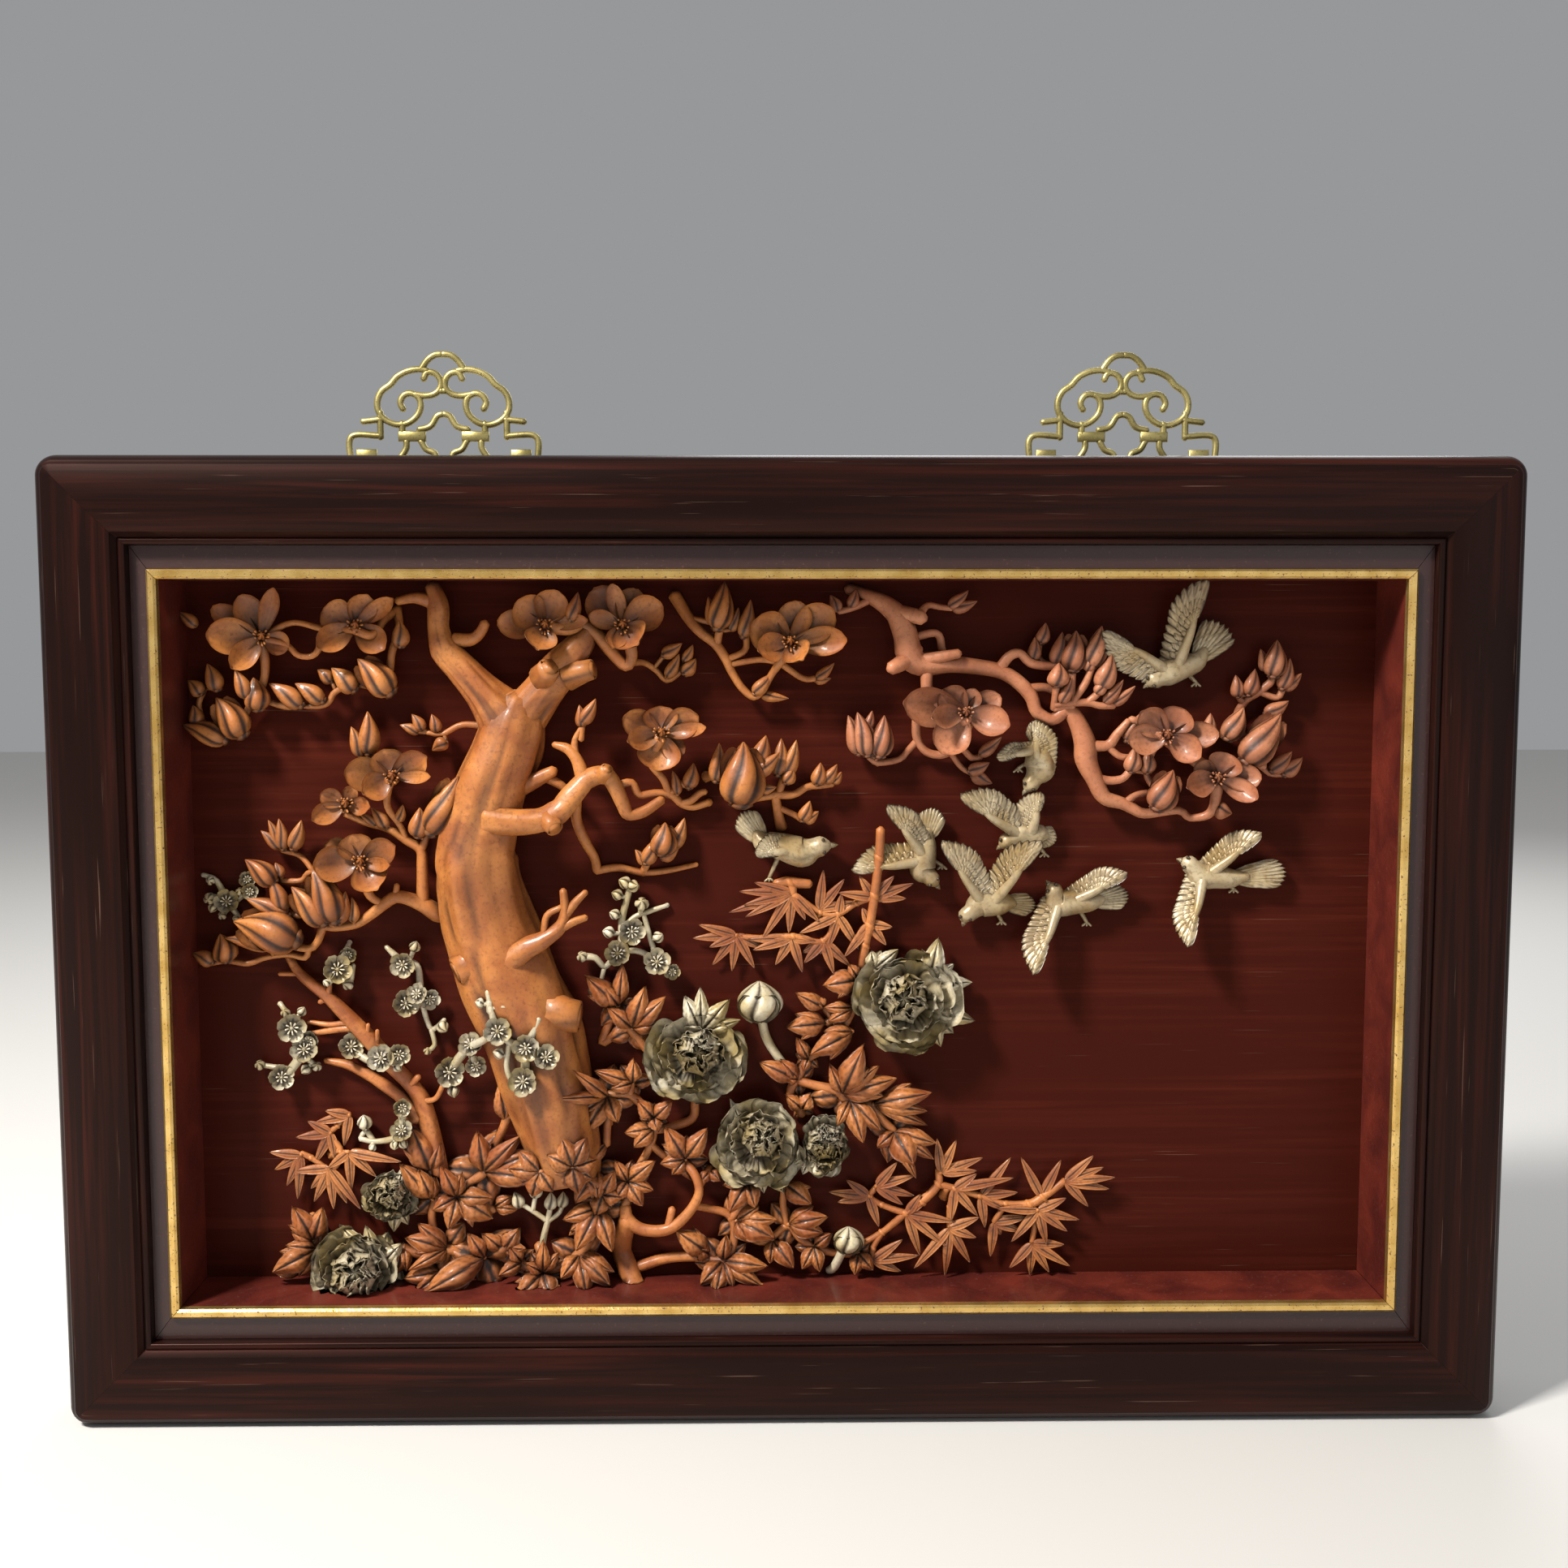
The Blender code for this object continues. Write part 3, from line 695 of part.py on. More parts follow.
# Bamboo: stems as runs, and fans of leaves, each a heart (x, z, lift) and leaf tips (x, z)
BAMBOO = {
    "bamboo_upper": (
        (
            ((64, 69, 16, 3), (63, 50, 15, 3), (60, 25, 14, 3), (57, 5, 12, 3), (54, -8, 10, 3), (53, -22, 6, 4)),
            ((59, 24, 12, 2), (48, 20, 8, 2), (36, 13, 8, 2), (24, 14, 8, 2), (6, 26, 9, 2.4)),
            ((36, 13, 8, 2), (26, -5, 7, 2), (6, -2, 8, 2.2), (-14, -3, 6, 2), (-32, -2, 4, 2.2)),
            ((6, 26, 9, 2.4), (4, 34, 7, 4), (-6, 33, 7, 3)),
            ((4, 34, 7, 4), (17, 33, 8, 3)),
            ((24, 14, 6, 2), (24, 10, 2, 4)),
        ),
        (
            ((5, 27, 10), ((-30, 28), (-27, 19), (-37, 14), (-20, 34), (-26, 11), (3, 0), (14, 9), (23, 8),
                           (-15, -4))),
            ((23, 16, 9), ((26, 42), (40, 36), (50, 21))),
            ((36, 12, 9), ((10, 0), (29, -10), (50, -11), (38, 26))),
            ((5, -3, 9), ((-21, -11), (-6, -21), (12, -26), (21, -5), (-24, -4))),
            ((-32, -1, 6), ((-61, -3), (-57, 6), (-50, -9), (-48, -21), (-35, -25), (-20, -23), (-14, -10))),
            ((26, -5, 8), ((12, -13), (13, -20), (24, -14), (44, -22), (33, -27))),
            ((59, 24, 13), ((50, 38), (73, 38), (86, 33), (81, 23), (36, 27))),
            ((57, 6, 12), ((72, 4), (68, -8), (52, 17), (47, -5), (40, -16))),
        ),
    ),
    "bamboo_left": (
        (
            ((-292, -120, 4, 2), (-300, -128, 5, 2), (-305, -134, 6, 2), (-298, -146, 8, 2), (-305, -158, 8, 2),
             (-318, -150, 6, 2), (-325, -147, 6, 2)),
            ((-300, -146, 4, 2.4), (-304, -148, 2, 4)),
        ),
        (
            ((-292, -121, 7), ((-315, -126), (-308, -118), (-296, -142))),
            ((-305, -133, 8), ((-328, -136), (-320, -125), (-316, -154), (-302, -152))),
            ((-293, -146, 10), ((-307, -157), (-292, -173), (-275, -163), (-258, -153), (-268, -150))),
            ((-325, -148, 8), ((-346, -146), (-343, -158), (-335, -169), (-328, -178))),
            ((-306, -157, 10), ((-331, -159), (-319, -171), (-304, -185), (-295, -181), (-317, -180),
                                (-286, -185))),
        ),
    ),
    "bamboo_right": (
        (
            ((50, -212, 4, 2), (66, -203, 6, 2.2), (82, -190, 9, 2.6), (93, -182, 10, 2.8), (104, -170, 9, 2.8),
             (104, -160, 6, 2.2)),
            ((82, -190, 9, 2.4), (66, -184, 6, 2), (58, -178, 5, 2), (62, -172, 5, 2)),
            ((104, -170, 9, 2.4), (115, -173, 9, 2.4), (132, -178, 8, 2.4), (150, -184, 8, 2.6), (166, -184, 9, 3),
             (175, -179, 9, 3), (190, -168, 8, 2.4)),
            ((115, -173, 9, 2), (112, -186, 8, 2), (112, -200, 9, 2)),
            ((166, -184, 9, 2.4), (170, -194, 8, 2), (168, -211, 7, 2)),
            ((66, -203, 6, 2), (60, -214, 6, 2), (60, -222, 6, 2)),
            ((110, -172, 6, 3), (108, -178, 2, 4)),
            ((150, -184, 8, 2), (142, -196, 6, 2)),
        ),
        (
            ((57, -178, 7), ((30, -175), (36, -182), (42, -167), (64, -199))),
            ((62, -171, 8), ((76, -155), (88, -164), (88, -178), (80, -184))),
            ((83, -190, 11), ((92, -177), (103, -172), (116, -196), (110, -213), (92, -219))),
            ((106, -162, 9), ((116, -140), (134, -152), (130, -161), (103, -139))),
            ((115, -173, 11), ((155, -166), (131, -192), (113, -195), (130, -163))),
            ((133, -178, 9), ((158, -176), (151, -188), (136, -200), (153, -152))),
            ((112, -200, 11), ((132, -193), (130, -207), (126, -224), (109, -233), (88, -228), (109, -221))),
            ((60, -222, 8), ((80, -208), (91, -219), (79, -230))),
            ((172, -188, 11), ((144, -187), (154, -210), (178, -212), (192, -203), (200, -195), (191, -180))),
            ((174, -179, 10), ((160, -152), (187, -154))),
            ((190, -168, 10), ((209, -151), (216, -159), (224, -166), (220, -174), (206, -186))),
            ((168, -211, 9), ((190, -212), (194, -227), (180, -231), (167, -233), (153, -228))),
            ((142, -196, 7), ((162, -203), (165, -193), (147, -205), (140, -220))),
        ),
    ),
}
# Birds: beak tip, middle of the head and its radius, the breast and rump with their radii, the tail's end
# and width, and the wings (root x, root z, tip x, tip z, width, tip lift, side of the trailing feathers)
BIRDS = {
    "bird_top": dict(
        beak=(237, 161), head=(243, 166, 5.6), breast=(252, 171, 8.5), rump=(272, 179, 6.5), tail=(290, 203, 22),
        wings=((257, 180, 275, 231, 17, 30, -1), (251, 179, 211, 195, 17, 24, -1)), feet=((272, 165),)),
    "bird_head_down": dict(
        beak=(158, 91), head=(163, 98, 5.6), breast=(169, 108, 10), rump=(169, 126, 7), tail=(164, 140, 9),
        wings=((176, 106, 168, 139, 14, 20, 1), (163, 122, 142, 117, 7, 20, 1)), feet=((155, 109),)),
    "bird_perched": dict(
        beak=(36, 59), head=(25, 58, 6.5), breast=(12, 54, 10), rump=(-14, 61, 7), tail=(-29, 80, 15),
        wings=((8, 60, -18, 55, 13, 24, 1), (12, 50, -14, 55, 10, 16, 1)), feet=((-10, 37),)),
    "bird_middle_left": dict(
        beak=(104, 29), head=(99, 35, 5.4), breast=(92, 42, 8.5), rump=(94, 62, 6.5), tail=(100, 83, 14),
        wings=((86, 52, 71, 84, 13, 28, 1), (82, 49, 47, 44, 16, 16, 1)), feet=((105, 45),)),
    "bird_middle_high": dict(
        beak=(141, 55), head=(147, 60, 5.6), breast=(156, 65, 8), rump=(171, 65, 6.5), tail=(181, 61, 12),
        wings=((154, 69, 120, 92, 17, 28, 1), (164, 68, 168, 92, 15, 20, -1)), feet=((173, 53),)),
    "bird_middle_low": dict(
        beak=(119, 4), head=(121, 11, 5.4), breast=(130, 19, 8.5), rump=(147, 20, 7), tail=(168, 18, 11),
        wings=((132, 29, 108, 60, 16, 26, 1), (138, 33, 168, 60, 17, 32, -1)), feet=((145, 8),)),
    "bird_right_low": dict(
        beak=(174, 35), head=(179, 29, 5.6), breast=(183, 20, 8.5), rump=(205, 21, 6.5), tail=(230, 25, 13),
        wings=((192, 29, 226, 40, 13, 18, -1), (184, 12, 166, -25, 16, 30, 1)), feet=((202, 7),)),
    "bird_right": dict(
        beak=(261, 49), head=(269, 46, 5.6), breast=(278, 38, 8.5), rump=(298, 36, 6.5), tail=(335, 40, 16),
        wings=((283, 49, 315, 66, 14, 18, -1), (279, 33, 269, -7, 15, 30, 1)), feet=((300, 29),)),
}

# Hanger strokes, in millimetres from the hanger's middle line and up from the frame's top edge. Each is
# mirrored to the other side.
HANGER_STROKES = (
    ((0, 69.5), (5, 68.6), (9.5, 65.5), (12.5, 61.5), (14, 59)),
    ((9, 58.5), (15, 59.5), (22, 58.5), (29, 55), (33.5, 50), (39, 46), (42, 40), (41.5, 33), (37, 27.5),
     (30, 24.6), (23, 25.5), (17, 30), (14.5, 36), (15.5, 41.5), (20, 44.3), (25, 43.2), (27.5, 38.5),
     (25.5, 34)),
    ((19, 43.8), (11, 42.8), (5, 44.3), (1.6, 48), (1.6, 53), (5, 57), (10, 57.5), (12.5, 53)),
    ((0, 46), (2, 46)),
    ((26.5, 26), (26.5, 19)),
    ((0, 31.5), (4, 30), (7.5, 24.5), (10.5, 22.6), (16, 21.5)),
    ((24, 15), (24.5, 9), (30, 1.5), (33, -3)),
    ((15, 15), (11.5, 9), (6, 6.5), (4.5, -3)),
    ((40.5, 33), (40.5, 16)),
    ((39, 28), (52, 26.5)),
    ((40, 17.5), (59, 17), (60, -3)),
)
HANGER_BLOCKS = (
    ((11.5, 14), (29, 20.5)),
    ((43, -3), (56, 9)),
    ((30, -3), (60, 1.5)),
)

parts = bpy.data.collections.new("carved_wall_panel")
cutters = bpy.data.collections.new("cutters")


def seen(x, z, lift):
    """The point that is lift millimetres off the board and that the viewer sees at x, z on the board."""
    on_board = Vector((x * MM * STRETCH_X, -BOARD_THICKNESS, z * MM * STRETCH_Z))
    share = lift * MM / (-BOARD_THICKNESS - VIEWER.y)
    return on_board + (VIEWER - on_board) * share


def material(name, colour, roughness, metallic=0.0):
    made = bpy.data.materials.new(name)
    made.use_nodes = True
    shader = made.node_tree.nodes["Principled BSDF"]
    shader.inputs["Base Color"].default_value = (*colour, 1.0)
    shader.inputs["Roughness"].default_value = roughness
    shader.inputs["Metallic"].default_value = metallic
    return made


def mesh_of(bm):
    """A mesh made from a bmesh, with its faces pointing out."""
    if bm.calc_volume(signed=True) < 0:
        bmesh.ops.reverse_faces(bm, faces=bm.faces)
    mesh = bpy.data.meshes.new("form")
    bm.to_mesh(mesh)
    bm.free()
    return mesh


def place_object(name, mesh, collection):
    obj = bpy.data.objects.new(name, mesh)
    collection.objects.link(obj)
    return obj


def evaluated_mesh(obj):
    """The object's mesh as its modifiers or its bevel leave it."""
    depsgraph = bpy.context.evaluated_depsgraph_get()
    return bpy.data.meshes.new_from_object(obj.evaluated_get(depsgraph))


def discard(objects):
    for obj in objects:
        data = obj.data
        bpy.data.objects.remove(obj)
        if isinstance(data, bpy.types.Mesh):
            bpy.data.meshes.remove(data)
        else:
            bpy.data.curves.remove(data)


def welded_from_curve(curve, weld):
    """The closed mesh of a curve object, with its loose caps welded on."""
    obj = place_object("curve", curve, cutters)
    bm = bmesh.new()
    mesh = evaluated_mesh(obj)
    bm.from_mesh(mesh)
    bpy.data.meshes.remove(mesh)
    discard([obj])
    bmesh.ops.remove_doubles(bm, verts=bm.verts, dist=weld)
    bmesh.ops.recalc_face_normals(bm, faces=bm.faces)
    return bm


def tube(points):
    """A tapering round bar through (position, radius) points."""
    curve = bpy.data.curves.new("tube", "CURVE")
    curve.dimensions = "3D"
    curve.bevel_depth = 1.0
    widest = max(radius for _, radius in points)
    curve.bevel_resolution = 2 if widest > 0.012 else (1 if widest > 0.005 else 0)
    curve.use_fill_caps = True
    spline = curve.splines.new("POLY")
    spline.points.add(len(points) - 1)
    for point, (position, radius) in zip(spline.points, points):
        point.co = (*position, 1.0)
        point.radius = radius
    return mesh_of(welded_from_curve(curve, MM * 0.01))


def kept(points, tolerance):
    """The points of a line that it can't lose without moving by more than the tolerance."""
    if len(points) < 3:
        return list(points)
    start, end = Vector(points[0][0]), Vector(points[-1][0])
    chord = end - start
    worst, worst_at = -1.0, 0
    for index in range(1, len(points) - 1):
        here = Vector(points[index][0])
        share = (here - start).dot(chord) / max(chord.length_squared, 1e-12)
        off = (here - start - chord * share).length
        if off > worst:
            worst, worst_at = off, index
    if worst <= tolerance:
        return [points[0], points[-1]]
    return kept(points[:worst_at + 1], tolerance)[:-1] + kept(points[worst_at:], tolerance)


def run(places):
    """A limb, twig or stem through (x, z, lift, radius) places."""
    return tube(kept([(seen(x, z, lift), radius * MM) for x, z, lift, radius in places], LINE_TOLERANCE))


def axes_between(base, tip):
    """The directions along, across and out of a flat form that runs from base to tip and faces the viewer."""
    along = (tip - base).normalized()
    out = (VIEWER - (base + tip) / 2).normalized()
    across = along.cross(out).normalized()
    return along, across, across.cross(along)


def blade(base, tip, width, thickness, fullness, sides):
    """A flat pointed form. A fullness above 0 widens its tip."""
    along, across, out = axes_between(base, tip)
    length = (tip - base).length
    bm = bmesh.new()
    bmesh.ops.create_uvsphere(bm, u_segments=sides, v_segments=2, radius=1.0)
    for vert in bm.verts:
        a, b, c = vert.co
        if abs(c) > 0.5:
            vert.co = base + along * length * 0.5 + out * math.copysign(thickness / 2, c)
        else:
            factor = 1 + fullness * a
            vert.co = base + along * length * (1 + a) / 2 + across * b * width / 2 * factor
    return mesh_of(bm)


def crossing(length, width, share, angle):
    """How far from its heart a leaf's edge is, at an angle from its middle line."""
    side_x, side_y = share * length, width / 2
    slope = math.tan(min(angle, 1.4))
    along = (side_y - slope * side_x) / (side_y + slope * (length - side_x))
    return (side_x + max(0.0, along) * (length - side_x)) / math.cos(min(angle, 1.4))


def fan_rim(heart, tips, share, slender):
    """The rim of leaves or petals that spread from one heart, as (x, z, lift) in turn round the heart."""
    leaves = []
    for x, z, width, lift in tips:
        run_x, run_z = x - heart[0], z - heart[1]
        length = math.hypot(run_x, run_z)
        leaves.append((math.atan2(run_z, run_x), length, width, lift))
    leaves.sort()
    rim = []
    for index, (turn, length, width, lift) in enumerate(leaves):
        next_turn, next_length, next_width, next_lift = leaves[(index + 1) % len(leaves)]
        space = (next_turn - turn) % (2 * math.pi) or 2 * math.pi
        half = math.atan2(width / 2, share * length)
        next_half = math.atan2(next_width / 2, share * next_length)
        side_lift = heart[2] + (lift - heart[2]) * share
        next_side_lift = heart[2] + (next_lift - heart[2]) * share
        middle_lift = (side_lift + next_side_lift) / 2
        rim.append((turn, length, lift))
        if half + next_half > space * 0.9:
            reach = min(crossing(length, width, share, space / 2),
                        crossing(next_length, next_width, share, space / 2))
            rim.append((turn + space / 2, reach, middle_lift))
            continue
        if not slender:
            rim.append((turn + half, share * length / math.cos(half), side_lift))
        root = max(1.5, 0.4 * width)
        if space > FAN_OPEN:
            rim.append((turn + 1.1, root, heart[2]))
            rim.append((turn + space - 1.1, root, heart[2]))
        elif slender or space > half + next_half + 0.5:
            rim.append((turn + space / 2, root, heart[2]))
        if not slender:
            rim.append((turn + space - next_half, share * next_length / math.cos(next_half), next_side_lift))
    return [(heart[0] + math.cos(turn) * reach, heart[1] + math.sin(turn) * reach, lift)
            for turn, reach, lift in rim]


def fan(heart, tips, share, slender, rise):
    """Leaves or petals spread from a heart as one form. Its middle rises out of its rim on both sides."""
    rim = fan_rim(heart, tips, share, slender)
    count = len(rim)
    bm = bmesh.new()
    bmesh.ops.create_uvsphere(bm, u_segments=count, v_segments=2, radius=1.0)
    for vert in bm.verts:
        a, b, c = vert.co
        if abs(c) > 0.5:
            vert.co = seen(heart[0], heart[1], heart[2] + math.copysign(rise, c))
            continue
        index = round(math.atan2(b, a) / (2 * math.pi) * count) % count
        vert.co = seen(*rim[index])
    return mesh_of(bm)


def bud(place, root):
    """A pointed bud on its twig, fattest below its middle."""
    base_x, base_z, tip_x, tip_z, width, lift = place
    base, tip = seen(base_x, base_z, lift), seen(tip_x, tip_z, lift + 1)
    along, across, out = axes_between(base, tip)
    length = (tip - base).length
    foot = seen(*root)
    foot -= (tip - foot).normalized() * ROOT_DEPTH
    bm = bmesh.new()
    bmesh.ops.create_uvsphere(bm, u_segments=4, v_segments=2, radius=1.0)
    for vert in bm.verts:
        a, b, c = vert.co
        if c > 0.5:
            vert.co = tip
        elif c < -0.5:
            vert.co = foot
        else:
            vert.co = base + along * length * 0.42 + (across * a + out * b) * width * MM / 2
    return mesh_of(bm)


def ball(place):
    x, z, lift, radius = place
    bm = bmesh.new()
    small = radius < SMALL_BALL
    bmesh.ops.create_uvsphere(bm, u_segments=4 if small else 6, v_segments=2 if small else 3,
                              radius=radius * MM * (1.15 if small else 1.05))
    bmesh.ops.translate(bm, verts=bm.verts, vec=seen(x, z, lift))
    return mesh_of(bm)


def rosette(place, half_width, half_height, lobes, notch, dish, depth):
    """A round flower with lobed rim, its face dished by dish and its back running depth behind its rim."""
    bm = bmesh.new()
    bmesh.ops.create_uvsphere(bm, u_segments=2 * lobes, v_segments=2, radius=1.0)
    middle = seen(*place)
    for vert in bm.verts:
        a, b, c = vert.co
        if c > 0.5:
            vert.co = middle + Vector((0, dish, 0))
        elif c < -0.5:
            vert.co = middle + Vector((0, depth, 0))
        else:
            valley = round(math.atan2(b, a) / math.pi * lobes) % 2
            reach = notch if valley else 1.0
            vert.co = middle + Vector((a * half_width * reach, -VALLEY_DEPTH * valley, b * half_height * reach))
    return mesh_of(bm)


def blossom(place):
    x, z, lift, radius = place
    return rosette((x, z, lift), radius * MM, radius * MM, 5, 0.62, -0.001, 0.005)


def knot(place):
    """A stub of a lost limb, with a hollow in its end."""
    start, end, start_radius, end_radius, hollow = place
    base, tip = seen(*start), seen(*end)
    bm = bmesh.new()
    bmesh.ops.create_cone(bm, cap_ends=True, segments=7, radius1=start_radius * MM,
                          radius2=end_radius * MM, depth=(tip - base).length)
    bm.faces.ensure_lookup_table()
    cap = max((face for face in bm.faces), key=lambda face: face.calc_center_median().z)
    bmesh.ops.inset_individual(bm, faces=[cap], thickness=end_radius * MM * 0.35)
    bmesh.ops.translate(bm, verts=cap.verts, vec=(0, 0, -hollow * MM * 0.7))
    turn = (tip - base).to_track_quat("Z", "Y").to_matrix().to_4x4()
    bmesh.ops.transform(bm, verts=bm.verts, matrix=Matrix.Translation((base + tip) / 2) @ turn)
    return mesh_of(bm)


def bird_body(bird):
    """The body, head and beak of a bird as one tapering form from rump to beak."""
    beak, head, breast, rump = bird["beak"], bird["head"], bird["breast"], bird["rump"]
    tail = bird["tail"]
    lift = breast[2] - 1
    points = (
        (rump[0] * 0.75 + tail[0] * 0.25, rump[1] * 0.75 + tail[1] * 0.25, lift, rump[2] * 0.5),
        (*rump[:2], lift, rump[2]),
        ((rump[0] + breast[0]) / 2, (rump[1] + breast[1]) / 2, lift, (rump[2] + breast[2]) * 0.53),
        (*breast[:2], lift, breast[2]),
        (*head[:2], lift + 2, head[2]),
        (head[0] * 0.5 + beak[0] * 0.5, head[1] * 0.5 + beak[1] * 0.5, lift + 2, head[2] * 0.55),
        (*beak, lift + 1, 0.6),
    )
    return run(points)


def bird_wing(bird, wing):
    """A flat wing whose feathers trail to one side of the line from its root to its tip."""
    root_x, root_z, tip_x, tip_z, width, lift, side = wing
    breast, rump = bird["breast"], bird["rump"]
    axis = (((*breast[:3], 0), (*rump[:2], breast[2], 0)),)
    root, _ = nearest(axis, root_x, root_z, breast[2])
    base, tip = seen(root.x, root.y, breast[2]), seen(tip_x, tip_z, lift)
    along, across, out = axes_between(base, tip)
    length = (tip - base).length
    bm = bmesh.new()
    bmesh.ops.create_uvsphere(bm, u_segments=8, v_segments=2, radius=1.0)
    for vert in bm.verts:
        a, b, c = vert.co
        if abs(c) > 0.5:
            vert.co = base + along * length * 0.4 + across * side * width * MM * 0.35
            vert.co += out * math.copysign(WING_THICKNESS / 2, c)
        else:
            trailing = b * side > 0
            reach = width * MM * (0.85 - 0.35 * a) if trailing else 0.0025
            vert.co = base + along * length * (1 + a) / 2 + across * b * reach
    return mesh_of(bm)


def bird_tail(bird):
    rump, (x, z, width), lift = bird["rump"], bird["tail"], bird["breast"][2]
    return blade(seen(*rump[:2], lift), seen(x, z, lift), width * MM, WING_THICKNESS, 0.75, 6)


def bird_foot(bird, foot):
    lift = bird["breast"][2]
    middle_x = (bird["breast"][0] + bird["rump"][0]) / 2
    middle_z = (bird["breast"][1] + bird["rump"][1]) / 2
    return run(((middle_x, middle_z, lift - 4, 2), (*foot, max(3, lift - 5), 1.6)))


def combine(base, operands, operation, solver):
    """The mesh of the base object after one Boolean with all the operand objects."""
    group = bpy.data.collections.new("operands")
    bpy.context.scene.collection.children.link(group)
    for operand in operands:
        cutters.objects.unlink(operand)
        group.objects.link(operand)
    boolean = base.modifiers.new("boolean", "BOOLEAN")
    boolean.operand_type = "COLLECTION"
    boolean.collection = group
    boolean.operation = operation
    boolean.solver = solver
    mesh = evaluated_mesh(base)
    discard([base, *operands])
    bpy.data.collections.remove(group)
    return mesh


def largest_body(mesh):
    """The mesh with only its largest closed body."""
    bm = bmesh.new()
    bm.from_mesh(mesh)
    seen_faces = set()
    bodies = []
    for face in bm.faces:
        if face in seen_faces:
            continue
        body, queue = [], [face]
        seen_faces.add(face)
        while queue:
            current = queue.pop()
            body.append(current)
            for edge in current.edges:
                for neighbour in edge.link_faces:
                    if neighbour not in seen_faces:
                        seen_faces.add(neighbour)
                        queue.append(neighbour)
        bodies.append(body)
    if len(bodies) > 1:
        def volume(body):
            return sum(f.calc_center_median().dot(f.normal) * f.calc_area() for f in body)
        bodies.sort(key=volume)
        for body in bodies[:-1]:
            bmesh.ops.delete(bm, geom=body, context="FACES")
    bm.to_mesh(mesh)
    bm.free()
    return mesh


def is_closed(mesh):
    """Whether the mesh is one skin that touches itself nowhere."""
    bm = bmesh.new()
    bm.from_mesh(mesh)
    bmesh.ops.remove_doubles(bm, verts=bm.verts, dist=TOUCHING)
    closed = all(edge.is_manifold for edge in bm.edges) and all(vert.is_manifold for vert in bm.verts)
    bm.free()
    return closed and len(mesh.polygons) > 0


def trimmed(mesh):
    """The mesh without the loose edges and single flaps that lightening can leave."""
    bm = bmesh.new()
    bm.from_mesh(mesh)
    flaps = [face for face in bm.faces if any(edge.is_boundary for edge in face.edges)]
    while flaps:
        bmesh.ops.delete(bm, geom=flaps, context="FACES_ONLY")
        flaps = [face for face in bm.faces if any(edge.is_boundary for edge in face.edges)]
    bmesh.ops.delete(bm, geom=[edge for edge in bm.edges if edge.is_wire], context="EDGES")
    bmesh.ops.delete(bm, geom=[vert for vert in bm.verts if not vert.link_faces], context="VERTS")
    bm.to_mesh(mesh)
    bm.free()
    return mesh


def lightened(mesh, share):
    """A closed copy of the mesh with about that share of its triangles, or with more where it needs them."""
    obj = place_object("light", mesh.copy(), cutters)
    decimate = obj.modifiers.new("light", "DECIMATE")
    decimate.ratio = share
    lighter = largest_body(trimmed(evaluated_mesh(obj)))
    while not is_closed(lighter) and decimate.ratio < 1:
        bpy.data.meshes.remove(lighter)
        decimate.ratio = min(1.0, decimate.ratio * 1.1)
        lighter = largest_body(trimmed(evaluated_mesh(obj)))
    discard([obj])
    return lighter


def flattened(mesh, angle):
    """The mesh with the edges gone inside its flat faces."""
    bm = bmesh.new()
    bm.from_mesh(mesh)
    bmesh.ops.dissolve_limit(bm, angle_limit=angle, verts=bm.verts, edges=bm.edges)
    bm.to_mesh(mesh)
    bm.free()
    return mesh


def box_mesh(corner, opposite):
    """A box between two corners."""
    low = Vector((min(a, b) for a, b in zip(corner, opposite)))
    high = Vector((max(a, b) for a, b in zip(corner, opposite)))
    bm = bmesh.new()
    bmesh.ops.create_cube(bm, size=1.0)
    bmesh.ops.scale(bm, verts=bm.verts, vec=high - low)
    bmesh.ops.translate(bm, verts=bm.verts, vec=(high + low) / 2)
    return mesh_of(bm)


def bounds_of(mesh):
    corners = [vert.co for vert in mesh.vertices]
    low = Vector((min(c[i] for c in corners) for i in range(3)))
    high = Vector((max(c[i] for c in corners) for i in range(3)))
    return low, high


def near(one, other, distance):
    return all(one[0][i] - distance < other[1][i] and other[0][i] - distance < one[1][i] for i in range(3))


placed_solids = []


def grown(mesh, distance):
    """A copy of the mesh with its skin moved out by a distance."""
    bm = bmesh.new()
    bm.from_mesh(mesh)
    bm.normal_update()
    moves = [vert.normal * distance * min(2.0, vert.calc_shell_factor()) for vert in bm.verts]
    for vert, move in zip(bm.verts, moves):
        vert.co += move
    copy = bpy.data.meshes.new("grown")
    bm.to_mesh(copy)
    bm.free()
    return copy


def fitted(mesh, beds, bed):
    """The mesh cut to the room in the recess, with beds cut in it for the solids that it would touch."""
    room = box_mesh((-RECESS_WIDTH / 2 + GAP, -BOARD_THICKNESS - GAP, -RECESS_HEIGHT / 2 + GAP),
                    (RECESS_WIDTH / 2 - GAP, -FRAME_WIDTH, RECESS_HEIGHT / 2 - GAP))
    base = place_object("base", largest_body(mesh), cutters)
    mesh = largest_body(combine(base, [place_object("room", room, cutters)], "INTERSECT", CARVING_SOLVER))
    for shapes in ([grown(solid, bed) for solid in beds], [solid.copy() for solid in beds]):
        if shapes:
            base = place_object("base", mesh, cutters)
            bed_objects = [place_object("bed", shape, cutters) for shape in shapes]
            mesh = largest_body(combine(base, bed_objects, "DIFFERENCE", CARVING_SOLVER))
    return mesh


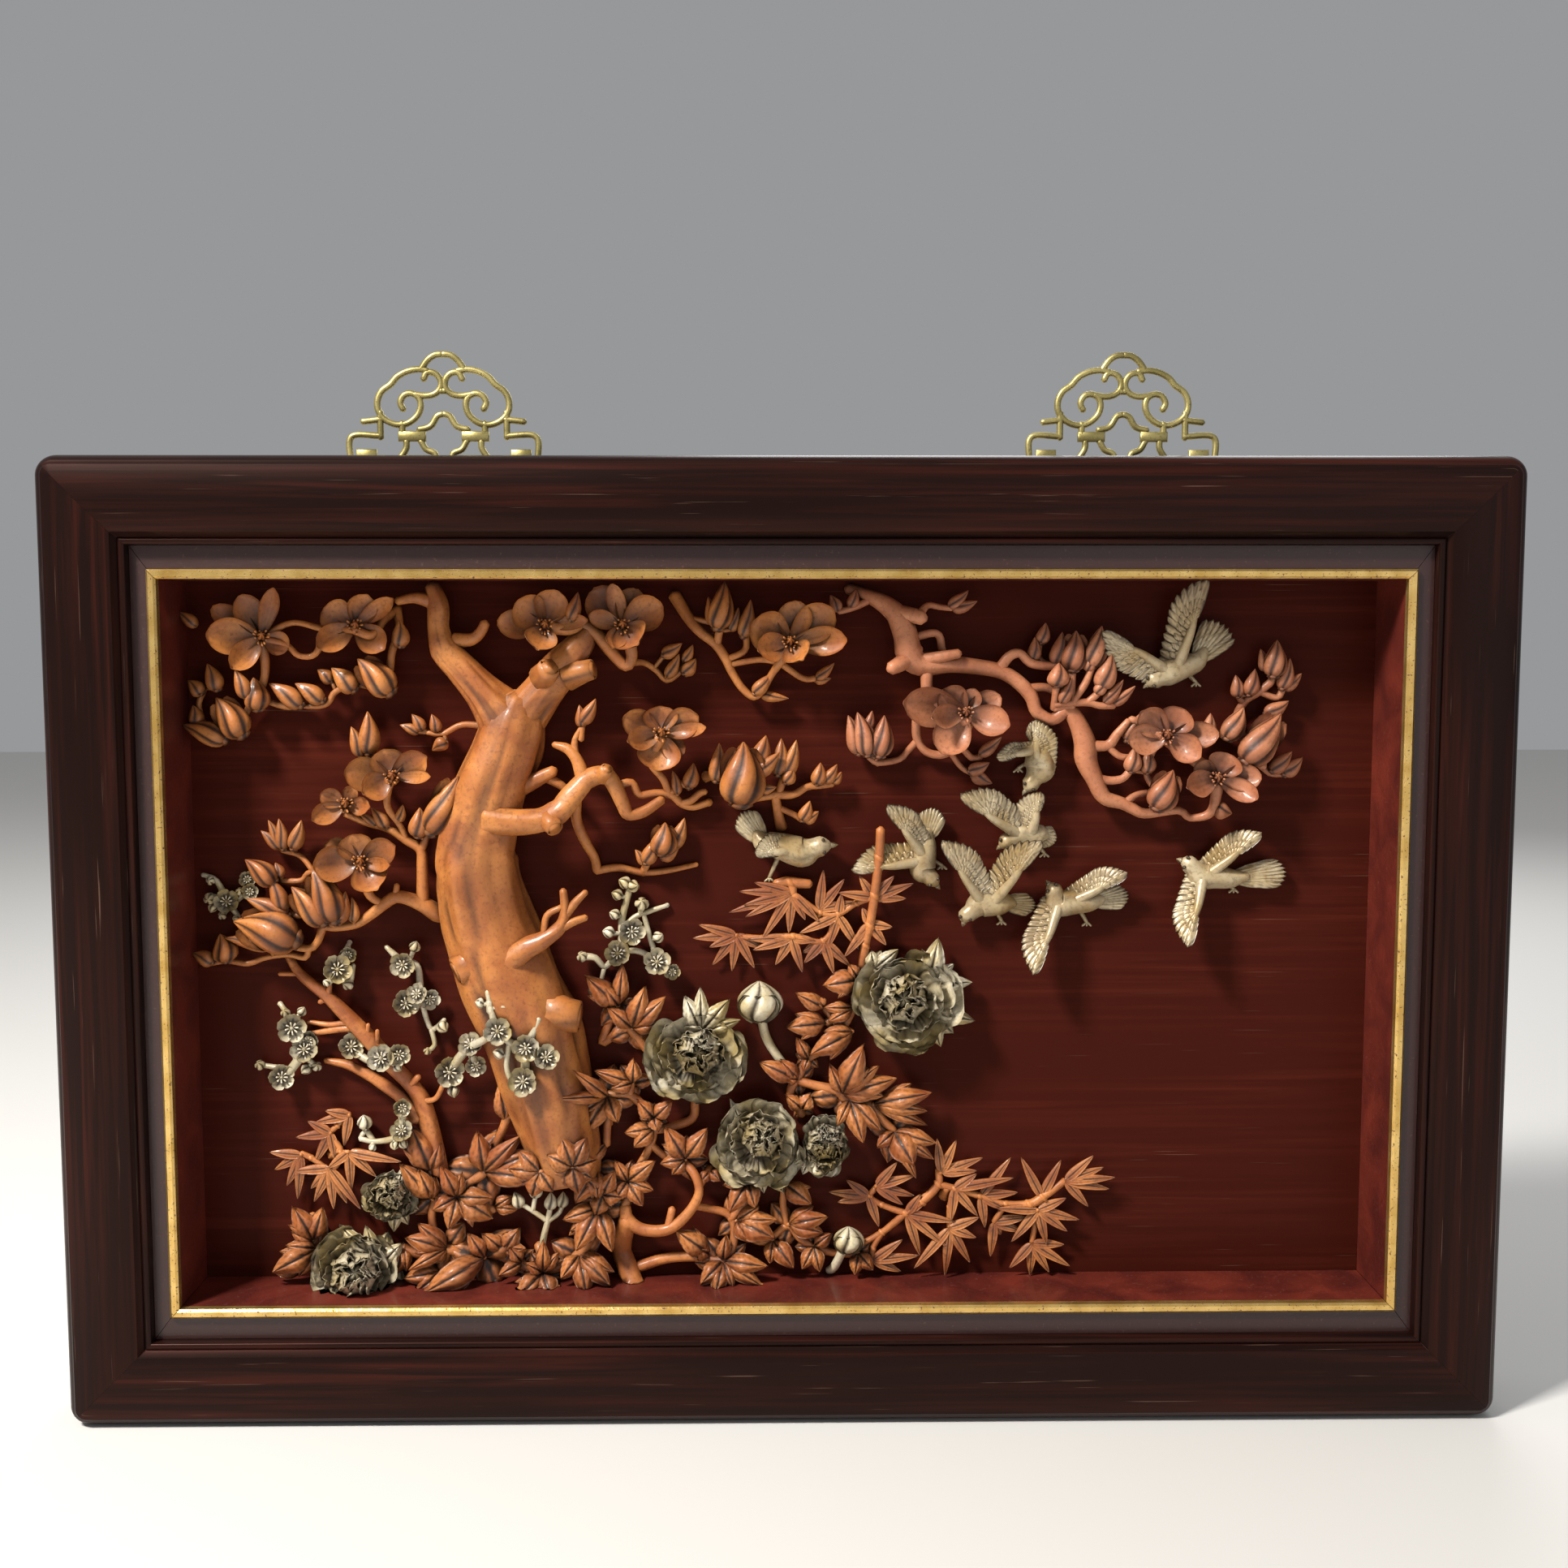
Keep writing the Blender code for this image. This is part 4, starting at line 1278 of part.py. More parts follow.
def carve(name, forms, finish, detail=CARVING_DETAIL):
    """One carved piece: its forms made one solid inside the recess, with beds cut for pieces placed before."""
    meshes = [maker(*values) for maker, values in forms]
    boxes = [bounds_of(mesh) for mesh in meshes]
    beds = [solid for solid, box in placed_solids if any(near(box, mine, BED_STEPS[0]) for mine in boxes)]
    objects = [place_object("form", mesh, cutters) for mesh in meshes]
    whole = largest_body(combine(objects[0], objects[1:], "UNION", CARVING_SOLVER))
    for step, bed in itertools.product(DETAIL_STEPS, BED_STEPS):
        mesh = fitted(lightened(whole, min(1.0, detail * step)), beds, bed)
        if is_closed(mesh):
            break
    bpy.data.meshes.remove(whole)
    mesh.materials.clear()
    mesh.materials.append(finish)
    mesh.shade_smooth()
    mesh.set_sharp_from_angle(angle=SMOOTH_ANGLE)
    obj = place_object(name, mesh, parts)
    placed_solids.append((mesh, bounds_of(mesh)))


def mitred_strip(name, profile, half_length, half_across, end_of, side, finish):
    """A strip of the frame: profile points (outward, forward) run along one side, its ends cut by end_of."""
    curve = bpy.data.curves.new("profile", "CURVE")
    curve.dimensions = "2D"
    curve.fill_mode = "BOTH"
    curve.extrude = 0.5
    spline = curve.splines.new("POLY")
    spline.points.add(len(profile) - 1)
    for point, (outward, forward) in zip(spline.points, profile):
        point.co = (outward, forward, 0.0, 1.0)
    spline.use_cyclic_u = True
    bm = welded_from_curve(curve, MM * 0.01)
    for vert in bm.verts:
        outward, forward, end = vert.co
        reach = half_length + end_of(outward) - GAP * 0.75
        vert.co = (math.copysign(reach, end), -forward, half_across + outward)
    turns = {"top": 0, "right": 90, "bottom": 180, "left": 270}
    bmesh.ops.rotate(bm, verts=bm.verts, cent=(0, 0, 0),
                     matrix=Matrix.Rotation(math.radians(turns[side]), 3, "Y"))
    obj = place_object(name + "_" + side, mesh_of(bm), parts)
    obj.data.materials.append(finish)
    return obj


def strips(name, profile_for, finish, slip_corner):
    """Four mitred strips round the opening. profile_for gives a strip's profile from its slip's width."""
    for side in ("top", "bottom", "left", "right"):
        level = side in ("top", "bottom")
        this_slip = LINER_END_WIDTH if level else LINER_SIDE_WIDTH
        other_slip = LINER_SIDE_WIDTH if level else LINER_END_WIDTH

        def end_of(outward, this_slip=this_slip, other_slip=other_slip):
            if not slip_corner or outward >= 0:
                return outward
            if outward >= -this_slip:
                return outward * other_slip / this_slip
            return outward + this_slip - other_slip

        half_length = (SIGHT_WIDTH if level else SIGHT_HEIGHT) / 2
        half_across = (SIGHT_HEIGHT if level else SIGHT_WIDTH) / 2
        yield mitred_strip(name, profile_for(this_slip), half_length, half_across, end_of, side, finish)


def rail_profile(_):
    """The rail's section: a small bead at the sight edge, a gently domed face and a rounded outer edge."""
    lip, width, crown = LIP_DEPTH, RAIL_WIDTH, LIP_DEPTH + CROWN_RISE
    return (
        (0, 0), (0, lip), (0.0012, lip + 0.0013), (0.0032, lip + 0.0012), (0.0042, lip + 0.0002),
        (0.0058, lip + 0.0018), (width * 0.26, lip + CROWN_RISE * 0.68), (width * 0.5, crown),
        (width * 0.74, crown - CROWN_RISE * 0.2), (width - 0.0065, lip + CROWN_RISE * 0.38),
        (width - 0.002, lip - 0.002), (width, RAIL_SIDE_DEPTH), (width, 0),
    )


def liner_profile(slip):
    inner = slip + GILT_WIDTH
    back = BOARD_THICKNESS + GAP
    return (
        (-GAP, back), (-inner, back), (-inner, GILT_SEAT_DEPTH), (-slip, GILT_SEAT_DEPTH),
        (-slip, LINER_DEPTH), (-GAP, LINER_DEPTH),
    )


def gilt_profile(slip):
    inner = slip + GILT_WIDTH
    back, front, rounding = GILT_SEAT_DEPTH + GAP, GILT_DEPTH, GILT_ROUNDING
    return (
        (-inner, back), (-inner, front - rounding), (-inner + rounding, front), (-slip - GAP - rounding, front),
        (-slip - GAP, front - rounding), (-slip - GAP, back),
    )


def round_corners(rail):
    """Rounds the frame's outer corner on one rail."""
    mesh = box_mesh((-FRAME_WIDTH / 2, 0.01, -FRAME_HEIGHT / 2), (FRAME_WIDTH / 2, -0.1, FRAME_HEIGHT / 2))
    block = place_object("rounded_block", mesh, cutters)
    bevel = block.modifiers.new("corners", "BEVEL")
    bevel.width = CORNER_RADIUS
    bevel.segments = 4
    bevel.limit_method = "WEIGHT"
    weights = mesh.attributes.new("bevel_weight_edge", "FLOAT", "EDGE")
    for edge in mesh.edges:
        one, other = (mesh.vertices[i].co for i in edge.vertices)
        weights.data[edge.index].value = 1.0 if abs(one.y - other.y) > 0.05 else 0.0
    rounded = evaluated_mesh(block)
    discard([block])
    name, finish = rail.name, rail.data.materials[0]
    rail.name = "base"
    parts.objects.unlink(rail)
    cutters.objects.link(rail)
    mesh = combine(rail, [place_object("rounded", rounded, cutters)], "INTERSECT", FRAME_SOLVER)
    obj = place_object(name, mesh, parts)
    obj.data.materials.clear()
    obj.data.materials.append(finish)


def stroke(points, side):
    """A flat bar along a line, in the hanger's own plane."""
    curve = bpy.data.curves.new("stroke", "CURVE")
    curve.dimensions = "2D"
    curve.fill_mode = "NONE"
    curve.extrude = HANGER_THICKNESS / 2
    spline = curve.splines.new("POLY")
    line = kept([(Vector((x * MM, 0, z * MM)), 0) for x, z in points], HANGER_TOLERANCE)
    spline.points.add(len(line) - 1)
    for point, ((x, _, z), _) in zip(spline.points, line):
        point.co = (side * x, z, 0.0, 1.0)
    ribbon = place_object("ribbon", evaluated_ribbon(curve), cutters)
    solidify = ribbon.modifiers.new("width", "SOLIDIFY")
    solidify.thickness = HANGER_STROKE
    solidify.offset = 0.0
    solidify.use_even_offset = True
    mesh = evaluated_mesh(ribbon)
    discard([ribbon])
    return mesh


def evaluated_ribbon(curve):
    obj = place_object("line", curve, cutters)
    mesh = evaluated_mesh(obj)
    discard([obj])
    return mesh


def hanger_mesh():
    """One pierced hanger, in its own plane with its foot at z = 0."""
    shapes = [stroke(points, side) for points in HANGER_STROKES for side in (1, -1)]
    for (x0, z0), (x1, z1) in HANGER_BLOCKS:
        for side in (1, -1):
            half = HANGER_THICKNESS / 2
            shapes.append(box_mesh((side * x0 * MM, z0 * MM, -half * 0.9), (side * x1 * MM, z1 * MM, half * 0.9)))
    objects = [place_object("shape", mesh, cutters) for mesh in shapes]
    mesh = combine(objects[0], objects[1:], "UNION", FRAME_SOLVER)
    above = box_mesh((-0.1, GAP, -0.1), (0.1, 0.2, 0.1))
    base = place_object("base", largest_body(mesh), cutters)
    mesh = largest_body(combine(base, [place_object("above", above, cutters)], "INTERSECT", FRAME_SOLVER))
    mesh = lightened(flattened(mesh, 0.02), HANGER_DETAIL)
    mesh.transform(Matrix.Rotation(math.radians(90), 4, "X"))
    return mesh


def build_frame(lacquer, red, gilt, board_wood, brass):
    for rail in list(strips("frame_rail", rail_profile, lacquer, False)):
        round_corners(rail)
    list(strips("liner", liner_profile, red, True))
    list(strips("gilt_fillet", gilt_profile, gilt, True))
    board = place_object("back_board", box_mesh(
        (-SIGHT_WIDTH / 2 + GAP, 0, -SIGHT_HEIGHT / 2 + GAP),
        (SIGHT_WIDTH / 2 - GAP, -BOARD_THICKNESS, SIGHT_HEIGHT / 2 - GAP)), parts)
    board.data.materials.append(board_wood)
    mesh = hanger_mesh()
    mesh.materials.clear()
    mesh.materials.append(brass)
    for name, side in (("hanger_left", -1), ("hanger_right", 1)):
        hanger = place_object(name, mesh, parts)
        hanger.location = (side * HANGER_SPACING / 2, -HANGER_WALL_SPACE - HANGER_THICKNESS / 2, FRAME_HEIGHT / 2)


def nearest(lines, x, z, lift):
    """The place on runs of (x, z, lift, radius) that is nearest to x, z, lift, and how far off it is."""
    here = Vector((x, z, lift))
    best = (1e9, here)
    for places in lines:
        for start, end in zip(places, places[1:]):
            low, high = Vector(start[:3]), Vector(end[:3])
            way = high - low
            share = min(1.0, max(0.0, (here - low).dot(way) / max(way.length_squared, 1e-9)))
            at = low + way * share
            best = min(best, ((here - at).length, at), key=lambda pair: pair[0])
    return best[1], best[0]


def plain(places):
    """The run without the places that it can lose."""
    points = kept([((x, z, lift), radius) for x, z, lift, radius in places], LINE_TOLERANCE / MM)
    return tuple((*place, radius) for place, radius in points)


def rooted(lines):
    """The runs, with the start of each run after the first moved onto the runs before it where it is near."""
    made = [plain(lines[0])]
    for places in lines[1:]:
        at, off = nearest(made, *places[0][:3])
        start = (*at, places[0][3]) if off < JOIN_REACH else places[0]
        made.append(plain((start, *places[1:])))
    return made


def stem_to(lines, place, radius):
    """The form of a stem from the nearest run to a place, or none where the run already reaches it."""
    at, off = nearest(lines, *place)
    if off < radius or not lines:
        return []
    return [(run, (((*at, STEM_RADIUS), (*place, STEM_RADIUS)),))]


def foot(lines):
    """The form of a foot from the lowest point of the runs to the board."""
    x, z, lift, radius = min((place for places in lines for place in places), key=lambda place: place[2])
    return [(run, (((x, z, lift, radius), (x, z, -0.5, radius + 0.5)),))] if lift > radius - 0.5 else []


def magnolia_forms(spray):
    lines = rooted(spray["twigs"])
    forms = [(run, (places,)) for places in lines]
    for place in spray["buds"]:
        base_x, base_z, _, _, _, lift = place
        at, off = nearest(lines, base_x, base_z, lift)
        forms.append((bud, (place, tuple(at) if off < JOIN_REACH else (base_x, base_z, lift - 3))))
    for heart, petals in spray["flowers"]:
        forms.append((fan, (heart, petals, 0.6, False, 2.5)))
        forms += stem_to(lines, heart, 2.0)
    return forms + foot(lines)


def sprig_forms(sprig):
    lines = rooted(sprig["stems"])
    forms = [(run, (places,)) for places in lines]
    for place in sprig["blossoms"]:
        forms.append((blossom, (place,)))
        forms += stem_to(lines, place[:3], 2.5)
    for place in sprig["buds"]:
        forms.append((ball, (place,)))
        forms += stem_to(lines, place[:3], place[3])
    return forms + foot(lines)


def leaf_forms(lines, fans):
    forms = []
    for heart, lobes in fans:
        forms.append((fan, (heart, lobes, 0.42, False, LEAF_RISE)))
        forms += stem_to(lines, heart, 2.0)
    return forms


def peony_forms(name):
    heart, half_width, half_height, closed = PEONIES[name]
    x, z, lift = heart
    width, height = half_width * MM, half_height * MM
    forms = [
        (rosette, (heart, width, height, 8, 0.84, 0.001, lift * MM)),
        (rosette, ((x, z, lift + 8), width * 0.7, height * 0.7, 7, 0.8, 0.002, 0.012)),
        (rosette, (closed[:3], closed[3] * MM, closed[3] * MM, 5, 0.8, -0.004, 0.014)),
    ]
    return forms + leaf_forms((((x, z, 4, 3), (x, z + 1, 4, 3)),), BLOOM_LEAVES[name])


def foliage_forms(stems, fans):
    lines = rooted(stems)
    return [(run, (places,)) for places in lines] + leaf_forms(lines, fans) + foot(lines)


def bamboo_forms(stems, fans):
    lines = rooted(stems)
    forms = [(run, (places,)) for places in lines]
    for heart, leaves in fans:
        tips = tuple((x, z, BAMBOO_WIDTH, heart[2] - 1) for x, z in leaves)
        forms.append((fan, (heart, tips, 0.35, True, BAMBOO_RISE)))
        forms += stem_to(lines, heart, 2.0)
    return forms + foot(lines)


def bird_forms(bird):
    forms = [(bird_body, (bird,)), (bird_tail, (bird,))]
    forms += [(bird_wing, (bird, wing)) for wing in bird["wings"]]
    forms += [(bird_foot, (bird, place)) for place in bird["feet"]]
    return forms


def build_carving(boxwood, pink_wood, orange_wood, silver, bone):
    carve("magnolia_tree", [(run, (places,)) for places in TREE_LIMBS]
          + [(knot, (place,)) for place in TREE_KNOTS]
          + magnolia_forms(TREE_TWIG), boxwood)
    carve("plum_branch", [(run, (places,)) for places in PLUM_LIMBS], orange_wood)
    for name, spray in MAGNOLIA_SPRAYS.items():
        carve(name, magnolia_forms(spray), pink_wood if "right" in name else boxwood)
    for name, sprig in PLUM_SPRIGS.items():
        carve(name, sprig_forms(sprig), silver)
    for name, bird in BIRDS.items():
        carve(name, bird_forms(bird), bone, BIRD_DETAIL)
    for name in PEONIES:
        carve(name, peony_forms(name), silver)
    place, radius, stem = PEONY_LOW_BUD
    carve("peony_bud_low", [(ball, ((*place, radius),)), (run, (stem,))], silver)
    for name, (stems, fans) in BAMBOO.items():
        carve(name, bamboo_forms(stems, fans), orange_wood, BAMBOO_DETAIL)
    place, radius, stem = PEONY_ROUND_BUD
    bud_forms = [(ball, ((*place, radius),)), (run, (stem,))]
    for name, (stems, fans) in PEONY_FOLIAGE.items():
        forms = foliage_forms(stems, fans)
        if name == PEONY_ROUND_BUD_ON:
            forms += bud_forms
        if name == FOOT_BUDS_ON:
            forms += [(run, (places,)) for places in FOOT_BUD_STEMS] + [(ball, (place,)) for place in FOOT_BUDS]
        carve(name, forms, orange_wood, FOLIAGE_DETAIL)


def main():
    for obj in list(bpy.data.objects):
        bpy.data.objects.remove(obj)
    bpy.context.scene.collection.children.link(parts)
    bpy.context.scene.collection.children.link(cutters)
    lacquer = material("dark_lacquered_rosewood", (0.018, 0.010, 0.008), 0.22)
    red = material("red_lacquer", (0.20, 0.022, 0.014), 0.4)
    gilt = material("worn_gilding", (0.72, 0.52, 0.20), 0.38, 0.8)
    board_wood = material("dark_red_board", (0.045, 0.017, 0.013), 0.5)
    brass = material("antique_brass", (0.42, 0.36, 0.17), 0.38, 0.9)
    boxwood = material("golden_boxwood", (0.52, 0.27, 0.10), 0.4)
    pink_wood = material("salmon_boxwood", (0.56, 0.29, 0.17), 0.4)
    orange_wood = material("orange_boxwood", (0.56, 0.24, 0.09), 0.4)
    silver = material("silvered_carving", (0.46, 0.43, 0.33), 0.35)
    bone = material("cream_carving", (0.62, 0.56, 0.42), 0.35)
    build_frame(lacquer, red, gilt, board_wood, brass)
    build_carving(boxwood, pink_wood, orange_wood, silver, bone)


main()
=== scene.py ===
# A carved wall panel in a lacquered shadow-box frame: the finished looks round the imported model.
# Everything is in metres. The wall is the plane y = 0 and the front faces -Y.
import math

import bpy
import numpy as np
from mathutils import Matrix, Vector, noise


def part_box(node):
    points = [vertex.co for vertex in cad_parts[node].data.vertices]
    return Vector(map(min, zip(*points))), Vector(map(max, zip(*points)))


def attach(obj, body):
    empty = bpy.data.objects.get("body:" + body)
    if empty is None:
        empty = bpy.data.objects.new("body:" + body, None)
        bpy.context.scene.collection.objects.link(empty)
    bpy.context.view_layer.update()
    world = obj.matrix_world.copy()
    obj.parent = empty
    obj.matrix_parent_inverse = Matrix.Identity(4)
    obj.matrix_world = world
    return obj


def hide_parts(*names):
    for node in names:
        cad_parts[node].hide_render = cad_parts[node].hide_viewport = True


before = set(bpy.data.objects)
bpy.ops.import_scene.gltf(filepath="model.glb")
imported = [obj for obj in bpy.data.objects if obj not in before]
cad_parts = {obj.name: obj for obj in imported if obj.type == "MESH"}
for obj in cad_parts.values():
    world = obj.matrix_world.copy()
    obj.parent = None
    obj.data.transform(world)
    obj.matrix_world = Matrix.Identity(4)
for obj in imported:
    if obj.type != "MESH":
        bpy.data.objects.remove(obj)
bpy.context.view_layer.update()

MM = 0.001
FRAME_WIDTH = 0.914
FRAME_HEIGHT = 0.612
RAIL_WIDTH = 0.0545
RAIL_SIDE_DEPTH = 0.059
LIP_DEPTH = 0.0677
CROWN_RISE = 0.0073
CORNER_RADIUS = 0.013
LINER_SIDE_WIDTH = 0.0107
LINER_END_WIDTH = 0.0145
GILT_WIDTH = 0.0062
BOARD_THICKNESS = 0.0077
SIGHT_WIDTH = FRAME_WIDTH - 2 * RAIL_WIDTH
SIGHT_HEIGHT = FRAME_HEIGHT - 2 * RAIL_WIDTH
RECESS_WIDTH = SIGHT_WIDTH - 2 * (LINER_SIDE_WIDTH + GILT_WIDTH)
RECESS_HEIGHT = SIGHT_HEIGHT - 2 * (LINER_END_WIDTH + GILT_WIDTH)
# The recess as it was drawn: places keep their share of it
DRAWN_WIDTH = 0.7802
DRAWN_HEIGHT = 0.4616
STRETCH_X = RECESS_WIDTH / DRAWN_WIDTH
STRETCH_Z = RECESS_HEIGHT / DRAWN_HEIGHT
# How near a bud or a side twig starts to a twig that it grows from, in millimetres
JOIN_REACH = 22
# How far forward the carving may reach, and its least gaps to the recess's walls and to the board
FRONT_LIMIT = 0.0745
WALL_GAP = 0.0002
BOARD_GAP = 0.0001
# The eye for which the carving's places are given
VIEWER = np.array((-0.0157, -1.1406, 0.2013))

# The carving's places, in millimetres on the board as a viewer sees them: x to the right and z up from
# the panel's middle, and lift, the distance of a form's middle off the board. Limbs and twigs are runs
# of (x, z, lift, radius). Buds are (base x, base z, tip x, tip z, width, lift). A flower has its heart
# (x, z, lift) and its petals (tip x, tip z, width, tip lift).
TREE_LIMBS = (
    ((-146, -165, 12, 20), (-152, -130, 12, 26), (-160, -95, 12, 30), (-172, -58, 12, 31),
     (-186, -22, 12, 31), (-198, 15, 12, 29), (-204, 52, 12, 27), (-194, 90, 12, 24), (-184, 120, 12, 22),
     (-178, 142, 12, 20), (-174, 156, 12, 13)),
    ((-184, 142, 12, 18), (-197, 158, 14, 12.5), (-210, 173, 15, 10.5), (-222, 187, 15, 9),
     (-226, 200, 14, 7), (-226, 214, 13, 7), (-230, 228, 12, 4.5)),
    ((-227, 216, 13, 4.5), (-240, 220, 14, 3.6), (-253, 218, 15, 2.6)),
    ((-216, 192, 15, 5), (-205, 193, 18, 4), (-199, 198, 20, 3.6), (-196, 204, 21, 3)),
    ((-170, 146, 12, 15), (-158, 160, 14, 13), (-146, 175, 15, 12.5), (-134, 190, 15, 9.5),
     (-127, 201, 15, 6)),
    ((-197, 76, 28, 9.5), (-180, 74, 31, 8.5), (-162, 75, 32, 8), (-148, 82, 31, 7.5), (-138, 94, 29, 7),
     (-129, 103, 27, 6.3), (-118, 105, 26, 5.6), (-112, 97, 24, 5), (-107, 86, 22, 4.4), (-103, 79, 20, 4),
     (-93, 81, 18, 3.6), (-81, 89, 15, 3)),
    ((-133, 103, 26, 5), (-137, 115, 24, 4), (-143, 122, 22, 3.5), (-152, 125, 20, 2)),
    ((-138, 118, 23, 2.6), (-138, 128, 22, 2), (-133, 137, 21, 1.8)),
    ((-176, 97, 16, 7), (-162, 103, 18, 5), (-152, 108, 19, 3.6)),
    ((-158, 104, 17, 3.4), (-147, 98, 17, 2.8), (-140, 90, 16, 2.2)),
    ((-138, 88, 22, 4), (-137, 74, 14, 3.4), (-131, 60, 9, 3.2), (-126, 51, 6, 3), (-124, 42, 3, 3)),
    ((-125, 42, 3, 2.8), (-110, 44, 3, 2.6), (-95, 41, 3, 2.4), (-78, 42, 3, 2), (-58, 46, 3, 1.6)),
    ((-186, -20, 34, 9), (-173, -10, 37, 7), (-161, -4, 38, 5.5), (-150, 4, 38, 4.2), (-146, 14, 38, 3.4),
     (-147, 29, 38, 2.4)),
    ((-146, 12, 38, 3), (-139, 21, 38, 2.6), (-132, 28, 37, 2)),
    ((-151, 3, 38, 3.2), (-141, 8, 38, 2.6), (-132, 11, 37, 2)),
    ((-160, -3, 38, 2.6), (-158, 12, 38, 2.2), (-148, 18, 38, 2)),
)
# Knots with hollows: where each grows from, where it ends, its radius at both ends and its hollow's width
TREE_KNOTS = (
    ((-204, -18, 22), (-219, -25, 28), 17, 10, 5),
    ((-160, -52, 24), (-137, -55, 26), 17, 11, 8),
    ((-158, 168, 20), (-154, 175, 30), 10, 7.5, 7),
    ((-142, 170, 20), (-126, 174, 26), 10, 7, 7),
    ((-156, 76, 33), (-152, 70, 40), 8, 6, 6),
    ((-121, 104, 27), (-117, 109, 33), 5.6, 4.4, 5),
)
TREE_TWIG = {
    "twigs": (
        ((-94, 41, 3, 2.6), (-88, 52, 8, 2.6), (-80, 56, 12, 4)),
        ((-92, 46, 6, 2), (-96, 50, 6, 2)),
        ((-82, 48, 8, 2.4), (-80, 54, 11, 2.4)),
        ((-196, 137, 12, 2.4), (-212, 138, 12, 2), (-225, 132, 12, 1.8), (-235, 133, 12, 1.6)),
        ((-134, 128, 22, 2), (-133, 138, 21, 2)),
    ),
    "buds": (
        (-81, 52, -79, 74, 15, 15), (-92, 46, -85, 64, 9, 12), (-92, 46, -99, 56, 6, 9),
        (-82, 50, -70, 57, 8, 13), (-74, 56, -66, 77, 9, 8), (-228, 133, -232, 145, 7, 12),
        (-237, 134, -245, 145, 7, 12), (-240, 133, -253, 138, 6, 12), (-222, 128, -232, 121, 8, 12),
        (-133, 138, -124, 155, 8, 22), (-133, 136, -135, 151, 7, 21),
    ),
    "flowers": (),
}
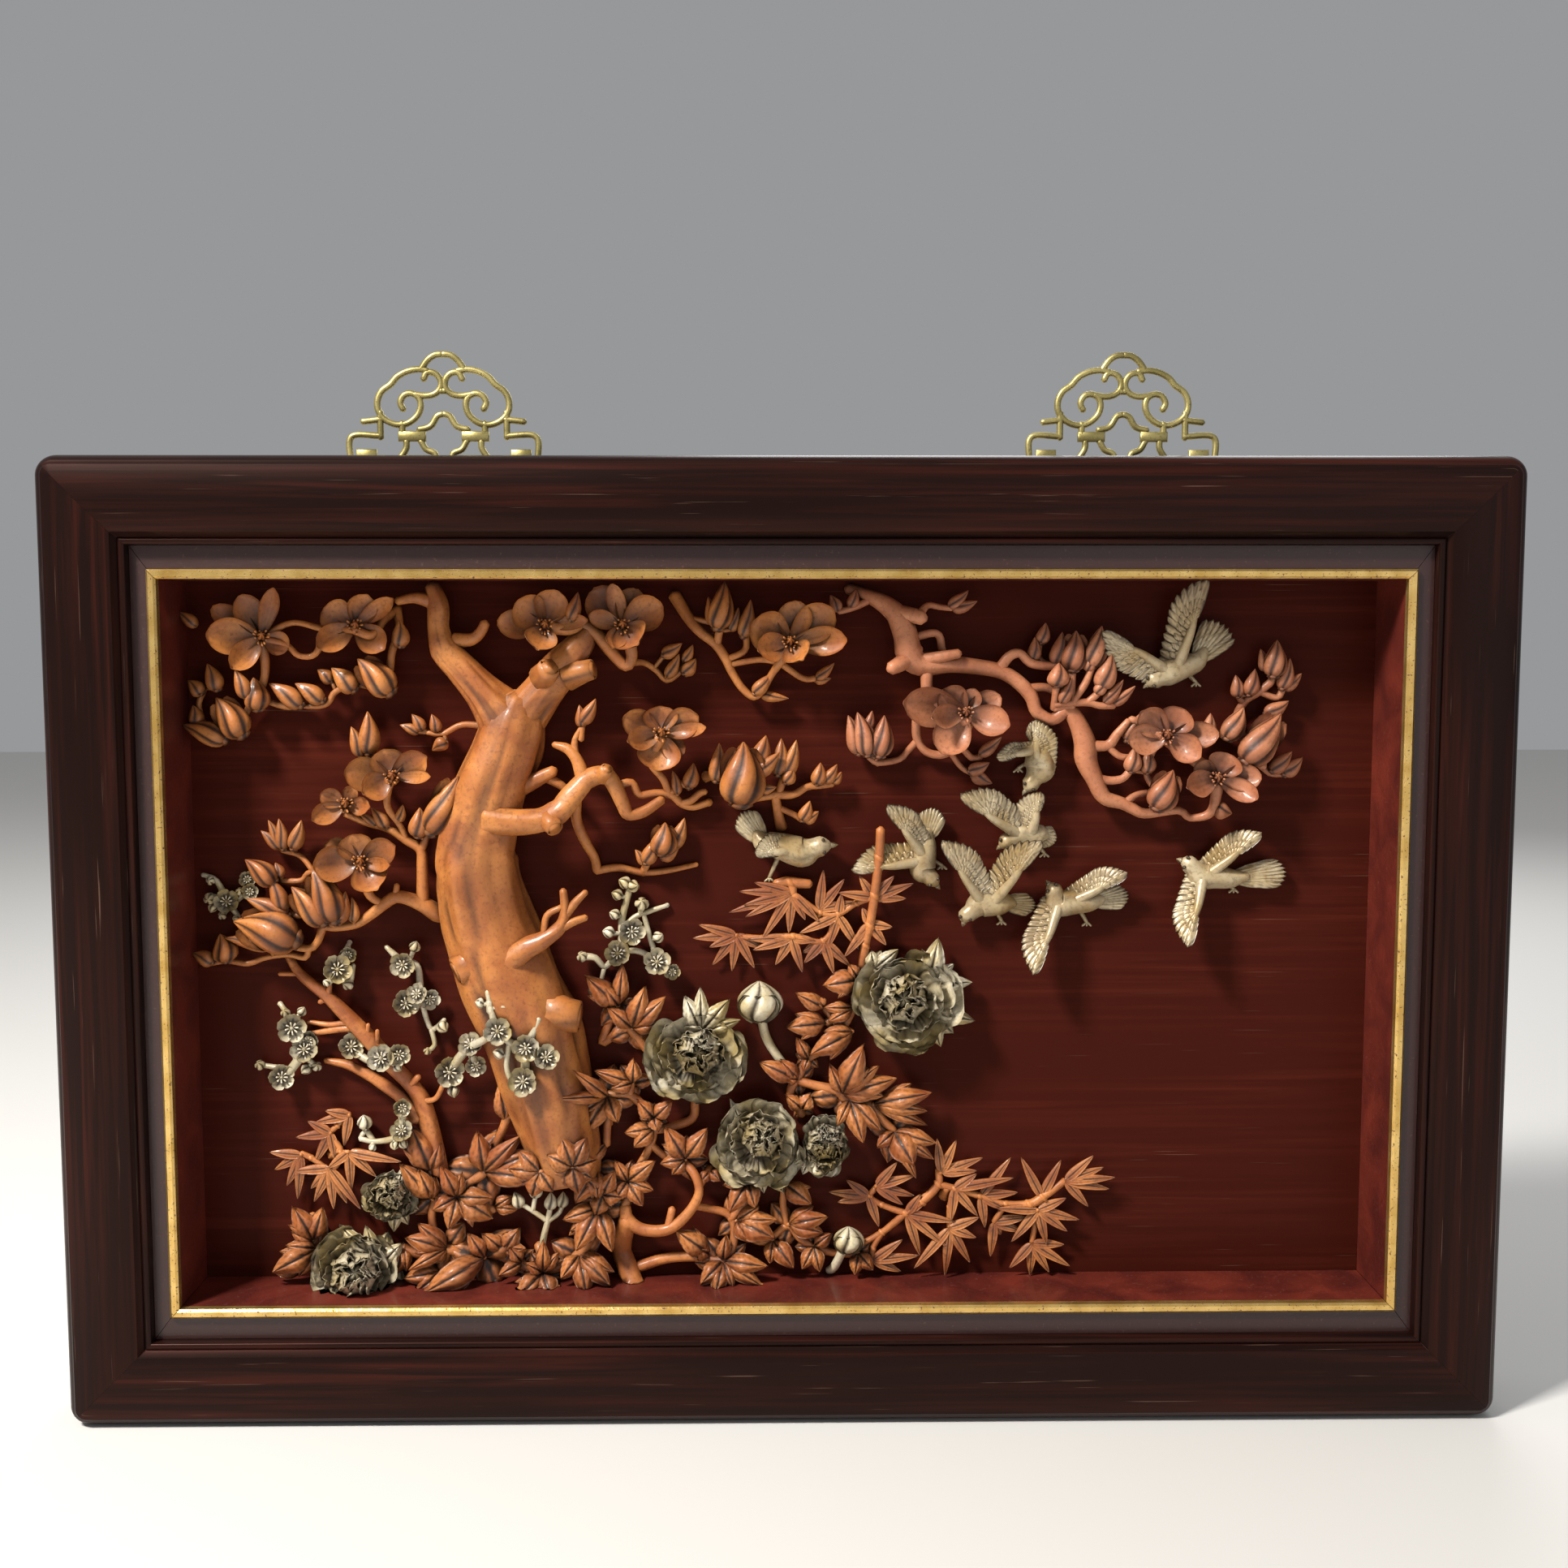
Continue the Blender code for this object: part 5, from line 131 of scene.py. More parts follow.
MAGNOLIA_SPRAYS = {
    "magnolia_spray_top_left": {
        "twigs": (
            ((-252, 213, 1, 3), (-262, 206, 12, 3), (-270, 196, 20, 3), (-282, 200, 22, 3)),
            ((-282, 200, 20, 3), (-300, 200, 16, 2.4), (-322, 204, 14, 2), (-342, 194, 18, 3)),
            ((-300, 192, 16, 2), (-307, 184, 16, 2), (-318, 183, 16, 2), (-326, 190, 16, 2),
             (-342, 194, 18, 3)),
            ((-345, 190, 18, 3), (-340, 178, 14, 3), (-342, 164, 12, 2.6), (-350, 152, 10, 2.4),
             (-356, 140, 8, 2)),
            ((-318, 151, 10, 2), (-308, 150, 11, 2), (-300, 152, 12, 2), (-294, 160, 12, 2),
             (-280, 164, 12, 2.2), (-262, 164, 10, 3), (-257, 185, 10, 2.6), (-252, 200, 8, 2.6),
             (-253, 213, 3, 3)),
            ((-340, 152, 10, 2), (-328, 150, 10, 2), (-318, 151, 10, 2)),
            ((-356, 140, 8, 2), (-366, 134, 8, 2), (-378, 134, 8, 2), (-384, 150, 8, 2), (-380, 162, 8, 2)),
        ),
        "buds": (
            (-383, 202, -397, 211, 7, 12), (-371, 160, -378, 178, 10, 13), (-381, 158, -391, 167, 9, 12),
            (-355, 130, -373, 156, 17, 16), (-366, 128, -396, 138, 13, 14), (-385, 138, -388, 151, 9, 11),
            (-345, 147, -348, 169, 14, 17), (-316, 150, -338, 165, 11, 15), (-302, 153, -321, 165, 10, 15),
            (-281, 160, -297, 175, 12, 16), (-257, 158, -280, 181, 17, 18), (-251, 188, -252, 206, 10, 16),
            (-352, 155, -360, 174, 9, 20), (-296, 166, -306, 174, 8, 10),
        ),
        "flowers": (
            ((-342, 195, 20), ((-378, 196, 21, 34), (-374, 214, 15, 22), (-355, 222, 17, 24),
                               (-333, 226, 11, 34), (-362, 175, 15, 36), (-324, 188, 14, 18))),
            ((-281, 202, 20), ((-302, 212, 21, 24), (-272, 222, 17, 26), (-306, 189, 16, 36),
                               (-256, 219, 11, 34), (-262, 187, 17, 26), (-292, 216, 11, 18))),
        ),
    },
    "magnolia_bough_left": {
        "twigs": (
            ((-222, 15, 3, 7), (-231, 15, 10, 6.4), (-240, 20, 14, 5.6), (-250, 24, 15, 4.6),
             (-258, 25, 15, 4.2), (-266, 20, 15, 3.8), (-275, 13, 15, 3.4), (-285, 7, 14, 3),
             (-298, 5, 13, 2.8), (-306, 5, 12, 2.8), (-310, -4, 11, 2.6), (-316, -9, 10, 2.6),
             (-330, -7, 10, 2.4)),
            ((-240, 20, 14, 4.6), (-240, 32, 15, 4), (-240, 45, 16, 3.6), (-241, 56, 16, 3.2),
             (-250, 62, 16, 2.8), (-262, 70, 15, 2.6), (-276, 74, 15, 2.4), (-290, 80, 16, 2.4)),
            ((-241, 55, 16, 2.8), (-237, 64, 17, 2.4), (-235, 72, 18, 2.4)),
            ((-250, 62, 16, 2.2), (-254, 72, 17, 2), (-262, 84, 18, 2.2), (-262, 96, 20, 3),
             (-260, 103, 22, 4)),
            ((-262, 96, 20, 2.4), (-272, 108, 14, 2.4), (-277, 120, 10, 2.4)),
            ((-258, 25, 15, 2.6), (-257, 33, 17, 1.8)),
            ((-266, 20, 15, 2.4), (-275, 26, 17, 3), (-278, 38, 20, 4), (-281, 48, 22, 4)),
            ((-298, 5, 13, 2.6), (-304, 12, 15, 2.6), (-312, 15, 14, 2.4), (-325, 13, 12, 2.2),
             (-334, 20, 11, 2.2), (-340, 34, 10, 2.2)),
            ((-291, 40, 18, 2), (-312, 42, 12, 2), (-320, 36, 10, 2), (-334, 36, 9, 2.2)),
            ((-312, 45, 12, 1.8), (-320, 52, 9, 1.8), (-332, 56, 9, 1.8)),
            ((-316, -9, 10, 2.2), (-319, -15, 9, 2.2), (-330, -13, 9, 2), (-345, -15, 9, 2),
             (-357, -19, 9, 2), (-370, -17, 9, 2), (-383, -19, 9, 1.8)),
        ),
        "buds": (
            (-278, 117, -285, 137, 9, 12), (-273, 118, -274, 147, 12, 14), (-235, 66, -215, 105, 17, 22),
            (-242, 64, -241, 84, 12, 20), (-232, 66, -216, 80, 8, 20), (-262, 70, -273, 84, 8, 16),
            (-268, 72, -281, 80, 6, 15), (-255, 74, -252, 86, 6, 16), (-331, 56, -334, 77, 8, 11),
            (-325, 56, -319, 76, 9, 12), (-333, 57, -346, 69, 7, 10), (-332, 57, -341, 76, 7, 10),
            (-322, -4, -366, 9, 23, 20), (-340, -8, -372, -2, 9, 16), (-304, 7, -327, 32, 16, 22),
            (-297, 8, -313, 44, 17, 24), (-297, 7, -291, 29, 10, 22), (-286, 8, -287, 25, 7, 18),
            (-331, 15, -341, 38, 10, 15), (-328, 12, -357, 24, 11, 14), (-337, 34, -357, 50, 13, 14),
            (-333, 38, -337, 48, 7, 11), (-370, -18, -375, 1, 14, 14), (-379, -18, -394, -12, 9, 12),
        ),
        "flowers": (
            ((-259, 104, 22), ((-290, 107, 20, 30), (-264, 122, 20, 24), (-236, 117, 17, 30),
                               (-234, 104, 8, 34), (-278, 93, 17, 36))),
            ((-290, 86, 18), ((-312, 76, 13, 30), (-306, 93, 12, 22), (-274, 84, 11, 28),
                              (-284, 98, 9, 20))),
            ((-281, 48, 22), ((-312, 46, 21, 34), (-287, 66, 20, 22), (-258, 59, 17, 26), (-270, 30, 22, 34),
                              (-304, 60, 16, 20), (-262, 46, 9, 38))),
        ),
    },
    "magnolia_spray_top": {
        "twigs": (
            ((-132, 205, 18, 4), (-140, 200, 22, 4), (-156, 202, 24, 5)),
            ((-132, 204, 18, 4), (-122, 196, 18, 4.4), (-114, 186, 18, 4.2), (-104, 176, 19, 3.6),
             (-100, 182, 21, 3.6), (-102, 195, 24, 5)),
            ((-101, 178, 17, 2.6), (-92, 178, 10, 2), (-84, 173, 5, 2), (-77, 167, 3, 2), (-68, 173, 4, 2),
             (-64, 180, 5, 2)),
        ),
        "buds": (
            (-140, 205, -135, 224, 8, 28), (-80, 182, -67, 191, 8, 8), (-77, 168, -69, 184, 7, 9),
            (-66, 170, -58, 181, 8, 8), (-66, 178, -60, 190, 6, 7),
        ),
        "flowers": (
            ((-157, 202, 26), ((-175, 218, 21, 30), (-188, 204, 17, 26), (-162, 187, 19, 42),
                               (-149, 225, 20, 28), (-129, 206, 9, 34))),
            ((-106, 202, 26), ((-126, 225, 22, 20), (-128, 209, 11, 32), (-113, 229, 11, 28),
                               (-80, 216, 21, 26), (-96, 190, 22, 40), (-113, 188, 12, 38),
                               (-97, 226, 17, 18))),
        ),
    },
    "magnolia_spray_top_centre": {
        "twigs": (
            ((-72, 222, 3, 4), (-62, 206, 8, 3.6), (-55, 198, 12, 3.4), (-45, 190, 14, 3.2),
             (-38, 180, 15, 3.2), (-35, 173, 14, 2.8), (-28, 162, 13, 2.6), (-20, 156, 12, 2.4),
             (-14, 161, 12, 2.4), (-8, 171, 14, 2.4), (-3, 178, 18, 3), (4, 188, 22, 5)),
            ((-43, 190, 14, 2.6), (-42, 202, 16, 2.6)),
            ((-62, 207, 8, 2), (-52, 205, 11, 2), (-46, 204, 13, 2)),
            ((-38, 180, 14, 2.4), (-26, 186, 13, 2.2), (-25, 196, 13, 2.2)),
            ((-34, 178, 14, 2), (-16, 180, 14, 2), (-3, 178, 16, 2)),
            ((4, 178, 14, 2.2), (12, 168, 10, 2), (22, 168, 9, 2)),
        ),
        "buds": (
            (-44, 199, -39, 231, 14, 18), (-46, 202, -50, 221, 8, 14), (-27, 194, -22, 219, 9, 14),
            (-35, 198, -30, 214, 7, 12), (-20, 157, -9, 171, 8, 13), (-16, 157, 3, 155, 6, 10),
            (21, 167, 33, 178, 6, 10), (20, 166, 31, 168, 5, 9),
        ),
        "flowers": (
            ((4, 191, 24), ((-21, 204, 24, 30), (9, 218, 20, 24), (32, 213, 22, 28), (41, 193, 17, 34),
                            (-17, 186, 17, 36), (12, 180, 18, 40))),
        ),
    },
    "magnolia_spray_middle": {
        "twigs": (
            ((-110, 98, 19, 3), (-101, 100, 18, 2.6), (-96, 92, 16, 2.6), (-86, 93, 14, 2.6),
             (-75, 92, 12, 2.8), (-68, 86, 10, 2.6), (-60, 84, 9, 2.4), (-50, 87, 8, 2.4)),
            ((-68, 87, 10, 2.4), (-62, 88, 11, 2.4), (-56, 93, 11, 2.4), (-52, 94, 11, 2)),
            ((-76, 92, 13, 2.4), (-80, 102, 16, 2.4), (-88, 112, 18, 2.4), (-86, 120, 20, 4),
             (-82, 130, 23, 5)),
            ((-76, 92, 12, 2.6), (-68, 99, 12, 2.6), (-62, 97, 12, 2.6)),
        ),
        "buds": ((-63, 96, -60, 113, 9, 14), (-70, 92, -74, 108, 6, 13)),
        "flowers": (
            ((-81, 132, 24), ((-106, 143, 17, 28), (-103, 127, 14, 38), (-82, 150, 20, 24),
                              (-57, 144, 18, 30), (-52, 136, 9, 34), (-84, 108, 25, 30),
                              (-68, 116, 14, 24))),
        ),
    },
    "magnolia_spray_centre": {
        "twigs": (
            ((-52, 104, 2, 4), (-46, 104, 7, 3), (-36, 98, 10, 3), (-30, 88, 11, 3.4), (-20, 90, 12, 3),
             (-6, 92, 12, 3), (6, 92, 11, 2.6), (15, 97, 10, 2.4), (24, 98, 9, 2.4), (32, 99, 9, 2.2)),
            ((-6, 92, 12, 3), (-4, 80, 6, 3.4), (-2, 70, 1, 4)),
            ((-3, 84, 8, 2), (6, 79, 8, 2), (12, 75, 8, 2)),
            ((-16, 90, 12, 2.6), (-20, 98, 13, 2.6), (-17, 108, 13, 2.6)),
            ((-4, 92, 11, 2.6), (0, 104, 11, 2.6)),
        ),
        "buds": (
            (-29, 84, -27, 127, 25, 26), (-45, 100, -43, 126, 10, 14), (-19, 108, -12, 131, 12, 18),
            (-19, 104, -3, 120, 9, 22), (-4, 104, -2, 129, 10, 14), (1, 103, 8, 128, 9, 14),
            (1, 99, 6, 110, 8, 16), (22, 98, 24, 113, 9, 12), (27, 99, 35, 112, 7, 11),
            (32, 99, 38, 107, 6, 10), (12, 74, 17, 88, 8, 11), (13, 74, 23, 81, 7, 10),
            (-16, 95, -5, 97, 6, 16),
        ),
        "flowers": (),
    },
    "magnolia_bough_right": {
        "twigs": (
            ((42, 226, 3, 4), (58, 220, 9, 5), (72, 211, 13, 7), (79, 197, 15, 8), (82, 184, 16, 9),
             (90, 177, 16, 7.5), (110, 177, 16, 5.5), (130, 175, 15, 5), (144, 172, 14, 4.8),
             (155, 165, 14, 4.8), (163, 156, 14, 4.6), (167, 146, 14, 4.2), (177, 141, 14, 4.2),
             (187, 147, 14, 4.8), (194, 139, 14, 6), (199, 126, 14, 7), (200, 114, 14, 7),
             (206, 101, 14, 5.6), (212, 90, 13, 5), (224, 86, 12, 4), (232, 82, 12, 3.6), (240, 79, 12, 3.2),
             (262, 81, 12, 2.6), (270, 76, 14, 2.4), (284, 80, 18, 3), (288, 98, 21, 4)),
            ((72, 211, 14, 5.5), (82, 209, 17, 5.2), (91, 207, 20, 4.8)),
            ((84, 182, 17, 6), (76, 177, 22, 5), (70, 174, 25, 4)),
            ((90, 181, 18, 5), (104, 182, 21, 3.8), (115, 184, 23, 3)),
            ((141, 173, 14, 4), (148, 182, 15, 3.4), (155, 184, 15, 3), (162, 178, 14, 3),
             (172, 176, 13, 2.8), (182, 176, 13, 2.8)),
            ((160, 162, 14, 3.2), (172, 162, 12, 2.8), (182, 157, 12, 2.8), (188, 148, 13, 3)),
            ((92, 196, 14, 3), (100, 197, 10, 2.6), (104, 186, 8, 2.6), (107, 180, 10, 2.6)),
            ((203, 124, 14, 4), (214, 124, 15, 3.4), (220, 131, 16, 3), (228, 140, 17, 2.4)),
            ((214, 124, 15, 2.8), (222, 117, 15, 2.4), (232, 116, 15, 2.2)),
            ((206, 104, 14, 3.8), (214, 101, 14, 3), (224, 102, 15, 2.6), (229, 107, 16, 2.4)),
            ((226, 86, 12, 2.8), (233, 91, 11, 2.4), (242, 93, 10, 2.2)),
            ((94, 172, 16, 4.4), (94, 162, 18, 4), (96, 152, 20, 4.4)),
            ((58, 220, 9, 3), (46, 214, 10, 2.2), (36, 211, 10, 2)),
            ((88, 207, 18, 3.4), (94, 215, 14, 2.2), (102, 214, 12, 2), (110, 213, 12, 1.8)),
        ),
        "buds": (
            (36, 211, 30, 222, 7, 10), (44, 213, 47, 226, 7, 10), (108, 213, 121, 225, 7, 12),
            (110, 212, 127, 218, 7, 12), (286, 82, 298, 79, 10, 18),
        ),
        "flowers": (),
    },
    "magnolia_spray_right_hanging": {
        "twigs": (
            ((88, 148, 18, 3), (87, 138, 14, 2.8), (88, 128, 10, 2.8), (94, 120, 8, 2.8), (104, 118, 8, 3),
             (112, 124, 12, 4), (118, 134, 18, 5), (120, 143, 24, 6)),
            ((88, 128, 8, 2.4), (82, 121, 6, 2.2), (76, 115, 5, 2.2), (62, 113, 4, 2.4), (56, 117, 5, 2.4)),
            ((112, 118, 8, 2), (117, 110, 5, 2), (124, 106, 5, 2)),
            ((122, 124, 10, 2), (124, 116, 7, 2.4), (130, 117, 6, 2.4)),
            ((88, 148, 18, 3), (96, 152, 21, 4), (108, 148, 22, 5)),
        ),
        "buds": (
            (50, 118, 42, 144, 11, 12), (56, 117, 48, 146, 13, 14), (60, 116, 56, 130, 8, 12),
            (63, 116, 66, 144, 13, 14), (53, 119, 42, 127, 8, 9), (54, 131, 58, 147, 7, 8),
            (122, 106, 136, 113, 8, 9), (124, 105, 138, 99, 8, 8), (129, 117, 144, 130, 7, 9),
        ),
        "flowers": (
            ((120, 145, 26), ((79, 152, 23, 36), (104, 160, 19, 28), (126, 161, 12, 28), (143, 156, 15, 28),
                              (149, 137, 18, 40), (98, 142, 14, 44), (104, 119, 22, 34))),
        ),
    },
    "magnolia_spray_right_buds": {
        "twigs": (
            ((178, 148, 16, 2.6), (179, 156, 20, 2.6), (180, 164, 22, 3)),
            ((191, 150, 17, 2.8), (200, 152, 18, 2.6), (208, 150, 18, 2.4), (218, 150, 17, 2.2)),
            ((191, 150, 17, 2.8), (193, 156, 18, 2.6), (199, 165, 18, 2.6), (203, 175, 18, 2.6)),
            ((200, 152, 18, 2.4), (206, 157, 19, 2.4), (209, 162, 20, 2.4)),
            ((191, 152, 17, 2.6), (190, 162, 16, 2.6), (190, 174, 15, 2.8)),
            ((190, 166, 14, 2), (180, 174, 10, 2.2), (168, 180, 8, 2.4), (168, 190, 8, 2)),
            ((178, 148, 16, 2.6), (185, 149, 16, 2.8), (191, 150, 17, 2.8)),
        ),
        "buds": (
            (169, 190, 172, 204, 8, 9), (164, 178, 165, 195, 8, 10), (179, 176, 183, 198, 10, 13),
            (190, 172, 192, 199, 15, 16), (202, 174, 209, 202, 13, 17), (200, 172, 203, 184, 7, 18),
            (209, 160, 216, 184, 12, 19), (180, 162, 181, 178, 12, 24), (183, 151, 190, 169, 7, 22),
            (211, 151, 224, 167, 7, 18), (217, 150, 232, 163, 6, 17), (206, 157, 213, 168, 7, 20),
        ),
        "flowers": (),
    },
    "magnolia_spray_right_open": {
        "twigs": (
            ((229, 141, 17, 2.4), (238, 138, 18, 2.8), (250, 130, 22, 4)),
            ((250, 130, 20, 4), (266, 118, 16, 4), (282, 108, 18, 4.4)),
            ((240, 118, 12, 2.4), (246, 124, 15, 3), (252, 129, 18, 4)),
            ((266, 118, 14, 2.6), (272, 128, 10, 2.6), (283, 132, 8, 2.6), (294, 130, 8, 2.6)),
            ((240, 118, 12, 2), (240, 106, 12, 2), (248, 92, 14, 2.6), (246, 84, 15, 2.4)),
            ((282, 108, 18, 4), (292, 104, 16, 3.6), (304, 114, 16, 3)),
            ((262, 118, 6, 4), (262, 118, 1, 5)),
        ),
        "buds": (
            (241, 105, 241, 121, 9, 14), (230, 106, 232, 123, 10, 17), (247, 81, 258, 108, 17, 20),
            (305, 111, 329, 145, 19, 22), (293, 127, 304, 149, 13, 16), (280, 128, 282, 145, 9, 9),
            (226, 126, 238, 147, 9, 14),
        ),
        "flowers": (
            ((254, 130, 24), ((236, 146, 18, 26), (264, 148, 20, 24), (288, 131, 16, 30), (228, 126, 18, 30),
                              (276, 116, 17, 38))),
            ((288, 102, 24), ((296, 118, 20, 24), (317, 103, 16, 30), (315, 89, 13, 36), (268, 96, 16, 38),
                              (272, 110, 14, 24))),
        ),
    },
    "magnolia_spray_right_end": {
        "twigs": (
            ((318, 110, 14, 3), (309, 118, 6, 3), (300, 140, 2, 3), (304, 152, 5, 2.6), (314, 159, 9, 2.6),
             (322, 166, 11, 2.6), (323, 172, 12, 2.6)),
            ((314, 159, 9, 2.2), (326, 155, 9, 2.2), (330, 162, 10, 2.2)),
            ((306, 124, 4, 2.6), (318, 136, 6, 2.4), (322, 144, 7, 2.4)),
            ((312, 112, 7, 2.4), (322, 106, 7, 2.4), (332, 105, 7, 2.2)),
            ((304, 152, 5, 2.2), (300, 156, 6, 2.2), (307, 158, 7, 2.2)),
        ),
        "buds": (
            (318, 143, 334, 153, 9, 10), (323, 168, 325, 193, 13, 15), (329, 160, 334, 181, 9, 13),
            (330, 160, 342, 171, 7, 11), (307, 156, 311, 174, 9, 10), (300, 155, 298, 170, 8, 8),
            (323, 106, 337, 120, 9, 11), (331, 104, 344, 116, 9, 10), (318, 172, 314, 187, 7, 10),
        ),
        "flowers": (),
    },
}
PLUM_LIMBS = (
    ((-330, -14, 4, 2.4), (-324, -24, 6, 3), (-316, -32, 8, 3.6), (-305, -41, 9, 4.4), (-295, -51, 10, 5),
     (-284, -63, 10, 5.4), (-272, -76, 10, 5.4), (-262, -88, 9, 5), (-252, -98, 9, 5), (-244, -109, 9, 5.6),
     (-240, -122, 9, 6), (-236, -140, 9, 6), (-232, -160, 8, 6)),
    ((-307, -84, 4, 1.8), (-292, -87, 6, 3), (-278, -94, 8, 3.6), (-266, -102, 9, 4), (-256, -110, 9, 4.2),
     (-247, -124, 9, 5)),
    ((-283, -62, 10, 2.4), (-292, -59, 9, 2), (-304, -60, 7, 1.8), (-318, -58, 5, 1.5)),
    ((-284, -62, 10, 2.4), (-297, -63, 9, 2.2), (-316, -66, 7, 1.6)),
    ((-322, -26, 6, 1.8), (-336, -26, 6, 1.6)),
    ((-304, -42, 9, 2), (-303, -33, 12, 1.6)),
    ((-304, -42, 9, 2), (-310, -45, 9, 1.6)),
    ((-279, -70, 12, 1.8), (-278, -60, 13, 1.4)),
    ((-272, -76, 12, 2), (-272, -64, 14, 1.4)),
    ((-242, -112, 12, 2), (-234, -110, 15, 1.8), (-229, -101, 16, 1.6)),
    ((-250, -100, 12, 2.4), (-245, -95, 13, 2)),
)
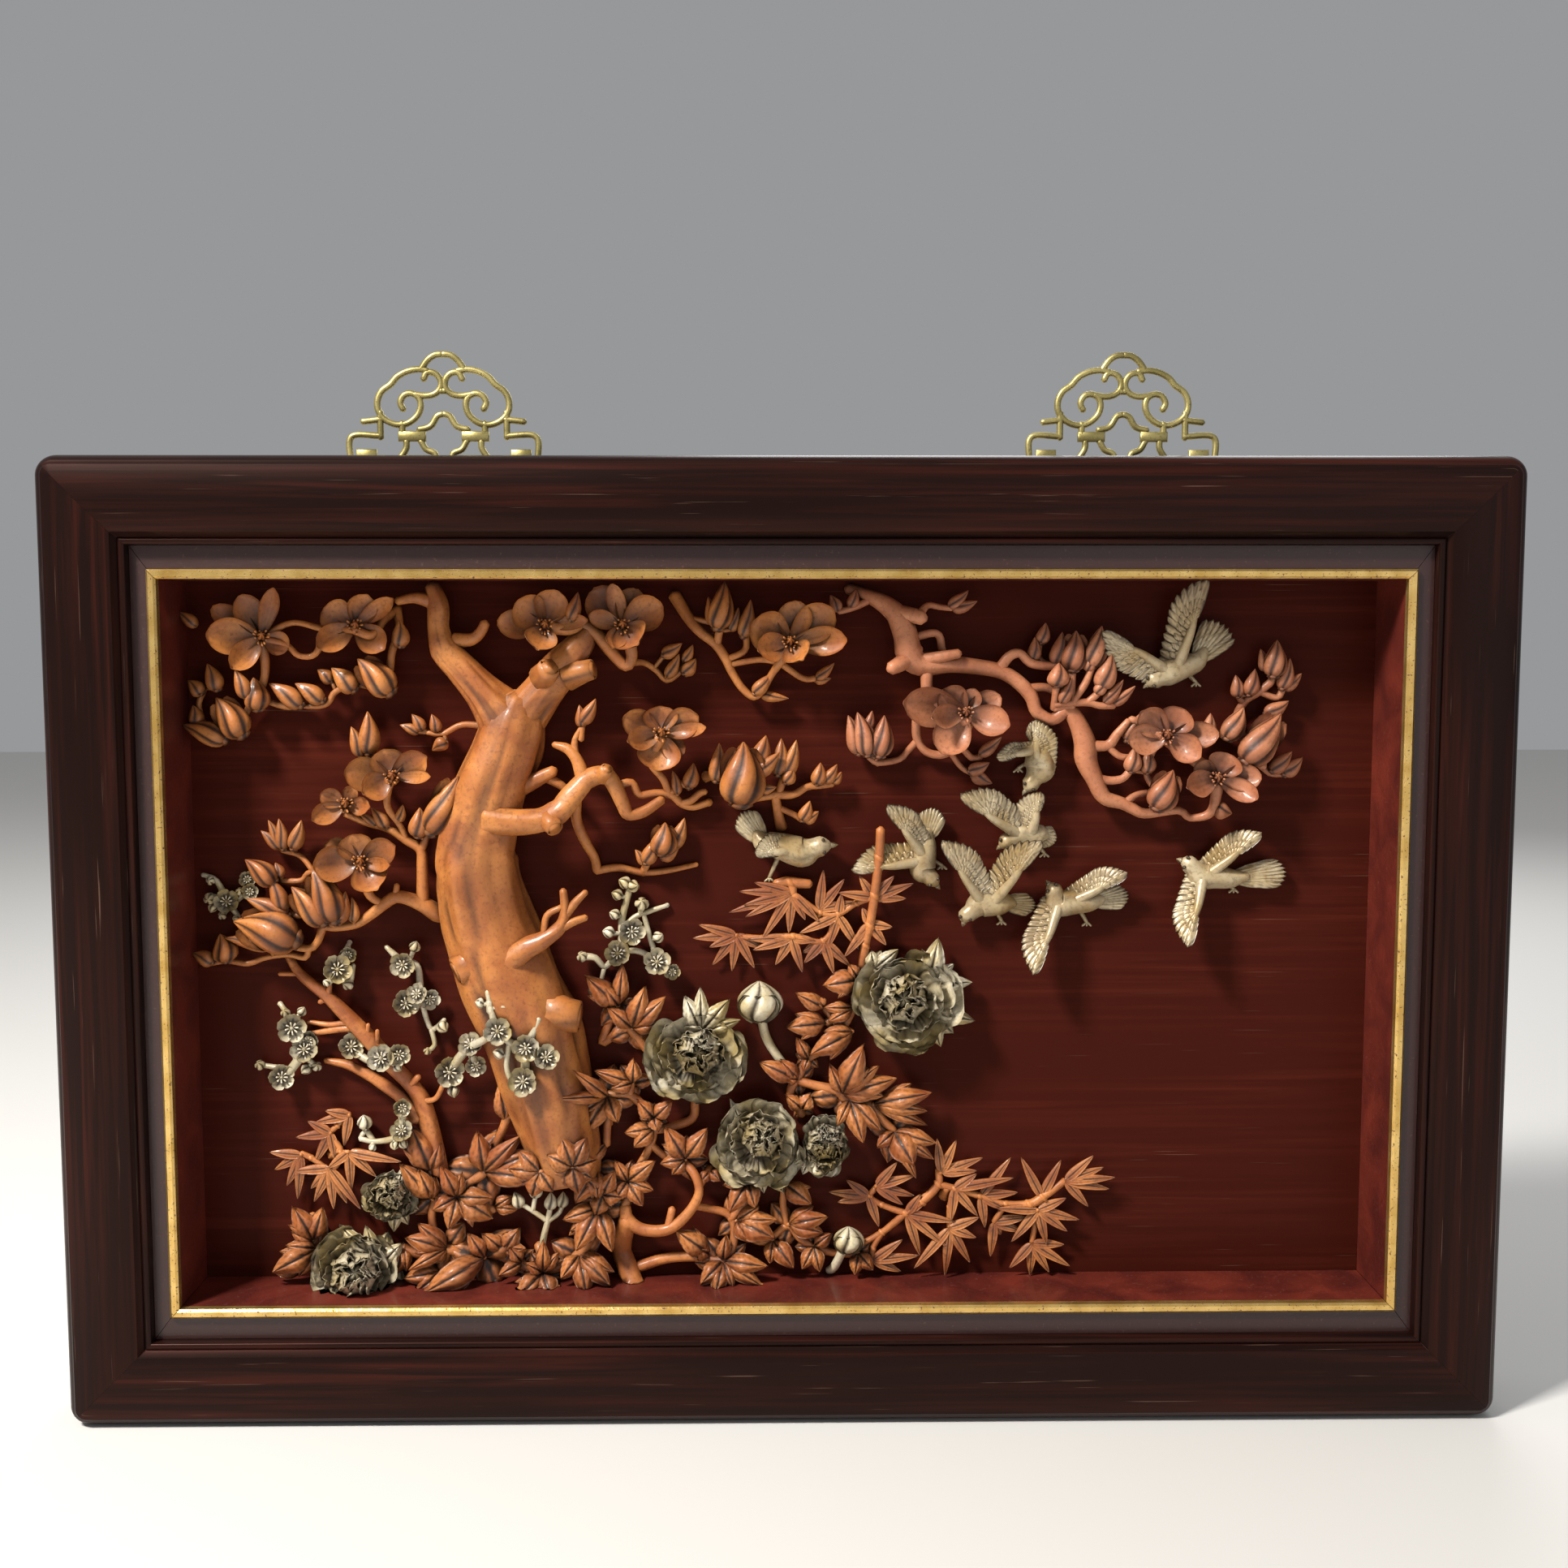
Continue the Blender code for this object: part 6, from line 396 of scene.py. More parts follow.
# Plum sprigs: stems as runs, blossoms (x, z, lift, radius) and round buds (x, z, lift, radius)
PLUM_SPRIGS = {
    "plum_sprig_top_left": {
        "stems": (
            ((-380, 26, 3, 2), (-369, 22, 4, 3.4), (-358, 28, 4, 2.4), (-354, 36, 4, 2)),
            ((-369, 22, 4, 3), (-372, 14, 4, 2)),
            ((-369, 22, 4, 2.6), (-376, 36, 4, 1.8), (-385, 40, 3, 1.6)),
            ((-369, 22, 4, 2.4), (-362, 12, 4, 1.6)),
        ),
        "blossoms": ((-370, 22, 9, 8), (-354, 29, 8, 5.5), (-356, 37, 7, 5.5)),
        "buds": (
            (-381, 24, 7, 3.8), (-379, 18, 6, 3), (-373, 13, 6, 2.8), (-380, 36, 6, 3), (-364, 11, 6, 2.4),
            (-361, 29, 9, 2.6),
        ),
    },
    "plum_sprig_left": {
        "stems": (
            ((-303, -32, 13, 1.8), (-300, -24, 12, 2.6)),
            ((-289, -5, 4, 1.4), (-293, -13, 9, 2.4), (-298, -22, 11, 3)),
            ((-298, -22, 9, 3), (-290, -32, 8, 2), (-287, -20, 8, 1.6)),
        ),
        "blossoms": ((-298, -23, 15, 9.5), (-290, -13, 9, 5.5)),
        "buds": ((-291, -33, 9, 4), (-305, -32, 14, 2.6)),
    },
    "plum_sprig_upper": {
        "stems": (
            ((-265, -8, 5, 1.5), (-258, -15, 6, 2.4), (-254, -20, 6, 3)),
            ((-246, -8, 7, 2), (-245, -20, 3, 2), (-243, -32, 6, 2.4), (-244, -42, 7, 3)),
            ((-254, -20, 5, 2.4), (-245, -22, 3, 2)),
            ((-240, -55, 4, 1.8), (-242, -46, 6, 2.4)),
            ((-241, -54, 4, 1.8), (-236, -63, 5, 1.8), (-227, -57, 6, 1.8)),
            ((-236, -63, 5, 1.8), (-234, -74, 5, 1.6), (-239, -78, 5, 1.6)),
            ((-242, -44, 6, 3), (-252, -46, 7, 3)),
        ),
        "blossoms": ((-254, -20, 11, 8.5), (-253, -46, 12, 9), (-245, -40, 13, 7), (-237, -43, 9, 7)),
        "buds": ((-246, -8, 8, 3.8), (-239, -78, 6, 2.6), (-228, -62, 8, 4)),
    },
    "plum_sprig_lower": {
        "stems": (
            ((-336, -46, 5, 1.6), (-331, -54, 7, 2.2), (-329, -62, 9, 3)),
            ((-322, -50, 5, 2), (-326, -58, 7, 2.4)),
            ((-329, -62, 7, 2.6), (-322, -76, 8, 3), (-330, -90, 7, 3), (-338, -96, 6, 3)),
            ((-340, -78, 5, 1.6), (-326, -76, 6, 2)),
            ((-316, -66, 6, 1.6), (-324, -72, 8, 2.4)),
            ((-354, -97, 4, 1.4), (-340, -95, 5, 2)),
            ((-330, -90, 6, 2), (-350, -87, 5, 1.6)),
            ((-322, -80, 6, 2), (-313, -88, 6, 1.6)),
        ),
        "blossoms": ((-329, -62, 14, 9.5), (-321, -77, 13, 9), (-337, -95, 11, 8.5), (-318, -71, 9, 7)),
        "buds": (
            (-333, -52, 8, 3.2), (-322, -51, 8, 3.2), (-351, -87, 7, 3.4), (-313, -88, 8, 3.2),
            (-320, -90, 7, 3.6),
        ),
    },
    "plum_sprig_branch": {
        "stems": (
            ((-290, -75, 5, 2), (-290, -63, 5, 1.5)),
            ((-290, -75, 6, 3), (-278, -84, 14, 2.4), (-266, -82, 18, 3)),
        ),
        "blossoms": ((-290, -75, 11, 8.5), (-270, -83, 21, 9), (-258, -80, 19, 7.5)),
        "buds": ((-259, -89, 19, 3), (-290, -62, 8, 2.4)),
    },
    "plum_sprig_low_left": {
        "stems": (
            ((-285, -137, 8, 1.8), (-275, -139, 9, 1.8), (-262, -137, 13, 2.4), (-257, -132, 17, 2.6)),
            ((-285, -120, 4, 1.6), (-281, -132, 6, 2), (-276, -139, 8, 2)),
            ((-276, -139, 9, 1.8), (-278, -144, 9, 1.8)),
            ((-257, -130, 16, 2.6), (-256, -116, 17, 2.6)),
        ),
        "blossoms": ((-257, -132, 21, 7.5), (-257, -116, 19, 6)),
        "buds": ((-282, -126, 8, 5), (-277, -143, 9, 2.6), (-262, -142, 17, 3), (-256, -141, 18, 3)),
    },
    "plum_sprig_trunk": {
        "stems": (
            ((-198, -38, 40, 1.8), (-196, -50, 40, 2), (-193, -62, 41, 3)),
            ((-204, -46, 36, 2.4), (-197, -52, 39, 2)),
            ((-188, -47, 40, 2.2), (-196, -53, 40, 2)),
            ((-164, -56, 42, 2), (-168, -66, 42, 2.4), (-173, -75, 42, 3)),
            ((-193, -64, 41, 3), (-184, -72, 42, 2.4), (-173, -76, 42, 3), (-160, -82, 42, 3)),
            ((-191, -80, 40, 2), (-186, -88, 41, 2), (-182, -98, 41, 2.4), (-174, -98, 42, 3)),
            ((-173, -76, 42, 3), (-174, -98, 42, 3)),
            ((-212, -76, 20, 3), (-200, -70, 34, 2.4), (-193, -65, 40, 3)),
            ((-212, -76, 20, 3), (-224, -90, 12, 3)),
            ((-212, -76, 20, 2.4), (-206, -88, 18, 2.4)),
        ),
        "blossoms": (
            (-192, -65, 45, 9), (-173, -76, 46, 9), (-160, -83, 46, 8.5), (-175, -99, 46, 9.5),
            (-225, -92, 15, 10), (-210, -74, 24, 8), (-207, -88, 19, 7),
        ),
        "buds": ((-203, -46, 38, 3.4), (-187, -48, 41, 3.2), (-191, -80, 41, 3.8), (-222, -105, 13, 4)),
    },
    "plum_sprig_centre": {
        "stems": (
            ((-102, 34, 7, 2.4), (-105, 22, 5, 2.2), (-108, 10, 4, 2.4), (-108, -2, 5, 3),
             (-110, -11, 7, 3)),
            ((-117, 1, 5, 2), (-108, 0, 5, 2.4)),
            ((-113, 13, 5, 2), (-108, 7, 4, 2.2)),
            ((-110, 26, 5, 2), (-105, 22, 5, 2)),
            ((-108, 2, 5, 2.4), (-100, 11, 4, 1.8), (-90, 15, 4, 1.8), (-78, 19, 3, 1.4)),
            ((-96, 13, 4, 1.8), (-95, 20, 6, 2)),
            ((-134, -15, 6, 2.6), (-126, -16, 7, 2.2), (-120, -22, 5, 2), (-114, -16, 5, 2),
             (-110, -12, 6, 2.4)),
            ((-86, -6, 4, 1.6), (-85, -16, 5, 2), (-76, -24, 5, 2), (-96, -12, 5, 2), (-110, -12, 6, 2)),
        ),
        "blossoms": (
            (-102, 2, 12, 9), (-111, -13, 11, 8.5), (-85, -19, 12, 9), (-75, -25, 9, 5.5),
            (-124, -38, 8, 6.5),
        ),
        "buds": (
            (-106, 34, 8, 4.2), (-100, 32, 9, 4), (-111, 26, 7, 3.8), (-95, 20, 8, 4.6), (-113, 13, 7, 3.6),
            (-117, 1, 8, 4), (-135, -15, 8, 3.6), (-84, -2, 8, 3.8),
        ),
    },
}
# Peony blooms: heart (x, z, lift), half width, half height, and the ball of closed petals (x, z, lift,
# radius) in the heart
PEONIES = {
    "peony_large_middle": ((-60, -82, 19), 34, 27, (-58, -80, 32, 15)),
    "peony_large_right": ((82, -45, 19), 34, 31, (80, -44, 31, 16)),
    "peony_lower_middle": ((-18, -141, 19), 29, 28, (-15, -138, 31, 13)),
    "peony_side_on": ((27, -141, 17), 14, 21, (27, -141, 23, 12)),
    "peony_lower_left": ((-290, -226, 20), 29, 27, (-291, -229, 33, 16)),
    "peony_small_left": ((-265, -175, 15), 17, 16, (-266, -174, 23, 10)),
}
PEONY_ROUND_BUD = ((-17, -46, 13), 14, ((-17, -46, 13, 3), (-12, -70, 4, 3), (2, -92, 3, 3)))
PEONY_LOW_BUD = ((43, -208, 12), 9.5, ((43, -208, 12, 3), (34, -226, 5, 3), (30, -229, 2, 3)))
PEONY_ROUND_BUD_ON = "peony_leaves_right"
# Small silvered buds on thin stems among the leaves at the tree's foot
FOOT_BUDS_ON = "peony_leaves_base_middle"
FOOT_BUD_STEMS = (
    ((-166, -226, 8, 2.4), (-163, -206, 12, 2.2), (-160, -194, 14, 2), (-158, -184, 15, 1.8)),
    ((-160, -194, 14, 1.8), (-170, -187, 14, 1.6), (-178, -182, 14, 1.6)),
    ((-170, -187, 14, 1.6), (-168, -176, 15, 1.6)),
    ((-160, -194, 14, 1.8), (-152, -188, 14, 1.6), (-150, -182, 14, 1.6)),
)
FOOT_BUDS = ((-158, -181, 15, 4.6), (-180, -180, 14, 4.4), (-168, -173, 15, 4.6), (-164, -168, 14, 4), (-150,
                                                                                                        -180,
                                                                                                        14,
                                                                                                        4.2))
# Peony foliage: stems as runs, and fans of lobes, each a heart (x, z, lift) and its lobes
# (tip x, tip z, width, tip lift)
PEONY_FOLIAGE = {
    "peony_leaves_left": (
        (
            ((-234, -176, 4, 3.4), (-238, -188, 6, 2.8), (-236, -202, 8, 2.8), (-228, -212, 8, 2.8),
             (-216, -218, 5, 3)),
            ((-234, -176, 4, 3.4), (-240, -168, 8, 3), (-237, -154, 8, 3)),
            ((-234, -176, 5, 3.2), (-222, -178, 10, 3), (-214, -168, 9, 3), (-202, -160, 10, 3),
             (-194, -142, 10, 3), (-188, -128, 12, 3), (-184, -116, 14, 4)),
            ((-222, -178, 10, 3), (-206, -182, 8, 3), (-196, -186, 7, 3)),
        ),
        (
            ((-238, -160, 9), ((-250, -131, 17, 16), (-232, -141, 11, 14))),
            ((-238, -178, 8), ((-257, -156, 14, 17), (-246, -160, 12, 19), (-236, -165, 9, 14))),
            ((-221, -177, 12), ((-230, -158, 11, 22), (-218, -162, 8, 17), (-237, -186, 10, 20),
                                (-227, -199, 11, 22), (-215, -192, 11, 17), (-197, -192, 17, 14),
                                (-198, -178, 12, 16))),
            ((-203, -160, 11), ((-206, -135, 14, 20), (-179, -137, 12, 22), (-163, -145, 12, 18),
                                (-164, -165, 14, 22))),
            ((-187, -126, 13), ((-191, -101, 11, 18), (-180, -108, 8, 16))),
            ((-196, -184, 8), ((-184, -177, 8, 10), (-181, -186, 8, 10))),
        ),
    ),
    "peony_leaves_base_left": (
        (
            ((-318, -190, 3, 3), (-316, -205, 6, 3), (-322, -212, 8, 3)),
            ((-316, -205, 6, 3), (-322, -220, 8, 3), (-328, -227, 10, 3)),
        ),
        (
            ((-318, -206, 9), ((-330, -185, 14, 16), (-312, -186, 12, 14), (-332, -201, 10, 14))),
            ((-316, -212, 10), ((-346, -228, 15, 24), (-336, -210, 10, 18), (-329, -232, 11, 14))),
            ((-328, -229, 10), ((-345, -228, 7, 14),)),
        ),
    ),
    "peony_leaves_base_middle": (
        (
            ((-196, -215, 6, 4), (-180, -222, 8, 4), (-164, -228, 10, 4), (-140, -218, 12, 4),
             (-130, -200, 12, 4), (-126, -186, 12, 4), (-130, -166, 12, 4), (-134, -155, 14, 4)),
            ((-196, -215, 6, 4), (-214, -217, 8, 4), (-228, -213, 10, 4), (-244, -216, 9, 3.6),
             (-258, -212, 8, 3.4)),
            ((-164, -228, 4, 3.4), (-166, -210, 2, 3.4)),
            ((-228, -213, 10, 3.6), (-232, -226, 12, 3.6)),
        ),
        (
            ((-228, -212, 12), ((-255, -205, 13, 22), (-247, -196, 11, 18), (-254, -227, 8, 26),
                                (-240, -222, 10, 18))),
            ((-258, -211, 9), ((-263, -230, 11, 16), (-256, -228, 9, 15))),
            ((-203, -219, 14), ((-244, -243, 16, 30), (-236, -233, 12, 24), (-213, -203, 10, 18))),
            ((-232, -228, 14), ((-258, -233, 12, 20), (-250, -243, 11, 24))),
            ((-190, -214, 9), ((-181, -201, 12, 15), (-203, -203, 10, 16), (-176, -213, 10, 16))),
            ((-178, -222, 12), ((-193, -231, 9, 22), (-185, -213, 9, 18))),
            ((-164, -229, 14), ((-163, -210, 9, 24), (-174, -224, 8, 22), (-154, -217, 8, 20),
                                (-182, -248, 13, 28), (-158, -250, 13, 28), (-166, -252, 9, 24))),
            ((-139, -217, 14), ((-151, -233, 11, 26), (-119, -238, 13, 28), (-117, -229, 11, 24),
                                (-134, -248, 12, 28))),
            ((-126, -185, 14), ((-149, -193, 11, 24), (-141, -214, 14, 28), (-117, -215, 12, 26),
                                (-146, -204, 9, 20))),
            ((-127, -159, 14), ((-147, -169, 10, 24), (-141, -181, 13, 26), (-126, -178, 11, 26))),
            ((-135, -154, 14), ((-163, -158, 12, 24), (-156, -171, 9, 20))),
        ),
    ),
    "peony_leaves_centre": (
        (
            ((-67, -154, 8, 3), (-60, -164, 14, 3), (-58, -176, 16, 3), (-66, -190, 17, 3.4),
             (-79, -200, 17, 3.8), (-96, -200, 15, 4), (-106, -193, 13, 4.4), (-108, -184, 12, 4)),
            ((-79, -200, 17, 3), (-76, -186, 15, 2.6)),
            ((-62, -184, 15, 2.6), (-50, -186, 10, 2.6), (-38, -190, 9, 2.6), (-34, -200, 9, 2.8),
             (-36, -214, 11, 3), (-42, -222, 12, 3.4), (-60, -219, 8, 3.4), (-80, -220, 6, 3.6),
             (-100, -226, 6, 4)),
            ((-114, -198, 1, 6), (-110, -212, 4, 6.5), (-106, -226, 7, 7), (-102, -240, 12, 7.5)),
            ((-108, -184, 12, 3), (-104, -172, 10, 2.8), (-100, -160, 9, 2.6), (-92, -146, 8, 2.6),
             (-88, -132, 8, 3), (-92, -120, 8, 3), (-104, -108, 8, 3), (-118, -108, 9, 3)),
            ((-88, -132, 8, 3), (-76, -130, 5, 3), (-62, -124, 3, 3), (-60, -112, 2, 3)),
            ((-88, -142, 8, 2.6), (-78, -152, 6, 2.6), (-67, -154, 8, 3)),
            ((-34, -192, 9, 2.8), (-26, -180, 9, 2.8), (-24, -166, 9, 2.8)),
            ((-58, -172, 14, 2.6), (-50, -158, 6, 2.6)),
            ((-104, -106, 8, 3), (-103, -98, 8, 3)),
            ((-118, -128, 6, 2.8), (-120, -142, 8, 2.8)),
            ((-118, -108, 9, 3), (-118, -128, 6, 2.8)),
            ((-34, -200, 9, 2.8), (-14, -209, 6, 2.6), (2, -198, 6, 2.6), (12, -208, 6, 2.6),
             (30, -216, 5, 2.6), (50, -218, 5, 2.6)),
            ((2, -198, 6, 2.6), (-1, -184, 6, 2.4), (0, -170, 8, 2.4)),
        ),
        (
            ((0, -169, 9), ((18, -183, 13, 16),)),
            ((3, -197, 9), ((28, -192, 12, 16), (26, -203, 12, 14), (19, -185, 9, 12))),
            ((-8, -208, 9), ((6, -227, 12, 18), (-10, -224, 9, 14))),
            ((20, -212, 8), ((12, -228, 9, 14), (24, -230, 9, 14), (31, -204, 9, 12))),
            ((50, -217, 8), ((60, -229, 9, 14), (48, -232, 9, 14))),
            ((-106, -167, 12), ((-113, -154, 8, 17), (-89, -154, 11, 18), (-114, -179, 11, 20),
                                (-96, -184, 10, 18), (-89, -173, 9, 16))),
            ((-119, -109, 11), ((-139, -122, 10, 18), (-135, -134, 13, 20), (-113, -126, 12, 20),
                                (-156, -111, 8, 40), (-139, -94, 9, 38))),
            ((-102, -100, 10), ((-127, -92, 9, 16), (-115, -104, 10, 18), (-101, -86, 10, 16))),
            ((-88, -124, 10), ((-98, -113, 10, 16), (-86, -131, 9, 18), (-77, -114, 10, 17))),
            ((-88, -131, 10), ((-107, -134, 10, 16), (-101, -143, 11, 18))),
            ((-67, -152, 11), ((-79, -132, 13, 18), (-53, -133, 12, 18), (-84, -155, 9, 12),
                               (-76, -163, 9, 12))),
            ((-50, -160, 8), ((-57, -168, 7, 14), (-44, -166, 8, 14))),
            ((-120, -141, 9), ((-134, -155, 9, 16),)),
            ((-51, -217, 9), ((-72, -202, 14, 18), (-58, -214, 12, 16))),
            ((-42, -222, 13), ((-40, -206, 9, 18), (-56, -237, 12, 26), (-47, -247, 11, 28),
                               (-35, -241, 9, 24), (-13, -226, 12, 22), (-15, -240, 10, 22))),
            ((-25, -167, 11), ((-40, -170, 9, 18), (-37, -188, 12, 22), (-20, -185, 11, 20))),
            ((-32, -194, 10), ((-8, -206, 16, 20), (-6, -194, 11, 16), (-24, -208, 12, 18),
                               (-18, -185, 9, 14))),
        ),
    ),
    "peony_leaves_right": (
        (
            ((0, -90, 2, 3), (8, -98, 5, 3), (20, -102, 8, 3), (36, -106, 10, 3.4), (42, -112, 10, 3.4),
             (58, -116, 9, 3), (66, -126, 9, 3), (74, -134, 9, 3)),
            ((8, -98, 5, 3), (4, -108, 5, 3), (12, -122, 5, 3)),
            ((9, -98, 5, 2.8), (16, -84, 5, 2.8), (30, -76, 6, 2.8), (40, -62, 6, 2.8), (46, -50, 5, 2.8),
             (50, -34, 6, 3)),
            ((30, -58, 5, 2.8), (27, -50, 6, 2.6)),
            ((46, -52, 5, 2.6), (38, -56, 5, 2.6), (28, -60, 6, 2.8)),
        ),
        (
            ((50, -31, 8), ((28, -35, 15, 16), (44, -22, 9, 12))),
            ((27, -50, 8), ((9, -41, 10, 14), (22, -44, 8, 12))),
            ((28, -60, 8), ((3, -63, 14, 16), (8, -54, 8, 12))),
            ((46, -50, 8), ((27, -50, 8, 14), (30, -59, 9, 14))),
            ((46, -66, 9), ((18, -81, 14, 18), (27, -66, 9, 14))),
            ((16, -84, 7), ((9, -71, 8, 12), (13, -92, 6, 12))),
            ((9, -98, 7), ((-16, -87, 12, 12), (-2, -86, 10, 12), (2, -98, 7, 12))),
            ((12, -118, 8), ((2, -110, 9, 13), (16, -111, 11, 15))),
            ((39, -108, 13), ((31, -90, 9, 20), (52, -79, 16, 28), (62, -90, 11, 22), (75, -98, 13, 18),
                              (66, -108, 10, 16))),
            ((44, -112, 11), ((36, -129, 8, 22), (53, -141, 12, 24), (65, -133, 11, 20))),
            ((60, -115, 11), ((98, -108, 13, 20), (96, -120, 10, 18), (97, -130, 8, 12))),
            ((74, -134, 11), ((63, -144, 9, 18), (87, -156, 17, 26), (102, -142, 11, 18), (101, -153, 9, 17),
                              (89, -166, 8, 20))),
        ),
    ),
    "peony_leaves_around_blooms": (
        (
            ((-112, -48, 2, 3), (-104, -62, 6, 3), (-98, -70, 6, 3), (-90, -80, 6, 3)),
            ((-103, -64, 6, 3), (-94, -58, 5, 3)),
            ((-124, -52, 2, 3), (-122, -72, 2, 3), (-112, -66, 3, 3), (-104, -62, 6, 3)),
        ),
        (
            ((-111, -48, 8), ((-131, -30, 14, 20), (-108, -22, 10, 16), (-120, -36, 10, 20))),
            ((-102, -63, 9), ((-94, -38, 13, 20), (-81, -44, 12, 18), (-84, -60, 10, 16),
                              (-117, -50, 10, 18))),
        ),
    ),
}
# Small peony leaves that stand out from behind the two large blooms, with their hearts under the blooms
BLOOM_LEAVES = {
    "peony_large_middle": (
        ((-56, -66, 12), ((-66, -43, 12, 16), (-56, -37, 10, 14), (-38, -45, 12, 16), (-30, -58, 9, 14))),
    ),
    "peony_large_right": (
        ((96, -34, 12), ((103, -5, 14, 16), (92, -14, 9, 14), (113, -21, 9, 14), (126, -33, 10, 12))),
        ((96, -52, 12), ((128, -59, 11, 14), (105, -77, 11, 12))),
        ((60, -24, 12), ((58, -12, 9, 12), (76, -11, 9, 12))),
    ),
    "peony_lower_middle": (((-20, -150, 12), ((-36, -112, 9, 12), (-14, -176, 12, 14), (0, -176, 10, 13))),),
    "peony_side_on": (((18, -150, 10), ((6, -157, 8, 14), (12, -163, 7, 12))),),
    "peony_lower_left": (
        ((-275, -225, 12), ((-260, -210, 12, 16), (-300, -196, 11, 14), (-282, -198, 11, 16))),
    ),
    "peony_small_left": (
        ((-262, -180, 10), ((-264, -201, 9, 14), (-254, -196, 8, 12), (-257, -157, 8, 12))),
    ),
}
# Bamboo: stems as runs, and fans of leaves, each a heart (x, z, lift) and leaf tips (x, z)
BAMBOO = {
    "bamboo_upper": (
        (
            ((64, 69, 16, 3), (63, 50, 15, 3), (60, 25, 14, 3), (57, 5, 12, 3), (54, -8, 10, 3),
             (53, -22, 6, 4)),
            ((59, 24, 12, 2), (48, 20, 8, 2), (36, 13, 8, 2), (24, 14, 8, 2), (6, 26, 9, 2.4)),
            ((36, 13, 8, 2), (26, -5, 7, 2), (6, -2, 8, 2.2), (-14, -3, 6, 2), (-32, -2, 4, 2.2)),
            ((6, 26, 9, 2.4), (4, 34, 7, 4), (-6, 33, 7, 3)),
            ((4, 34, 7, 4), (17, 33, 8, 3)),
            ((24, 14, 6, 2), (24, 10, 2, 4)),
        ),
        (
            ((5, 27, 10), ((-30, 28), (-27, 19), (-37, 14), (-20, 34), (-26, 11), (3, 0), (14, 9), (23, 8),
                           (-15, -4))),
            ((23, 16, 9), ((26, 42), (40, 36), (50, 21))),
            ((36, 12, 9), ((10, 0), (29, -10), (50, -11), (38, 26))),
            ((5, -3, 9), ((-21, -11), (-6, -21), (12, -26), (21, -5), (-24, -4))),
            ((-32, -1, 6), ((-61, -3), (-57, 6), (-50, -9), (-48, -21), (-35, -25), (-20, -23), (-14, -10))),
            ((26, -5, 8), ((12, -13), (13, -20), (24, -14), (44, -22), (33, -27))),
            ((59, 24, 13), ((50, 38), (73, 38), (86, 33), (81, 23), (36, 27))),
            ((57, 6, 12), ((72, 4), (68, -8), (52, 17), (47, -5), (40, -16))),
        ),
    ),
    "bamboo_left": (
        (
            ((-292, -120, 4, 2), (-300, -128, 5, 2), (-305, -134, 6, 2), (-298, -146, 8, 2),
             (-305, -158, 8, 2), (-318, -150, 6, 2), (-325, -147, 6, 2)),
            ((-300, -146, 4, 2.4), (-304, -148, 2, 4)),
        ),
        (
            ((-292, -121, 7), ((-315, -126), (-308, -118), (-296, -142))),
            ((-305, -133, 8), ((-328, -136), (-320, -125), (-316, -154), (-302, -152))),
            ((-293, -146, 10), ((-307, -157), (-292, -173), (-275, -163), (-258, -153), (-268, -150))),
            ((-325, -148, 8), ((-346, -146), (-343, -158), (-335, -169), (-328, -178))),
            ((-306, -157, 10), ((-331, -159), (-319, -171), (-304, -185), (-295, -181), (-317, -180),
                                (-286, -185))),
        ),
    ),
    "bamboo_right": (
        (
            ((50, -212, 4, 2), (66, -203, 6, 2.2), (82, -190, 9, 2.6), (93, -182, 10, 2.8),
             (104, -170, 9, 2.8), (104, -160, 6, 2.2)),
            ((82, -190, 9, 2.4), (66, -184, 6, 2), (58, -178, 5, 2), (62, -172, 5, 2)),
            ((104, -170, 9, 2.4), (115, -173, 9, 2.4), (132, -178, 8, 2.4), (150, -184, 8, 2.6),
             (166, -184, 9, 3), (175, -179, 9, 3), (190, -168, 8, 2.4)),
            ((115, -173, 9, 2), (112, -186, 8, 2), (112, -200, 9, 2)),
            ((166, -184, 9, 2.4), (170, -194, 8, 2), (168, -211, 7, 2)),
            ((66, -203, 6, 2), (60, -214, 6, 2), (60, -222, 6, 2)),
            ((110, -172, 6, 3), (108, -178, 2, 4)),
            ((150, -184, 8, 2), (142, -196, 6, 2)),
        ),
        (
            ((57, -178, 7), ((30, -175), (36, -182), (42, -167), (64, -199))),
            ((62, -171, 8), ((76, -155), (88, -164), (88, -178), (80, -184))),
            ((83, -190, 11), ((92, -177), (103, -172), (116, -196), (110, -213), (92, -219))),
            ((106, -162, 9), ((116, -140), (134, -152), (130, -161), (103, -139))),
            ((115, -173, 11), ((155, -166), (131, -192), (113, -195), (130, -163))),
            ((133, -178, 9), ((158, -176), (151, -188), (136, -200), (153, -152))),
            ((112, -200, 11), ((132, -193), (130, -207), (126, -224), (109, -233), (88, -228), (109, -221))),
            ((60, -222, 8), ((80, -208), (91, -219), (79, -230))),
            ((172, -188, 11), ((144, -187), (154, -210), (178, -212), (192, -203), (200, -195),
                               (191, -180))),
            ((174, -179, 10), ((160, -152), (187, -154))),
            ((190, -168, 10), ((209, -151), (216, -159), (224, -166), (220, -174), (206, -186))),
            ((168, -211, 9), ((190, -212), (194, -227), (180, -231), (167, -233), (153, -228))),
            ((142, -196, 7), ((162, -203), (165, -193), (147, -205), (140, -220))),
        ),
    ),
}
